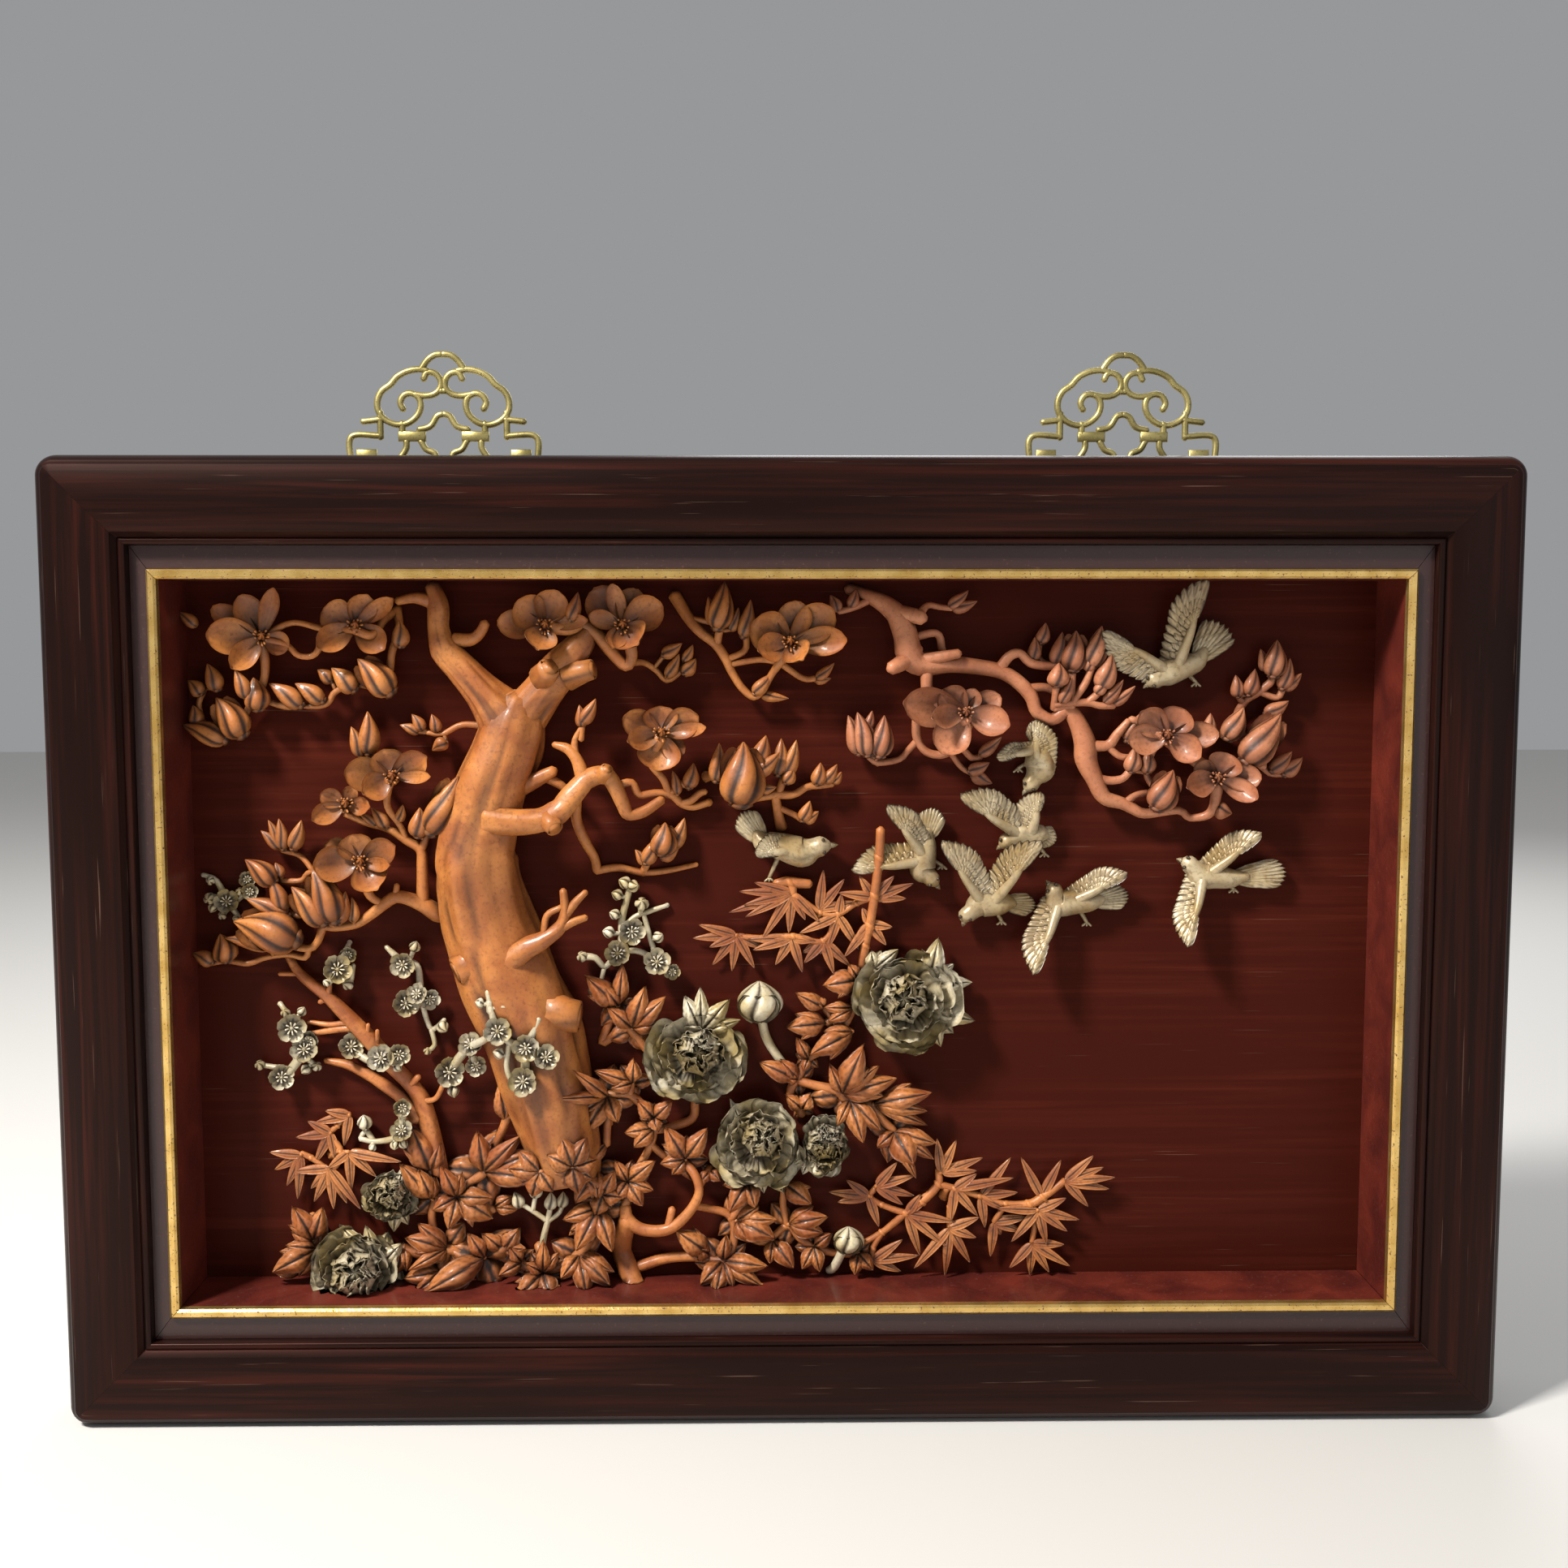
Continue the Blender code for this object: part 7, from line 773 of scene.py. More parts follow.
# Birds: beak tip, middle of the head and its radius, the breast and rump with their radii, the tail's end
# and width, and the wings (root x, root z, tip x, tip z, width, tip lift, side of the trailing feathers)
BIRDS = {
    "bird_top": dict(
        beak=(237, 161), head=(243, 166, 5.6), breast=(252, 171, 8.5), rump=(272, 179, 6.5), tail=(290, 203,
                                                                                                   22),
        wings=((257, 180, 275, 231, 17, 30, -1), (251, 179, 211, 195, 17, 24, -1)), feet=((272, 165),)),
    "bird_head_down": dict(
        beak=(158, 91), head=(163, 98, 5.6), breast=(169, 108, 10), rump=(169, 126, 7), tail=(164, 140, 9),
        wings=((176, 106, 168, 139, 14, 20, 1), (163, 122, 142, 117, 7, 20, 1)), feet=((155, 109),)),
    "bird_perched": dict(
        beak=(36, 59), head=(25, 58, 6.5), breast=(12, 54, 10), rump=(-14, 61, 7), tail=(-29, 80, 15),
        wings=((8, 60, -18, 55, 13, 24, 1), (12, 50, -14, 55, 10, 16, 1)), feet=((-10, 37),)),
    "bird_middle_left": dict(
        beak=(104, 29), head=(99, 35, 5.4), breast=(92, 42, 8.5), rump=(94, 62, 6.5), tail=(100, 83, 14),
        wings=((86, 52, 71, 84, 13, 28, 1), (82, 49, 47, 44, 16, 16, 1)), feet=((105, 45),)),
    "bird_middle_high": dict(
        beak=(141, 55), head=(147, 60, 5.6), breast=(156, 65, 8), rump=(171, 65, 6.5), tail=(181, 61, 12),
        wings=((154, 69, 120, 92, 17, 28, 1), (164, 68, 168, 92, 15, 20, -1)), feet=((173, 53),)),
    "bird_middle_low": dict(
        beak=(119, 4), head=(121, 11, 5.4), breast=(130, 19, 8.5), rump=(147, 20, 7), tail=(168, 18, 11),
        wings=((132, 29, 108, 60, 16, 26, 1), (138, 33, 168, 60, 17, 32, -1)), feet=((145, 8),)),
    "bird_right_low": dict(
        beak=(174, 35), head=(179, 29, 5.6), breast=(183, 20, 8.5), rump=(205, 21, 6.5), tail=(230, 25, 13),
        wings=((192, 29, 226, 40, 13, 18, -1), (184, 12, 166, -25, 16, 30, 1)), feet=((202, 7),)),
    "bird_right": dict(
        beak=(261, 49), head=(269, 46, 5.6), breast=(278, 38, 8.5), rump=(298, 36, 6.5), tail=(335, 40, 16),
        wings=((283, 49, 315, 66, 14, 18, -1), (279, 33, 269, -7, 15, 30, 1)), feet=((300, 29),)),
}


def seen(x, z, lift):
    """The point that is lift millimetres off the board and that the viewer sees at x, z on the board."""
    on_board = np.array((x * MM * STRETCH_X, -BOARD_THICKNESS, z * MM * STRETCH_Z))
    return on_board + (VIEWER - on_board) * (lift * MM / (-BOARD_THICKNESS - VIEWER[1]))


def unit(vector):
    return vector / max(np.linalg.norm(vector), 1e-12)


class Shape:
    """Points, faces and shades gathered from many forms. inside keeps them within the recess."""

    inside = True

    def __init__(self):
        self.points, self.faces, self.shades, self.count = [], [], [], 0
        self.tone, self.tones = 0, []

    def add(self, points, faces, shades):
        points = np.asarray(points, float).reshape(-1, 3)
        self.tones += [self.tone] * len(faces)
        self.points.append(points)
        self.faces += [tuple(index + self.count for index in face) for face in faces]
        self.shades.append(np.broadcast_to(np.asarray(shades, float).ravel(), (len(points),)))
        self.count += len(points)

    def object(self, name, *materials):
        points = np.concatenate(self.points)
        half_width, half_height = RECESS_WIDTH / 2 - WALL_GAP, RECESS_HEIGHT / 2 - WALL_GAP
        if self.inside:
            points[:, 0] = np.clip(points[:, 0], -half_width, half_width)
            points[:, 2] = np.clip(points[:, 2], -half_height, half_height)
            points[:, 1] = np.clip(points[:, 1], -FRONT_LIMIT, -BOARD_THICKNESS - BOARD_GAP)
        mesh = bpy.data.meshes.new(name)
        mesh.from_pydata(points.tolist(), [], self.faces)
        shade = mesh.attributes.new("shade", "FLOAT", "POINT")
        shade.data.foreach_set("value", np.concatenate(self.shades).astype(np.float32))
        for material in materials:
            mesh.materials.append(material)
        mesh.polygons.foreach_set("material_index", np.array(self.tones, dtype=np.int32))
        mesh.shade_smooth()
        mesh.validate()
        made = bpy.data.objects.new(name, mesh)
        bpy.context.scene.collection.objects.link(made)
        return made


def strip_faces(rows, columns, closed):
    """Quads between rows of points. closed joins each row's end to its start."""
    faces = []
    for row in range(rows - 1):
        for column in range(columns if closed else columns - 1):
            after = (column + 1) % columns
            faces.append((row * columns + column, row * columns + after,
                          (row + 1) * columns + after, (row + 1) * columns + column))
    return faces


def resampled(points, step):
    """A smooth line through the points, with a point about every step."""
    points = np.asarray(points, float)
    if len(points) < 3:
        count = max(2, int(np.linalg.norm(points[-1, :3] - points[0, :3]) / step) + 1)
        share = np.linspace(0, 1, count)[:, None]
        return points[0] + (points[-1] - points[0]) * share
    ends = np.vstack((2 * points[0] - points[1], points, 2 * points[-1] - points[-2]))
    line = []
    for index in range(1, len(ends) - 2):
        p0, p1, p2, p3 = ends[index - 1:index + 3]
        count = max(2, int(round(np.linalg.norm(p2[:3] - p1[:3]) / step)))
        for t in np.arange(count) / count:
            line.append(0.5 * (2 * p1 + (p2 - p0) * t + (2 * p0 - 5 * p1 + 4 * p2 - p3) * t * t
                               + (3 * p1 - p0 - 3 * p2 + p3) * t ** 3))
    line.append(points[-1])
    return np.array(line)


def tube(shape, line, sides, shade=0.0, knobs=0.0, flat=1.0):
    """A bar along a line of (x, y, z, radius), with round ends and a gently uneven skin."""
    centres, radii = line[:, :3], line[:, 3]
    ways = np.gradient(centres, axis=0)
    ways /= np.maximum(np.linalg.norm(ways, axis=1), 1e-12)[:, None]
    side = unit(np.cross(ways[0], (0.13, -1.0, 0.21)))
    rings, shades = [], []
    angles = np.arange(sides) * 2 * math.pi / sides
    cap = min(radii[0] * 0.6, 0.004), min(radii[-1] * 0.6, 0.004)
    stations = [(centres[0] - ways[0] * cap[0], radii[0] * 0.35, ways[0])]
    stations += list(zip(centres, radii, ways))
    stations += [(centres[-1] + ways[-1] * cap[1], radii[-1] * 0.35, ways[-1])]
    for centre, radius, way in stations:
        side = unit(side - way * np.dot(side, way))
        other = np.cross(way, side)
        spread = np.full(sides, radius)
        dark = np.zeros(sides)
        if knobs:
            for index, angle in enumerate(angles):
                around = side * math.cos(angle) + other * math.sin(angle)
                slow = noise.noise(Vector(centre * 22 + around * 1.1))
                folds = noise.noise(Vector(centre * 14 + around * 4.5)) * min(1.0, radius / 0.012)
                spread[index] = radius * (1 + knobs * (0.7 * slow + 0.55 * folds))
                dark[index] = max(0.0, -folds - 0.12) * 1.3
        ring = centre + (np.cos(angles)[:, None] * side + np.sin(angles)[:, None] * other) * spread[:, None]
        if flat != 1.0:
            ring[:, 1] = centre[1] + (ring[:, 1] - centre[1]) * flat
        rings.append(ring)
        shades.append(dark + shade)
    faces = strip_faces(len(rings), sides, True)
    last = (len(rings) - 1) * sides
    faces.append(tuple(reversed(range(sides))))
    faces.append(tuple(last + index for index in range(sides)))
    shape.add(np.concatenate(rings), faces, np.concatenate(shades))


def limb(shape, places, sides=10, step=3.0, knobs=0.12, shade=0.0):
    line = np.array([(*seen(x, z, lift), radius * MM) for x, z, lift, radius in places])
    tube(shape, resampled(line, step * MM), sides, shade, knobs)


def sheet(shape, base, tip, width, outline, relief, thickness, rows, columns, out=None):
    """A leaf, petal or feather: outline gives its half width and relief its height and shade along it."""
    base, tip = np.asarray(base, float), np.asarray(tip, float)
    length = np.linalg.norm(tip - base)
    along = unit(tip - base)
    across = unit(np.cross(along, unit(VIEWER - base) if out is None else out))
    up = np.cross(across, along)
    u, v = np.meshgrid(np.linspace(0, 1, rows), np.linspace(-1, 1, columns), indexing="ij")
    height, shade = relief(u, v, length, width)
    half = width / 2 * outline(u)
    middle = (base + u[..., None] * length * along + (v * half)[..., None] * across
              + height[..., None] * up)
    thick = (thickness / 2 * (1 - 0.75 * v * v) * (1 - 0.6 * u ** 6))[..., None] * up
    front, back = middle + thick, middle - thick
    count = rows * columns
    faces = strip_faces(rows, columns, False)
    faces += [tuple(index + count for index in reversed(face)) for face in faces]
    rim = ([(row, 0) for row in range(rows)] + [(rows - 1, column) for column in range(1, columns)]
           + [(row, columns - 1) for row in range(rows - 2, -1, -1)]
           + [(0, column) for column in range(columns - 2, 0, -1)])
    loop = [row * columns + column for row, column in rim]
    for one, other in zip(loop, loop[1:] + loop[:1]):
        faces.append((one, one + count, other + count, other))
    # The back faces are 0.25 darker: painted shade on the side turned to the board
    shape.add(np.concatenate((front.reshape(-1, 3), back.reshape(-1, 3))), faces,
              np.concatenate((shade.ravel(), np.clip(shade.ravel() + 0.25, 0, 1))))


def petal_outline(u):
    return 0.16 + 0.84 * np.clip(np.sin(math.pi * u ** 1.25), 0, 1) ** 0.62


def leaf_outline(u):
    return 0.05 + 0.95 * np.clip(np.sin(math.pi * u ** 0.85), 0, 1) ** 0.9


def slim_outline(u):
    return 0.07 + 0.93 * np.clip(np.sin(math.pi * u ** 0.62), 0, 1) ** 0.8


def feather_outline(u):
    tip = np.sqrt(np.clip(1 - ((u - 0.7) / 0.3).clip(0) ** 2, 0, 1))
    return 0.3 + 0.7 * np.minimum(1, u * 3) ** 0.7 * tip - 0.25 * u ** 8


def petal_relief(twist, turned):
    """A spoon-shaped petal, its sides and tip turned up or back."""
    def relief(u, v, length, width):
        cup = -0.16 * length * np.sin(math.pi * u ** 0.9)
        sides = width * 0.24 * v * v * np.sin(math.pi * np.clip(u * 0.8 + 0.1, 0, 1))
        curl = -turned * length * np.clip(u - 0.72, 0, 1) ** 2
        ribs = 0.00022 * np.cos(v * 17 + twist) * np.sin(math.pi * u)
        wave = 0.0007 * np.sin(5 * u + twist) * v
        shade = 0.55 * (1 - u) ** 2 + 0.10 * (np.cos(v * 17 + twist) < -0.5) + 0.06 * (np.abs(v) > 0.92)
        return cup + sides + curl + ribs + wave, np.clip(shade, 0, 1)
    return relief


def leaf_relief(twist, crest):
    """A leaf with a cut middle vein, slanting side veins and a wavy edge."""
    def relief(u, v, length, width):
        arch = crest * length * np.sin(math.pi * u) - 0.16 * length * np.clip(u - 0.55, 0, 1) ** 1.5
        swell = 0.09 * width * np.sin(math.pi * np.abs(v)) * np.sin(math.pi * u)
        fold = -0.26 * width * np.abs(v) ** 1.8 + swell
        fold = fold + 0.11 * width * v * np.sin(twist) * u
        middle = np.exp(-(v / 0.095) ** 2) * (u < 0.93)
        slant = np.cos((u * 6.0 - np.abs(v) * 1.3) * 2 * math.pi)
        veins = np.clip(slant - 0.55, 0, 1) / 0.45 * (np.abs(v) > 0.12)
        wave = 0.05 * width * np.sin(u * 11 + twist + v) * np.abs(v)
        height = arch + fold - 0.0017 * middle - 0.0005 * veins + wave
        rim = np.clip((np.abs(v) - 0.86) / 0.14, 0, 1)
        return height, np.clip(middle + 0.42 * veins + 0.5 * (1 - u) ** 3 + 0.25 * rim, 0, 1)
    return relief


def bamboo_relief(u, v, length, width):
    groove = np.exp(-(v / 0.16) ** 2)
    side_cut = np.exp(-((np.abs(v) - 0.55) / 0.12) ** 2)
    arch = 0.03 * length * np.sin(math.pi * u)
    height = arch - 0.0008 * groove - 0.0003 * side_cut - 0.05 * width * np.abs(v)
    return height, np.clip(0.95 * groove + 0.4 * side_cut, 0, 1)


def feather_relief(rise):
    """A feather with a raised shaft and slanting barbs."""
    def relief(u, v, length, width):
        barbs = 0.5 + 0.5 * np.cos((u * length / 0.0016 - np.abs(v) * 1.6) * 2 * math.pi)
        shaft = np.exp(-(v / 0.12) ** 2)
        height = rise * np.sin(math.pi * u) * length + 0.0005 * shaft - 0.0009 * np.abs(v) ** 1.5
        shade = 0.6 * (np.abs(v) > 0.78) + 0.4 * (barbs < 0.35) + 0.3 * u ** 4 - 0.2 * shaft
        return height, np.clip(shade, 0, 1)
    return relief


def round_outline(u):
    return 0.22 + 0.78 * np.clip(np.sin(math.pi * np.clip(u, 0, 1) ** 1.55), 0, 1) ** 0.5


def petal_cup(u, v, length, width):
    """A small round petal, hollow in its middle and dark towards the heart."""
    bowl = -0.24 * length * np.sin(math.pi * u ** 1.2) * (1 - 0.6 * v * v) + 0.10 * width * v * v
    crease = np.exp(-(v / 0.16) ** 2) * (u < 0.8)
    return bowl - 0.0003 * crease, np.clip(1.1 * (1 - u) ** 1.3 + 0.35 * crease * (u < 0.6), 0, 1)


def bloom_relief(twist, ruffle, cup):
    """A peony petal with a ruffled, notched edge."""
    def relief(u, v, length, width):
        bowl = -cup * length * np.sin(math.pi * u ** 0.8) + 0.20 * width * v * v * u
        lip = 0.16 * length * np.clip(u - 0.78, 0, 1) ** 1.2
        frill = ruffle * u ** 2.5 * (np.sin(v * 5.0 + twist) + 0.5 * np.sin(v * 11.0 + 2 * twist))
        ribs = 0.00022 * np.cos(v * 15 + twist) * u
        creases = (np.cos(v * 15 + twist) < -0.72) * (u > 0.2) * (u < 0.85)
        return bowl + lip + frill + ribs, np.clip(1.15 * (1 - u) ** 1.1 - 0.12 + 0.35 * creases, 0, 1)
    return relief


def bloom_outline(u):
    rise = np.clip(u / 0.7, 0, 1)
    fall = np.clip((u - 0.72) / 0.28, 0, 1)
    return 0.24 + 0.76 * np.sin(math.pi / 2 * rise) ** 0.9 * np.sqrt(1 - 0.86 * fall ** 2.2)


def spindle(shape, base, tip, width, ridges, rings=11, sides=14, fullness=0.62, foot=None, shade=0.0):
    """A pointed bud with long grooves between its petals, on a stem from foot where that is given."""
    base, tip = np.asarray(base, float), np.asarray(tip, float)
    along = unit(tip - base)
    side = unit(np.cross(along, (0.2, -1.0, 0.1)))
    other = np.cross(along, side)
    length = np.linalg.norm(tip - base)
    sides = ridges * max(4, round(sides / ridges))
    turns = np.arange(sides) * 2 * math.pi / sides
    cut = np.abs(np.sin(ridges / 2 * turns))
    groove = np.clip(1 - cut / 0.6, 0, 1) ** 1.3
    points, shades = [], []
    for ring in range(rings):
        t = 0.02 + 0.97 * ring / (rings - 1)
        radius = width / 2 * max(0.0, math.sin(math.pi * t ** fullness)) ** 0.85
        angles = turns + 0.9 * t
        grow = 1 - 0.17 * groove * min(1.0, 3 * t) + 0.05 * cut
        centre = base + along * length * t + side * 0.02 * length * math.sin(3 * t)
        points.append(centre + (np.cos(angles)[:, None] * side + np.sin(angles)[:, None] * other)
                      * (radius * grow)[:, None])
        shades.append(0.85 * groove + 0.35 * (1 - t) ** 3 + shade)
    faces = strip_faces(rings, sides, True)
    faces.append(tuple(reversed(range(sides))))
    faces.append(tuple((rings - 1) * sides + index for index in range(sides)))
    shape.add(np.concatenate(points), faces, np.clip(np.concatenate(shades), 0, 1))
    if foot is not None and np.linalg.norm(foot - base) > 0.001:
        end = base + along * length * 0.1
        tube(shape, resampled(np.array(((*foot, 0.0014), (*end, 0.0016))), 0.003), 6, 0.3)


def nearest(lines, x, z, lift):
    """The place on runs of (x, z, lift, radius) that is nearest to x, z, lift, and how far off it is."""
    here = np.array((x, z, lift), float)
    best = (1e9, here)
    for places in lines:
        for start, end in zip(places, places[1:]):
            low, high = np.array(start[:3], float), np.array(end[:3], float)
            way = high - low
            share = min(1.0, max(0.0, float(np.dot(here - low, way)) / max(float(np.dot(way, way)), 1e-9)))
            at = low + way * share
            off = float(np.linalg.norm(here - at))
            if off < best[0]:
                best = (off, at)
    return best[1], best[0]


def rooted(lines):
    """The runs, with each later run's start moved onto the runs before it where it is near."""
    made = [lines[0]]
    for places in lines[1:]:
        at, off = nearest(made, *places[0][:3])
        made.append((((*at, places[0][3]),) + tuple(places[1:])) if off < JOIN_REACH else places)
    return made


def stem_to(shape, lines, place, radius):
    """A short stem from the nearest run to a place that it doesn't reach."""
    at, off = nearest(lines, *place)
    if off > radius:
        limb(shape, ((*at, 1.5), (*place, 1.4)), 7)


def stand(shape, lines):
    """A foot from the lowest point of the runs to the board."""
    x, z, lift, radius = min((place for places in lines for place in places), key=lambda place: place[2])
    if lift > radius - 0.5:
        limb(shape, ((x, z, lift, radius), (x, z, 0.2, radius + 0.5)), 8)


def magnolia_flower(shape, heart, petals, seed):
    """An open flower, its lowest petals first, with a cone and stamens in its heart."""
    centre = seen(*heart)
    order = sorted(range(len(petals)), key=lambda index: petals[index][3])
    for index in order:
        x, z, width, lift = petals[index]
        tip = seen(x, z, lift)
        root = centre + unit(tip - centre) * 0.001
        sheet(shape, root, tip, width * MM * 1.12, petal_outline, petal_relief(seed + index, 0.5),
              0.0018, 13, 11)
    towards = unit(VIEWER - centre)
    cone = centre + towards * 0.010 + np.array((0, 0, 0.002))
    spindle(shape, centre - towards * 0.002, cone, 0.006, 5, 7, 10, 0.6)
    for index in range(11):
        turn = index * 2.4 + seed
        lean = np.array((math.cos(turn), 0, math.sin(turn)))
        start = centre + lean * 0.0018
        end = (centre + lean * (0.0045 + 0.001 * math.sin(3 * turn))
               + towards * (0.006 + 0.0015 * math.cos(5 * turn)))
        tube(shape, resampled(np.array(((*start, 0.0006), (*end, 0.0007))), 0.004), 5, 0.05)
    spindle(shape, centre - towards * 0.006, centre + towards * 0.001, 0.011, 3, 6, 10, 0.7, shade=0.3)


def magnolia(shape, spray, seed):
    lines = rooted(spray["twigs"])
    for places in lines:
        limb(shape, places, 9, 2.6, 0.16)
    for index, place in enumerate(spray["buds"]):
        base_x, base_z, tip_x, tip_z, width, lift = place
        at, off = nearest(lines, base_x, base_z, lift)
        base, tip = seen(base_x, base_z, lift), seen(tip_x, tip_z, lift + 1)
        foot = seen(*at) if off < JOIN_REACH else base
        spindle(shape, base, tip, width * MM * 1.15, 3 if width < 13 else 5, 13, 20, foot=foot)
        if width >= 8:
            calyx = base + (tip - base) * 0.24
            spindle(shape, base - (tip - base) * 0.04, calyx, width * MM * 0.62, 4, 6, 10, 0.5, shade=0.35)
        if width >= 15:
            for lean in (-0.3, 0.3):
                across = np.cross(unit(tip - base), unit(VIEWER - base)) * width * MM
                end = tip - (tip - base) * 0.10 + across * lean
                sheet(shape, base, end, width * MM * 0.8, petal_outline, petal_relief(seed + index, -0.3),
                      0.0016, 10, 9)
    for index, (heart, petals) in enumerate(spray["flowers"]):
        magnolia_flower(shape, heart, petals, seed + 7 * index)
        stem_to(shape, lines, heart, 2.0)
    stand(shape, lines)


def plum_blossom(shape, place, seed):
    x, z, lift, radius = place
    centre = seen(x, z, lift)
    size = radius * MM
    lean = unit(VIEWER - centre + np.array((math.sin(seed * 2.1), 0, math.cos(seed * 1.3))) * 0.35)
    side = unit(np.cross(lean, (0, 0, 1)))
    up = np.cross(side, lean)
    for index in range(5):
        turn = seed + index * 2 * math.pi / 5
        way = side * math.cos(turn) + up * math.sin(turn)
        end = centre + way * size * 1.03 + lean * size * 0.30
        sheet(shape, centre + way * size * 0.10, end, size * 0.98, round_outline, petal_cup, 0.0012, 9, 9,
              lean)
    spindle(shape, centre - lean * 0.001, centre + lean * size * 0.36, size * 0.36, 6, 7, 12, 0.75,
            shade=0.1)
    for index in range(8):
        turn = seed + index * math.pi / 4
        way = side * math.cos(turn) + up * math.sin(turn)
        end = centre + way * size * 0.42 + lean * size * 0.34
        tube(shape, resampled(np.array(((*centre, 0.0003), (*end, 0.0006))), 0.004), 5, 0.1)
    spindle(shape, centre - lean * 0.004, centre, size * 0.7, 5, 5, 10, 0.8, shade=0.4)


def plum_sprig(shape, sprig, seed):
    lines = rooted(sprig["stems"])
    for places in lines:
        limb(shape, places, 8, 2.6, 0.16, 0.2)
    for index, place in enumerate(sprig["blossoms"]):
        stem_to(shape, lines, place[:3], 2.5)
        plum_blossom(shape, place, seed + 1.7 * index)
    for index, place in enumerate(sprig["buds"]):
        x, z, lift, radius = place
        at, _ = nearest(lines, x, z, lift)
        start, middle = seen(*at), seen(x, z, lift)
        way = unit(middle - start + np.array((0, -0.0004, 0.0012)))
        end = middle + way * radius * MM * 1.15
        spindle(shape, middle - way * radius * MM, end, radius * MM * 2, 4, 8, 12, 0.8, foot=start)
    stand(shape, lines)


def leaf_fans(shape, lines, fans, seed):
    """Fans of lobes round a heart each, a side lobe on the broad ones, and small leaves behind the gaps."""
    for index, (heart, lobes) in enumerate(fans):
        centre = seen(*heart)
        stem_to(shape, lines, heart, 2.0)
        for turn, (x, z, width, lift) in enumerate(lobes):
            tip = seen(x, z, lift)
            sheet(shape, centre, tip, width * MM * 1.16, leaf_outline,
                  leaf_relief(seed + index + 2.3 * turn, 0.17), 0.0021, 15, 13)
            if width > 12:
                length = np.linalg.norm(tip - centre)
                across = np.cross(unit(tip - centre), unit(VIEWER - centre))
                lean = 1 if (index + turn) % 2 else -1
                start = centre + (tip - centre) * 0.22
                end = centre + (tip - centre) * 0.70 + across * lean * width * MM * 0.66
                sheet(shape, start, end, length * 0.26, leaf_outline, leaf_relief(turn + lean, 0.12), 0.0018,
                      11, 11)
        turns = sorted(math.atan2(z - heart[1], x - heart[0]) for x, z, width, lift in lobes)
        spans = [math.hypot(x - heart[0], z - heart[1]) for x, z, width, lift in lobes]
        reach = 0.8 * sum(spans) / len(lobes)
        for one, other in zip(turns, turns[1:] + [turns[0] + 2 * math.pi]):
            if not 0.9 < other - one < 5.5:
                continue
            for share in ((0.5,) if other - one < 2.2 else (0.3, 0.7)):
                turn = one + (other - one) * share
                lift = max(3.5, heart[2] - 4)
                tip = seen(heart[0] + reach * math.cos(turn), heart[1] + reach * math.sin(turn), lift)
                sheet(shape, seen(heart[0], heart[1], lift), tip, 0.72 * reach * MM, leaf_outline,
                      leaf_relief(seed + turn, 0.10), 0.0018, 10, 9)


def foliage(shape, stems, fans, seed):
    lines = rooted(stems)
    for places in lines:
        limb(shape, places, 9, 3, 0.14)
    leaf_fans(shape, lines, fans, seed)
    stand(shape, lines)


def peony_bud(shape, place, radius, stem):
    limb(shape, stem, 9)
    x, z, lift = place
    centre = seen(x, z, lift)
    size = radius * MM
    low, top = centre - np.array((0, 0, size)), centre + np.array((0, -0.002, size * 1.05))
    spindle(shape, low, top, size * 2.1, 5, 14, 24, 0.95)
    for index in range(6):
        turn = index * math.pi / 3 + 0.4
        foot = centre + np.array((0.3 * size * math.cos(turn), -0.4 * size, -0.85 * size))
        forward = -0.5 * size - 0.3 * size * abs(math.sin(turn))
        tip = centre + np.array((0.75 * size * math.cos(turn), forward, size * 0.5))
        sheet(shape, foot, tip, size, petal_outline, petal_relief(index, -0.4), 0.0012, 9, 9)


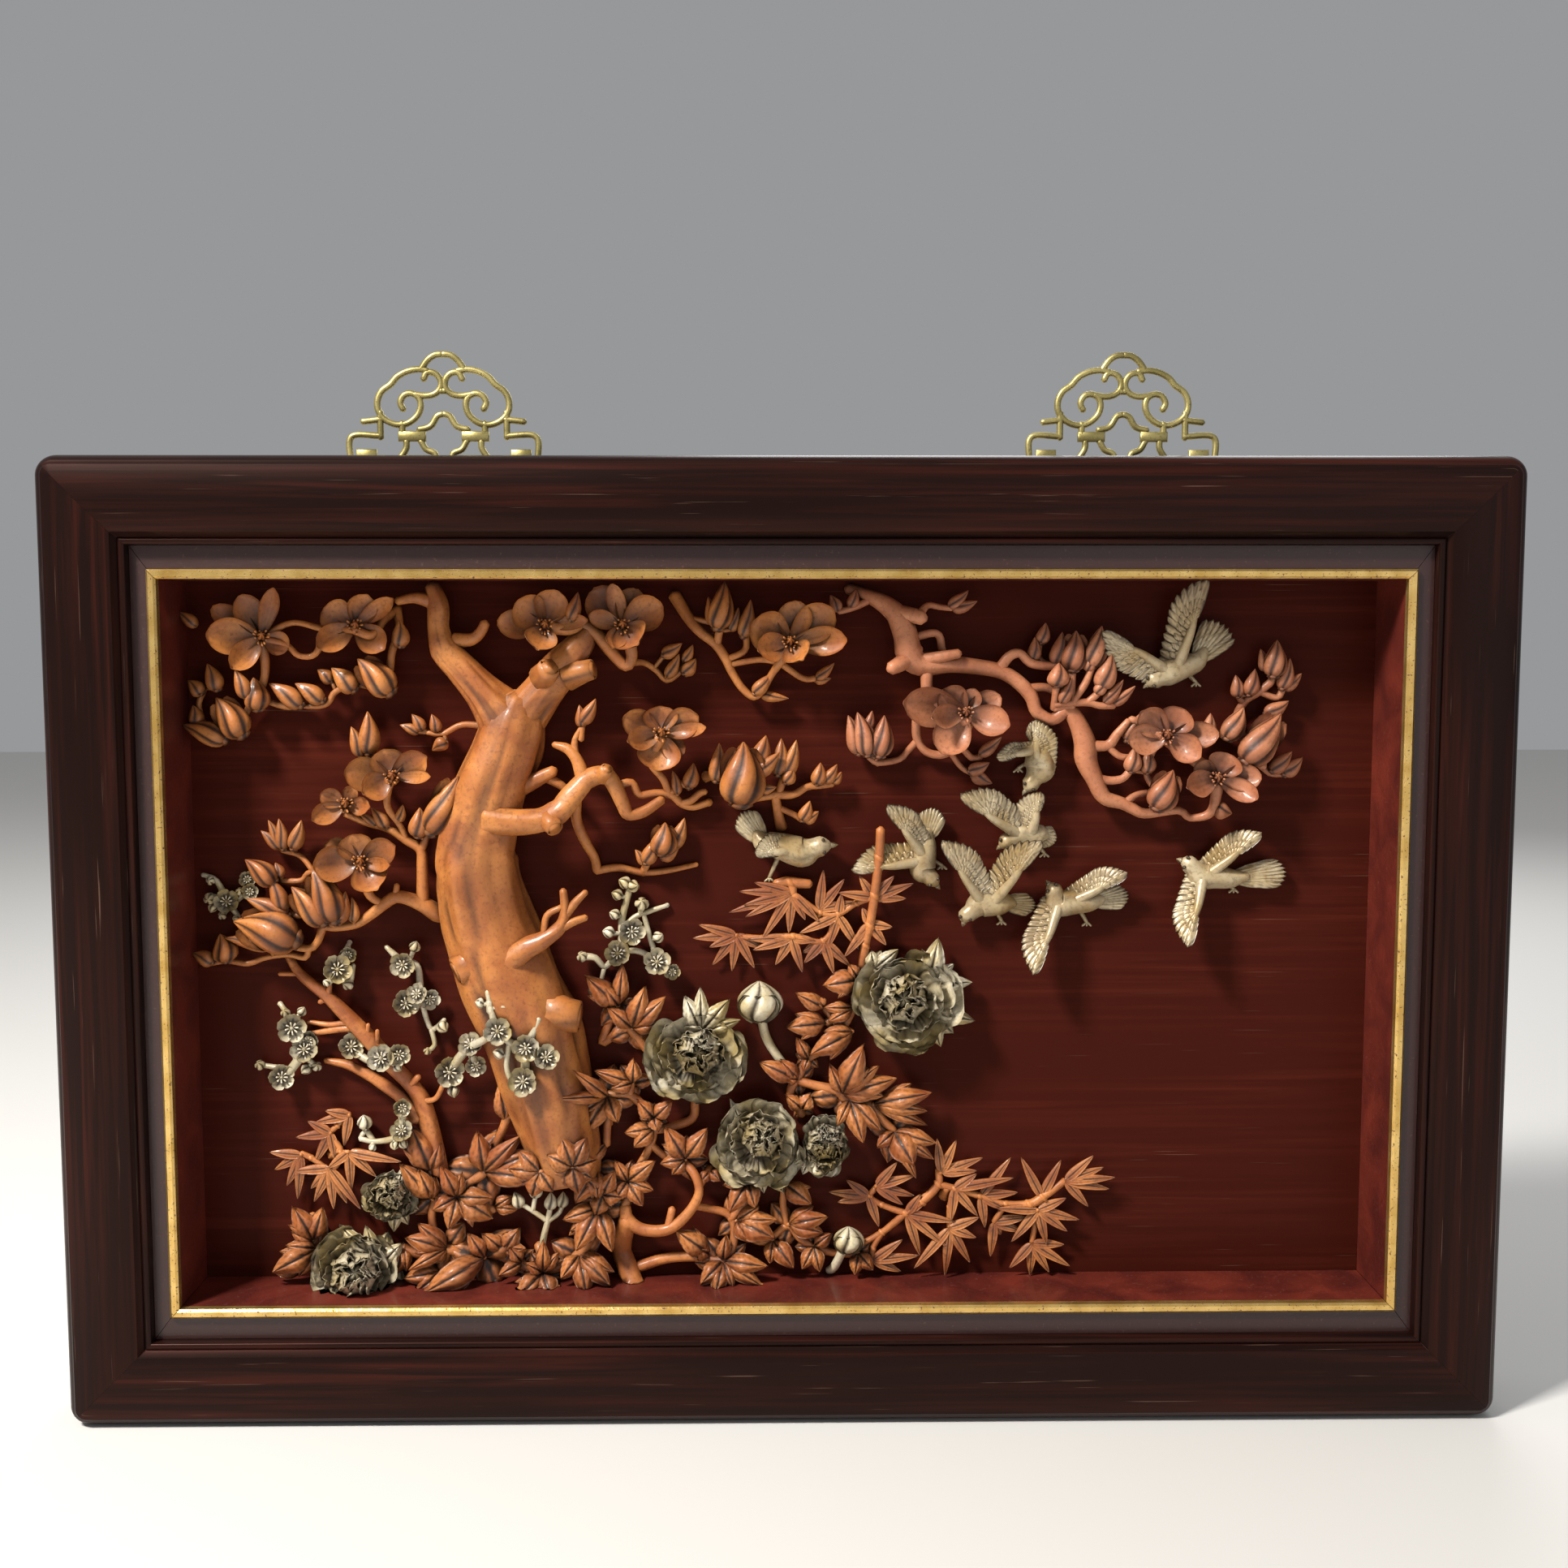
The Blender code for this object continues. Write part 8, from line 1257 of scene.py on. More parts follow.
def peony(shape, name, seed):
    """Four rings of ruffled petals round a ball of closed ones, on a foot, with small leaves behind."""
    heart, half_width, half_height, closed = PEONIES[name]
    x, z, lift = heart
    centre = seen(x, z, lift - 8)
    wide, high = half_width * MM, half_height * MM
    # Each ring has its number of petals, reach, rise, ruffle, cup and breadth
    rings = ((7, 1.02, 5, 0.0016, 0.10, 1.12), (7, 0.90, 10, 0.0019, 0.16, 1.0),
             (6, 0.72, 16, 0.0018, 0.2, 0.98), (6, 0.54, 21, 0.0015, 0.22, 0.92))
    for ring, (count, reach, rise, ruffle, cup, broad) in enumerate(rings):
        for index in range(count):
            turn = seed + ring * 0.37 + index * 2 * math.pi / count
            uneven = 1 + 0.09 * math.sin(3.1 * index + ring * 1.7 + seed)
            way = np.array((wide * math.cos(turn), 0, high * math.sin(turn)))
            forward = np.array((0, -(rise + 1.5 * math.sin(2.3 * index)) * MM, 0))
            tip = centre + way * reach * uneven + forward
            start = centre + way * 0.14 + np.array((0, -rise * 0.35 * MM, 0))
            sheet(shape, start, tip, (wide + high) / 2 * broad * reach, bloom_outline,
                  bloom_relief(index * 1.9 + ring, ruffle, cup), 0.0012, 13, 13)
    middle = seen(*closed[:3])
    size = closed[3] * MM
    towards = unit(VIEWER - middle)
    for ring, (count, reach) in enumerate(((7, 0.95), (6, 0.7), (4, 0.42))):
        for index in range(count):
            turn = seed + ring * 0.5 + index * 2 * math.pi / count
            way = np.array((math.cos(turn), 0, math.sin(turn)))
            foot = middle + way * size * reach * 0.75 - towards * size * 0.6
            tip = middle + way * size * reach * 0.55 + towards * size * (0.35 + 0.2 * ring)
            sheet(shape, foot, tip, size * 1.05 * (0.6 + 0.4 * reach), bloom_outline,
                  bloom_relief(index + ring, 0.0008, -0.22), 0.0012, 10, 11, unit(way + towards * 0.3))
    spindle(shape, middle - towards * size * 0.5, middle + towards * size * 0.4, size * 0.7, 6, 8, 12, 0.8)
    tube(shape, resampled(np.array(((*centre, 0.006), (*seen(x, z, 0.3), 0.007))), 0.005), 10, 0.6)
    leaf_fans(shape, (((x, z, 5, 3), (x, z + 1, 5, 3)),), BLOOM_LEAVES[name], seed)


def bamboo(shape, stems, fans):
    lines = rooted(stems)
    for places in lines:
        limb(shape, places, 8, 2.6, 0.06)
        for x, z, lift, radius in places[1:-1]:
            ring = ((x - 0.4, z - 0.4, lift, radius * 1.28), (x + 0.4, z + 0.4, lift, radius * 1.28))
            limb(shape, ring, 8, 1, 0)
    for index, (heart, leaves) in enumerate(fans):
        stem_to(shape, lines, heart, 2.0)
        centre = seen(*heart)
        for turn, (x, z) in enumerate(leaves):
            lift = heart[2] + 1.5 * math.sin(2.1 * turn + index)
            sheet(shape, centre, seen(x, z, lift), 0.0066, slim_outline, bamboo_relief, 0.0016, 13, 9)
    stand(shape, lines)


def wing(shape, bird, data):
    """A spread wing: a bony leading edge, long flight feathers under rows of shorter ones."""
    root_x, root_z, tip_x, tip_z, width, lift, side = data
    breast, rump = bird["breast"], bird["rump"]
    axis = (((*breast[:3], 0), (*rump[:2], breast[2], 0)),)
    at, _ = nearest(axis, root_x, root_z, breast[2])
    root, tip = seen(at[0], at[1], breast[2] + 2), seen(tip_x, tip_z, lift)
    length = np.linalg.norm(tip - root)
    along = unit(tip - root)
    out = unit(VIEWER - root)
    trail = unit(np.cross(along, out)) * side
    wrist = root + along * length * 0.46 - trail * width * MM * 0.10
    rows = ((13, 1.0, 0.0, 0.0072), (11, 0.60, 0.0013, 0.0062), (9, 0.34, 0.0025, 0.0052))
    for count, reach, rise, broad in rows:
        for index in range(count):
            share = index / (count - 1)
            if share < 0.45:
                inner = share / 0.45
                start = root + (wrist - root) * (0.10 + 0.9 * inner)
                way = unit(trail + along * (0.05 + 0.35 * inner))
                long = width * MM * (0.80 + 0.25 * inner)
            else:
                outer = (share - 0.45) / 0.55
                start = wrist + along * length * 0.10 * outer
                way = unit(trail * (1 - outer) ** 1.1 + along * (0.38 + 0.75 * outer))
                target = np.linalg.norm(tip - wrist)
                long = width * MM * 1.05 * (1 - outer) + target * 0.92 * outer
            base = start + out * rise
            end = base + way * long * reach - out * 0.001
            sheet(shape, base, end, broad, feather_outline, feather_relief(0.03), 0.0010, 11, 7, out)
    edge = np.array(((*(root + out * 0.001), 0.0042), (*((root + wrist) / 2 + out * 0.0018), 0.0034),
                     (*(wrist + out * 0.002), 0.0026), (*(wrist + (tip - wrist) * 0.45), 0.0016),
                     (*(wrist + (tip - wrist) * 0.8), 0.0008)))
    tube(shape, resampled(edge, 0.002), 9, 0.15, 0.1)


def bird_figure(shape, bird):
    """A bird as a body, beak, eyes, tail feathers, wings and clawed feet."""
    beak, head, breast, rump, tail = (bird[key] for key in ("beak", "head", "breast", "rump", "tail"))
    lift = breast[2]
    body = (
        (rump[0] * 0.7 + tail[0] * 0.3, rump[1] * 0.7 + tail[1] * 0.3, lift, rump[2] * 0.42),
        (*rump[:2], lift, rump[2]),
        ((rump[0] + breast[0]) / 2, (rump[1] + breast[1]) / 2, lift, (rump[2] + breast[2]) * 0.53),
        (*breast[:2], lift, breast[2]),
        (head[0] * 0.6 + breast[0] * 0.4, head[1] * 0.6 + breast[1] * 0.4, lift + 1.5, head[2] * 1.06),
        (*head[:2], lift + 2, head[2]),
        (head[0] * 0.6 + beak[0] * 0.4, head[1] * 0.6 + beak[1] * 0.4, lift + 2, head[2] * 0.55),
    )
    line = np.array([(*seen(x, z, at), radius * MM) for x, z, at, radius in body])
    tube(shape, resampled(line, 0.0016), 20, 0.05, 0.05)
    base = seen(head[0] * 0.55 + beak[0] * 0.45, head[1] * 0.55 + beak[1] * 0.45, lift + 2)
    spindle(shape, base, seen(*beak[:2], lift + 1), 0.0042, 2, 8, 10, 0.4, shade=0.35)
    nose, crown = seen(*beak[:2], lift + 2), seen(*head[:2], lift + 2)
    way = unit(nose - crown)
    side = unit(np.cross(way, (0, -1, 0)))
    for lean in (-1, 1):
        outward = unit(unit(VIEWER - crown) * 0.75 + side * lean * 0.66)
        eye = crown + way * 0.0012 + outward * head[2] * MM * 0.93
        spindle(shape, eye - way * 0.0013, eye + way * 0.0013, 0.0027, 2, 7, 10, 1.0, shade=1.0)
    end_x, end_z, spread = tail
    start = seen(rump[0], rump[1], lift)
    end = seen(end_x, end_z, lift)
    across = unit(np.cross(unit(end - start), unit(VIEWER - start)))
    for index in range(7):
        share = index / 3 - 1
        tip = end + across * share * spread * MM * 0.5 - unit(end - start) * 0.004 * share * share
        base = start + across * share * 0.0025 - np.array((0, -0.0003, 0)) * index
        sheet(shape, base, tip, 0.0062, feather_outline, feather_relief(0.02), 0.0010, 13, 7)
    for data in bird["wings"]:
        wing(shape, bird, data)
    middle = ((breast[0] + rump[0]) / 2, (breast[1] + rump[1]) / 2)
    for x, z in bird["feet"]:
        limb(shape, ((*middle, lift - 4, 1.8), (x, z, max(3, lift - 5), 1.2)), 8, 2, 0.05, 0.3)
        for lean in (-3, 0, 3):
            toe = (x + lean, z - 2.5, max(2, lift - 4), 0.7)
            limb(shape, ((x, z, max(3, lift - 5), 1.0), toe), 6, 2, 0, 0.3)


# One half of a hanger, in millimetres from its middle and up from the frame's top: bars and small blocks
HANGER_STROKES = (
    ((0, 69.5), (5, 68.6), (9.5, 65.5), (12.5, 61.5), (14, 59)),
    ((9, 58.5), (15, 59.5), (22, 58.5), (29, 55), (33.5, 50), (39, 46), (42, 40), (41.5, 33), (37, 27.5),
     (30, 24.6), (23, 25.5), (17, 30), (14.5, 36), (15.5, 41.5), (20, 44.3), (25, 43.2), (27.5, 38.5),
     (25.5, 34)),
    ((19, 43.8), (11, 42.8), (5, 44.3), (1.6, 48), (1.6, 53), (5, 57), (10, 57.5), (12.5, 53)),
    ((0, 46), (2, 46)),
    ((26.5, 26), (26.5, 19)),
    ((0, 31.5), (4, 30), (7.5, 24.5), (10.5, 22.6), (16, 21.5)),
    ((24, 15), (24.5, 9), (30, 1.5), (33, -3)),
    ((15, 15), (11.5, 9), (6, 6.5), (4.5, -3)),
    ((40.5, 33), (40.5, 16)),
    ((39, 28), (52, 26.5)),
    ((40, 17.5), (59, 17), (60, -3)),
)
HANGER_BLOCKS = (((11.5, 14), (29, 20.5)), ((43, -3), (56, 9)), ((30, -3), (60, 1.5)))

# Leaves that lap over the foot of the trunk, as fans of (heart, lobes)
TRUNK_COVER = (
    ((-143, -157, 37), ((-160, -149, 12, 39), (-150, -137, 12, 40), (-134, -138, 12, 36),
                        (-126, -152, 11, 30), (-139, -176, 12, 33))),
    ((-165, -160, 33), ((-187, -158, 12, 26), (-179, -146, 11, 30), (-171, -178, 12, 26),
                        (-156, -174, 12, 33))),
    ((-123, -176, 18), ((-135, -164, 11, 24), (-116, -162, 11, 22), (-110, -178, 11, 20),
                        (-128, -192, 11, 18))),
)


class Finish:
    """A procedural material: small steps that add nodes and join them."""

    def __init__(self, name):
        self.material = bpy.data.materials.new(name)
        self.material.use_nodes = True
        self.tree = self.material.node_tree
        self.shader = self.tree.nodes["Principled BSDF"]
        coordinates = self.tree.nodes.new("ShaderNodeTexCoord")
        self.place = coordinates.outputs["Object"]

    def put(self, socket, value):
        if isinstance(value, bpy.types.NodeSocket):
            self.tree.links.new(value, socket)
        elif isinstance(value, tuple) and len(value) == 3 and socket.type == "RGBA":
            socket.default_value = (*value, 1.0)
        else:
            socket.default_value = value

    def scaled(self, vector, scale):
        node = self.tree.nodes.new("ShaderNodeMapping")
        self.put(node.inputs["Vector"], vector)
        node.inputs["Scale"].default_value = scale
        return node.outputs["Vector"]

    def noise(self, scale, detail=4.0, vector=None, distortion=0.0):
        node = self.tree.nodes.new("ShaderNodeTexNoise")
        self.put(node.inputs["Vector"], vector or self.place)
        node.inputs["Scale"].default_value = scale
        node.inputs["Detail"].default_value = detail
        node.inputs["Distortion"].default_value = distortion
        return node.outputs["Fac"]

    def ramp(self, value, low, high):
        node = self.tree.nodes.new("ShaderNodeMapRange")
        self.put(node.inputs["Value"], value)
        node.inputs["From Min"].default_value = low
        node.inputs["From Max"].default_value = high
        return node.outputs["Result"]

    def math(self, operation, one, other):
        node = self.tree.nodes.new("ShaderNodeMath")
        node.operation = operation
        self.put(node.inputs[0], one)
        self.put(node.inputs[1], other)
        return node.outputs[0]

    def mix(self, share, one, other):
        node = self.tree.nodes.new("ShaderNodeMix")
        node.data_type = "RGBA"
        self.put(node.inputs["Factor"], share)
        self.put(node.inputs["A"], one)
        self.put(node.inputs["B"], other)
        return node.outputs["Result"]

    def value(self, name):
        node = self.tree.nodes.new("ShaderNodeAttribute")
        node.attribute_name = name
        return node.outputs["Fac"]

    def vector(self, name):
        node = self.tree.nodes.new("ShaderNodeAttribute")
        node.attribute_name = name
        return node.outputs["Vector"]

    def edges(self):
        return self.tree.nodes.new("ShaderNodeNewGeometry").outputs["Pointiness"]

    # Ambient occlusion within reach, used as painted shade in creases and between forms
    def crease(self, reach):
        node = self.tree.nodes.new("ShaderNodeAmbientOcclusion")
        node.inputs["Distance"].default_value = reach
        node.samples = 4
        return node.outputs["AO"]

    def bump(self, height, strength, distance):
        node = self.tree.nodes.new("ShaderNodeBump")
        self.put(node.inputs["Height"], height)
        node.inputs["Strength"].default_value = strength
        node.inputs["Distance"].default_value = distance
        self.put(self.shader.inputs["Normal"], node.outputs["Normal"])

    def finish(self, colour, roughness, metallic=0.0, coat=0.0, shine=0.5, tint=(1.0, 1.0, 1.0)):
        self.put(self.shader.inputs["Base Color"], colour)
        self.put(self.shader.inputs["Roughness"], roughness)
        self.put(self.shader.inputs["Metallic"], metallic)
        self.put(self.shader.inputs["Coat Weight"], coat)
        self.shader.inputs["Coat Roughness"].default_value = 0.12
        self.shader.inputs["Specular IOR Level"].default_value = shine
        self.shader.inputs["Specular Tint"].default_value = (*tint, 1.0)
        return self.material


def lacquered_wood(name, dark, streak, lie, shine):
    """Near-black lacquer over streaky red-brown grain. lie gives the vector along which the grain runs."""
    f = Finish(name)
    grain_place = lie(f)
    streaks = f.noise(1.0, 6.0, f.scaled(grain_place, (5.0, 210.0, 210.0)), 0.6)
    broad = f.noise(1.0, 3.0, f.scaled(grain_place, (3.0, 26.0, 26.0)), 0.4)
    colour = f.mix(f.math("MULTIPLY", f.ramp(streaks, 0.42, 0.74), f.ramp(broad, 0.35, 0.7)), dark, streak)
    scratch = f.noise(1.0, 2.0, f.scaled(grain_place, (14.0, 900.0, 900.0)), 0.0)
    colour = f.mix(f.math("MULTIPLY", f.ramp(scratch, 0.70, 0.76), 0.35), colour, (0.22, 0.13, 0.09))
    f.bump(streaks, 0.25, 0.0002)
    roughness = f.math("ADD", 0.22, f.math("MULTIPLY", broad, 0.2))
    return f.finish(colour, roughness, 0.0, 0.0, shine, (1.0, 0.62, 0.55))


def painted_carving(name, light, middle, dark, cut, metallic=0.0, rough=0.5, shade_reach=0.012):
    """Stained and worn carving: mottled colour, paler on worn edges, darker where hollow, with painted shade
    in cuts and creases.
    """
    f = Finish(name)
    broad = f.noise(38.0, 4.0, None, 0.5)
    fine = f.noise(420.0, 5.0, None, 0.3)
    colour = f.mix(f.ramp(broad, 0.38, 0.62), middle, light)
    colour = f.mix(f.math("MULTIPLY", f.ramp(fine, 0.52, 0.70), 0.5), colour, dark)
    stain = f.noise(15.0, 3.0, None, 1.2)
    colour = f.mix(f.math("MULTIPLY", f.ramp(stain, 0.52, 0.70), 0.55), colour, dark)
    worn = f.ramp(f.edges(), 0.53, 0.62)
    colour = f.mix(f.math("MULTIPLY", worn, 0.55), colour, tuple(min(1.0, 1.35 * part) for part in light))
    # Darker where the surface is hollow, by its pointiness
    hollow_dark = f.ramp(f.edges(), 0.47, 0.38)
    colour = f.mix(f.math("MULTIPLY", hollow_dark, 0.75), colour, cut)
    # The shade attribute: darker grooves, cuts, petal bases and eyes, and painted shade on sheets' back
    # faces
    colour = f.mix(f.math("MULTIPLY", f.ramp(f.value("shade"), 0.05, 0.80), 0.95), colour, cut)
    # Painted shade: ambient occlusion darkens creases and the gaps between forms
    colour = f.mix(f.math("MULTIPLY", f.ramp(f.crease(shade_reach), 0.80, 0.24), 0.88), colour, cut)
    f.bump(fine, 0.5, 0.0003)
    return f.finish(colour, f.math("ADD", rough - 0.12, f.math("MULTIPLY", fine, 0.3)), metallic, 0.12)


def worn_gold(name):
    f = Finish(name)
    specks = f.noise(640.0, 4.0)
    broad = f.noise(60.0, 3.0)
    colour = f.mix(f.ramp(broad, 0.35, 0.65), (0.62, 0.38, 0.10), (0.83, 0.57, 0.20))
    lost = f.ramp(specks, 0.60, 0.68)
    colour = f.mix(lost, colour, (0.10, 0.035, 0.02))
    f.bump(specks, 0.4, 0.0003)
    return f.finish(colour, f.math("ADD", 0.30, f.math("MULTIPLY", lost, 0.35)),
                    f.math("SUBTRACT", 0.85, f.math("MULTIPLY", lost, 0.8)), 0.0)


def worn_red(name):
    f = Finish(name)
    broad = f.noise(30.0, 4.0, None, 0.6)
    fine = f.noise(500.0, 5.0)
    colour = f.mix(f.ramp(broad, 0.35, 0.7), (0.072, 0.0095, 0.0062), (0.160, 0.0225, 0.0120))
    parts = f.tree.nodes.new("ShaderNodeSeparateXYZ")
    f.put(parts.inputs[0], f.place)
    face = f.ramp(parts.outputs["Y"], -0.0598, -0.0606)
    colour = f.mix(face, colour, (0.030, 0.0085, 0.0070))
    dust = f.math("MULTIPLY", f.ramp(fine, 0.62, 0.78), 0.22)
    colour = f.mix(dust, colour, (0.30, 0.15, 0.11))
    f.bump(fine, 0.35, 0.0003)
    return f.finish(colour, f.math("ADD", 0.34, f.math("MULTIPLY", fine, 0.25)), 0.0, 0.2)


def brass(name):
    f = Finish(name)
    broad = f.noise(45.0, 4.0, None, 0.4)
    fine = f.noise(700.0, 4.0)
    colour = f.mix(f.ramp(broad, 0.35, 0.68), (0.30, 0.25, 0.09), (0.56, 0.47, 0.19))
    colour = f.mix(f.math("MULTIPLY", f.ramp(fine, 0.55, 0.72), 0.6), colour, (0.11, 0.085, 0.04))
    f.bump(fine, 0.3, 0.0002)
    return f.finish(colour, f.math("ADD", 0.30, f.math("MULTIPLY", fine, 0.3)), 0.85, 0.0)


def grain_of(f):
    return f.vector("grain")


def level_grain(f):
    return f.place


lacquer = lacquered_wood("lacquered_rosewood", (0.0075, 0.0032, 0.0026), (0.050, 0.0105, 0.0060),
                         grain_of, 0.17)
board_wood = lacquered_wood("dark_board", (0.048, 0.0080, 0.0046), (0.092, 0.0160, 0.0085),
                            level_grain, 0.05)
red_lacquer = worn_red("red_lacquer")
gilding = worn_gold("worn_gilding")
antique_brass = brass("antique_brass")
golden = painted_carving("golden_boxwood", (0.52, 0.190, 0.042), (0.34, 0.098, 0.019), (0.15, 0.038, 0.010),
                         (0.020, 0.0065, 0.0038))
salmon = painted_carving("salmon_boxwood", (0.53, 0.205, 0.095), (0.36, 0.115, 0.046), (0.17, 0.050, 0.020),
                         (0.028, 0.0085, 0.0050))
orange = painted_carving("orange_boxwood", (0.56, 0.200, 0.052), (0.33, 0.088, 0.020),
                         (0.13, 0.032, 0.0095), (0.015, 0.0050, 0.0030))
silvered = painted_carving("silvered_carving", (0.74, 0.67, 0.50), (0.50, 0.38, 0.16), (0.26, 0.19, 0.09),
                           (0.030, 0.0170, 0.0090), 0.15, 0.38, 0.0035)
cream = painted_carving("cream_carving", (0.60, 0.49, 0.31), (0.39, 0.26, 0.10), (0.16, 0.090, 0.036),
                        (0.030, 0.0140, 0.0070), 0.2, 0.34, 0.0045)
FINISHES = {
    "golden_boxwood": golden,
    "salmon_boxwood": salmon,
    "orange_boxwood": orange,
    "silvered_carving": silvered,
    "cream_carving": cream,
}


def settle(made, node):
    """The finished piece goes on the root body in its node's place, and the node is hidden."""
    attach(made, "root")
    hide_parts(node)


def carved(node, slot, maker, *values):
    shape = Shape()
    maker(shape, *values)
    settle(shape.object(node + "_carving", FINISHES[slot], silvered), node)


def tree(shape):
    for places in TREE_LIMBS:
        thick = max(place[3] for place in places)
        limb(shape, places, 44 if thick > 12 else 20 if thick > 5 else 11, 2.2, 0.2 if thick > 12 else 0.26)
    for start, end, start_radius, end_radius, hollow in TREE_KNOTS:
        base, tip = seen(*start), seen(*end)
        way = unit(tip - base)
        length = np.linalg.norm(tip - base)
        rim, depth = end_radius * MM, hollow * MM
        line = ((base, start_radius * MM), (base + way * length * 0.7, rim * 1.02), (tip, rim * 0.95),
                (tip + way * 0.0006, rim * 0.72), (tip - way * depth * 0.5, rim * 0.5),
                (tip - way * depth, rim * 0.28))
        tube(shape, np.array([(*point, radius) for point, radius in line]), 18, 0.12, 0.15)
    magnolia(shape, TREE_TWIG, 3)


def plum_limbs(shape):
    for places in PLUM_LIMBS:
        thick = max(place[3] for place in places)
        limb(shape, places, 18 if thick > 5 else 11, 2.4, 0.24)


def foliage_with_bud(shape, stems, fans, seed):
    foliage(shape, stems, fans, seed)
    shape.tone = 1
    place, radius, stem = PEONY_ROUND_BUD
    peony_bud(shape, place, radius, stem)


def foliage_with_foot_buds(shape, stems, fans, seed):
    foliage(shape, stems, fans + TRUNK_COVER, seed)
    shape.tone = 1
    lines = rooted(FOOT_BUD_STEMS)
    for places in lines:
        limb(shape, places, 8, 2.6, 0.1, 0.2)
    for x, z, lift, radius in FOOT_BUDS:
        middle = seen(x, z, lift)
        way = unit(middle - seen(*nearest(lines, x, z - 4, lift)[0]) + np.array((0, 0, 0.003)))
        low, high = middle - way * radius * MM * 1.2, middle + way * radius * MM * 1.5
        spindle(shape, low, high, radius * MM * 1.9, 3, 10, 16, 0.7)


carved("magnolia_tree", "golden_boxwood", tree)
carved("plum_branch", "orange_boxwood", plum_limbs)
for seed, (name, spray) in enumerate(MAGNOLIA_SPRAYS.items()):
    carved(name, "salmon_boxwood" if "right" in name else "golden_boxwood", magnolia, spray, seed)
for seed, (name, sprig) in enumerate(PLUM_SPRIGS.items()):
    carved(name, "silvered_carving", plum_sprig, sprig, seed)
for name, bird in BIRDS.items():
    carved(name, "cream_carving", bird_figure, bird)
for seed, name in enumerate(PEONIES):
    carved(name, "silvered_carving", peony, name, seed)
carved("peony_bud_low", "silvered_carving", peony_bud, *PEONY_LOW_BUD)
for name, (stems, fans) in BAMBOO.items():
    carved(name, "orange_boxwood", bamboo, stems, fans)
for seed, (name, (stems, fans)) in enumerate(PEONY_FOLIAGE.items()):
    maker = {PEONY_ROUND_BUD_ON: foliage_with_bud, FOOT_BUDS_ON: foliage_with_foot_buds}.get(name, foliage)
    carved(name, "orange_boxwood", maker, stems, fans, seed)


def rail_section():
    """The rail's section as (outward, forward): bead, hollow, dome, rounded outer edge and straight side."""
    lip, width, rise = LIP_DEPTH, RAIL_WIDTH, CROWN_RISE
    section = [(0.0, 0.0), (0.0, lip - 0.0002)]
    for step in range(1, 12):
        angle = math.pi - math.pi * step / 12
        section.append((0.0021 + 0.0021 * math.cos(angle), lip + 0.0014 * math.sin(angle)))
    section += [(0.0042, lip + 0.0001), (0.0047, lip + 0.0006)]
    for step in range(1, 25):
        share = step / 24
        outward = 0.0058 + (width - 0.0065 - 0.0058) * share
        dome = math.sin(math.pi * (0.13 + 0.74 * share)) ** 0.75
        section.append((outward, min(lip + rise, lip + 0.0018 + (rise - 0.0018) * dome)))
    for step in range(1, 10):
        angle = math.pi / 2 * (1 - step / 9)
        section.append((width - 0.0065 + 0.0065 * math.cos(angle),
                        RAIL_SIDE_DEPTH + (lip + rise * 0.46 - RAIL_SIDE_DEPTH) * math.sin(angle)))
    section += [(width, RAIL_SIDE_DEPTH - 0.003), (width, 0.0012), (width - 0.0012, 0.0)]
    return section


def rail(side):
    """One mitred rail with its halves of the rounded outer corners."""
    level = side in ("top", "bottom")
    half_long = (SIGHT_WIDTH if level else SIGHT_HEIGHT) / 2
    half_out = (SIGHT_HEIGHT if level else SIGHT_WIDTH) / 2
    section = rail_section()
    points, grain = [], []
    corner = [(-1, math.radians(135 - 45 * step / 6)) for step in range(7)]
    corner += [(1, math.radians(90 - 45 * step / 6)) for step in range(7)]
    for end, angle in corner:
        for outward, forward in section:
            radius = max(0.0002, CORNER_RADIUS - (RAIL_WIDTH - outward))
            x = end * (half_long + outward - radius) + radius * math.cos(angle) - end * 0.00005
            points.append((x, -forward, half_out + outward - radius + radius * math.sin(angle)))
            grain.append((x, outward, forward))
    faces = strip_faces(len(corner), len(section), True)
    last = (len(corner) - 1) * len(section)
    faces.append(tuple(reversed(range(len(section)))))
    faces.append(tuple(last + index for index in range(len(section))))
    turn = Matrix.Rotation(math.radians({"top": 0, "right": 90, "bottom": 180, "left": 270}[side]), 4, "Y")
    mesh = bpy.data.meshes.new("rail_" + side)
    mesh.from_pydata([tuple(turn @ Vector(point)) for point in points], [], faces)
    seed = {"top": 0.0, "right": 3.0, "bottom": 6.0, "left": 9.0}[side]
    runs = mesh.attributes.new("grain", "FLOAT_VECTOR", "POINT")
    runs.data.foreach_set("vector", (np.array(grain) + (seed, seed, 0)).astype(np.float32).ravel())
    mesh.materials.append(lacquer)
    mesh.validate()
    mesh.shade_smooth()
    mesh.set_sharp_from_angle(angle=math.radians(32))
    made = bpy.data.objects.new("rail_" + side, mesh)
    bpy.context.scene.collection.objects.link(made)
    settle(made, "frame_rail_" + side)


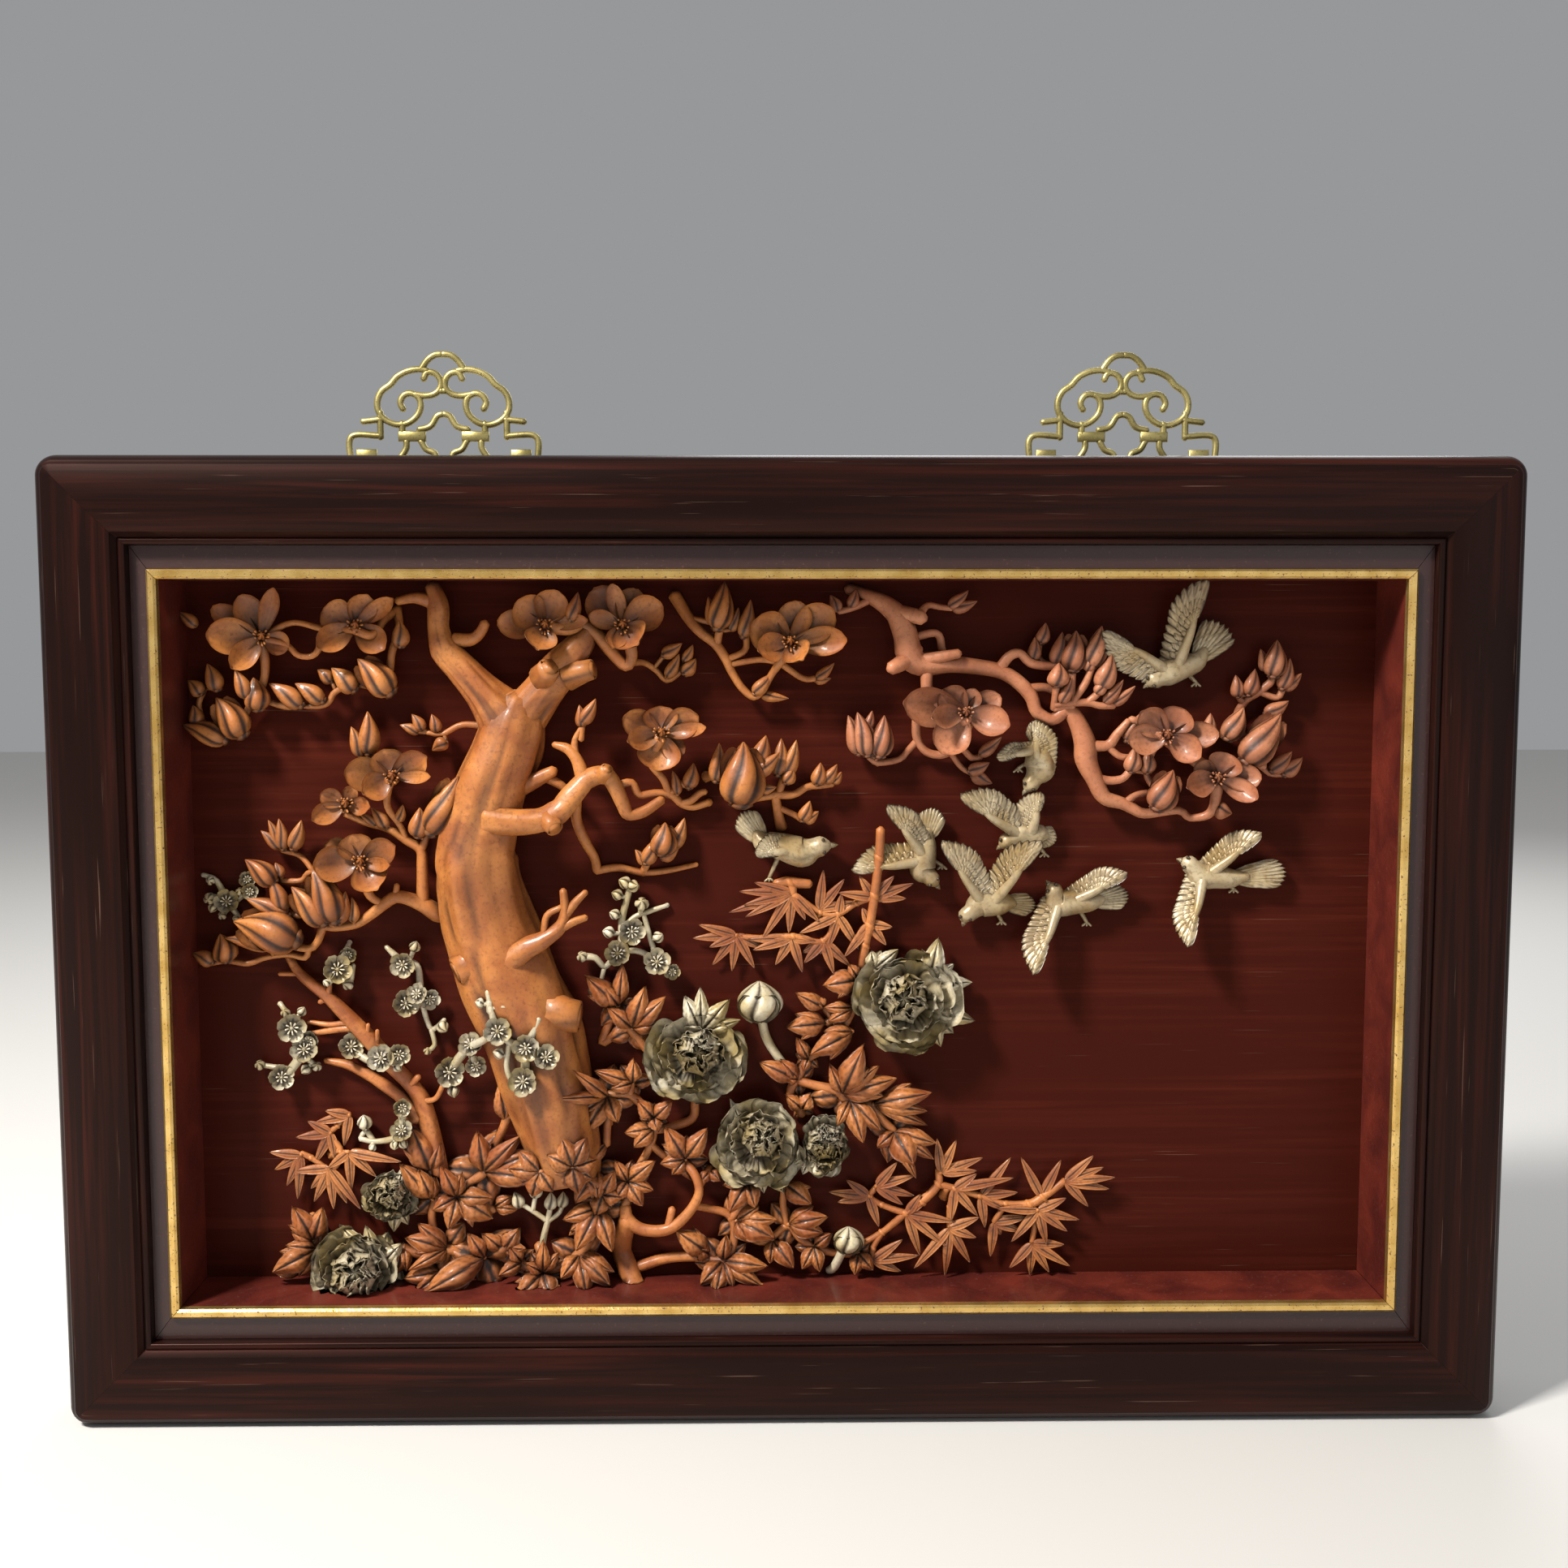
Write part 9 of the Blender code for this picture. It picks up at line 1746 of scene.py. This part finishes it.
def hanger(name):
    """A pierced hanger of round-edged strokes and three small blocks a side."""
    shape = Shape()
    shape.inside = False
    low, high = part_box(name)
    middle_x, middle_y, foot = (low[0] + high[0]) / 2, (low[1] + high[1]) / 2, FRAME_HEIGHT / 2
    for stroke in HANGER_STROKES:
        for turn in (-1, 1):
            line = np.array([(middle_x + turn * x * MM, middle_y, foot + max(0.0006, z * MM), 0.0021)
                             for x, z in stroke])
            line[:, 2] = np.minimum(line[:, 2], high[2] - 0.0023)
            tube(shape, resampled(line, 0.0016), 12, 0.0, 0.05, 0.93)
    for (x0, z0), (x1, z1) in HANGER_BLOCKS:
        for turn in (-1, 1):
            base, top = max(0.0006, z0 * MM) + foot, z1 * MM + foot
            left, right = sorted((middle_x + turn * x0 * MM, middle_x + turn * x1 * MM))
            rows = []
            for inset, depth in ((0.0006, 0.0), (0.0, 0.0006), (0.0, 0.0032), (0.0006, 0.0038)):
                y = middle_y + 0.0019 - depth
                rows.append([(left + inset, y, base + inset), (right - inset, y, base + inset),
                             (right - inset, y, top - inset), (left + inset, y, top - inset)])
            faces = strip_faces(4, 4, True) + [(3, 2, 1, 0), (12, 13, 14, 15)]
            shape.add(np.array(rows), faces, 0.0)
    for turn in (-1, 1):
        centre = np.array((middle_x + turn * 0.049, middle_y - 0.0012, foot + 0.0045))
        spindle(shape, centre, centre - (0, 0.0008, 0), 0.005, 2, 6, 14, 1.0)
    settle(shape.object(name + "_casting", antique_brass), name)


for side in ("top", "right", "bottom", "left"):
    rail(side)
hanger("hanger_left")
hanger("hanger_right")
for name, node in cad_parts.items():
    for part, finish in (("liner", red_lacquer), ("gilt", gilding), ("back_board", board_wood)):
        if name.startswith(part):
            node.data.materials.clear()
            node.data.materials.append(finish)
            bevel = node.modifiers.new("soft_edges", "BEVEL")
            bevel.width = 0.0003
            bevel.segments = 2
            bevel.limit_method = "ANGLE"

floor_mesh = bpy.data.meshes.new("floor")
floor_z = -FRAME_HEIGHT / 2 - 0.0005
floor_mesh.from_pydata([(-6, -6, floor_z), (6, -6, floor_z), (6, 6, floor_z), (-6, 6, floor_z)], [],
                       [(0, 1, 2, 3)])
floor = bpy.data.objects.new("floor", floor_mesh)
pale = bpy.data.materials.new("pale_floor")
pale.use_nodes = True
pale.node_tree.nodes["Principled BSDF"].inputs["Base Color"].default_value = (0.72, 0.71, 0.69, 1)
pale.node_tree.nodes["Principled BSDF"].inputs["Roughness"].default_value = 0.85
floor_mesh.materials.append(pale)
bpy.context.scene.collection.objects.link(floor)


def lamp(name, place, size, power, colour=(1.0, 1.0, 1.0)):
    data = bpy.data.lights.new(name, "AREA")
    data.energy = power
    data.size = size
    data.color = colour
    made = bpy.data.objects.new(name, data)
    made.location = place
    made.rotation_euler = (Vector((0, 0, 0)) - Vector(place)).to_track_quat("-Z", "Y").to_euler()
    bpy.context.scene.collection.objects.link(made)


lamp("key", (-1.35, -1.25, 1.85), 0.4, 108, (1.0, 0.96, 0.90))
lamp("fill", (1.4, -2.2, 0.4), 2.0, 6, (0.94, 0.96, 1.0))
lamp("back", (0.6, 2.2, 1.6), 1.6, 30)
world = bpy.data.worlds.new("studio")
world.use_nodes = True
world.node_tree.nodes["Background"].inputs["Color"].default_value = (0.86, 0.87, 0.89, 1)
world.node_tree.nodes["Background"].inputs["Strength"].default_value = 0.36
bpy.context.scene.world = world

# The photograph's view: the lens and sensor in millimetres, the eye in metres and its turns in radians
CAMERA_LENS = 39.93
CAMERA_SENSOR = 36.0
CAMERA_PLACE = (-0.01565, -1.1406, 0.20127)
CAMERA_TURNS = (0.0901, -0.0136, -0.0018)
camera_data = bpy.data.cameras.new("camera")
camera_data.lens = CAMERA_LENS
camera_data.sensor_width = CAMERA_SENSOR
camera = bpy.data.objects.new("camera", camera_data)


def turned(x, y, z):
    """The viewer's turn: about the across axis, the up axis and then the viewing axis."""
    about_x = np.array(((1, 0, 0), (0, math.cos(x), -math.sin(x)), (0, math.sin(x), math.cos(x))))
    about_y = np.array(((math.cos(y), 0, math.sin(y)), (0, 1, 0), (-math.sin(y), 0, math.cos(y))))
    about_z = np.array(((math.cos(z), -math.sin(z), 0), (math.sin(z), math.cos(z), 0), (0, 0, 1)))
    return about_z @ about_y @ about_x


view = turned(*CAMERA_TURNS)
right, down, ahead = (Vector((row[0], row[2], -row[1])) for row in view)
axes = Matrix((right, -down, -ahead)).transposed()
camera.matrix_world = Matrix.Translation(CAMERA_PLACE) @ axes.to_4x4()
bpy.context.scene.collection.objects.link(camera)
bpy.context.scene.camera = camera
bpy.context.scene.view_settings.view_transform = "Standard"
bpy.context.scene.view_settings.look = "None"
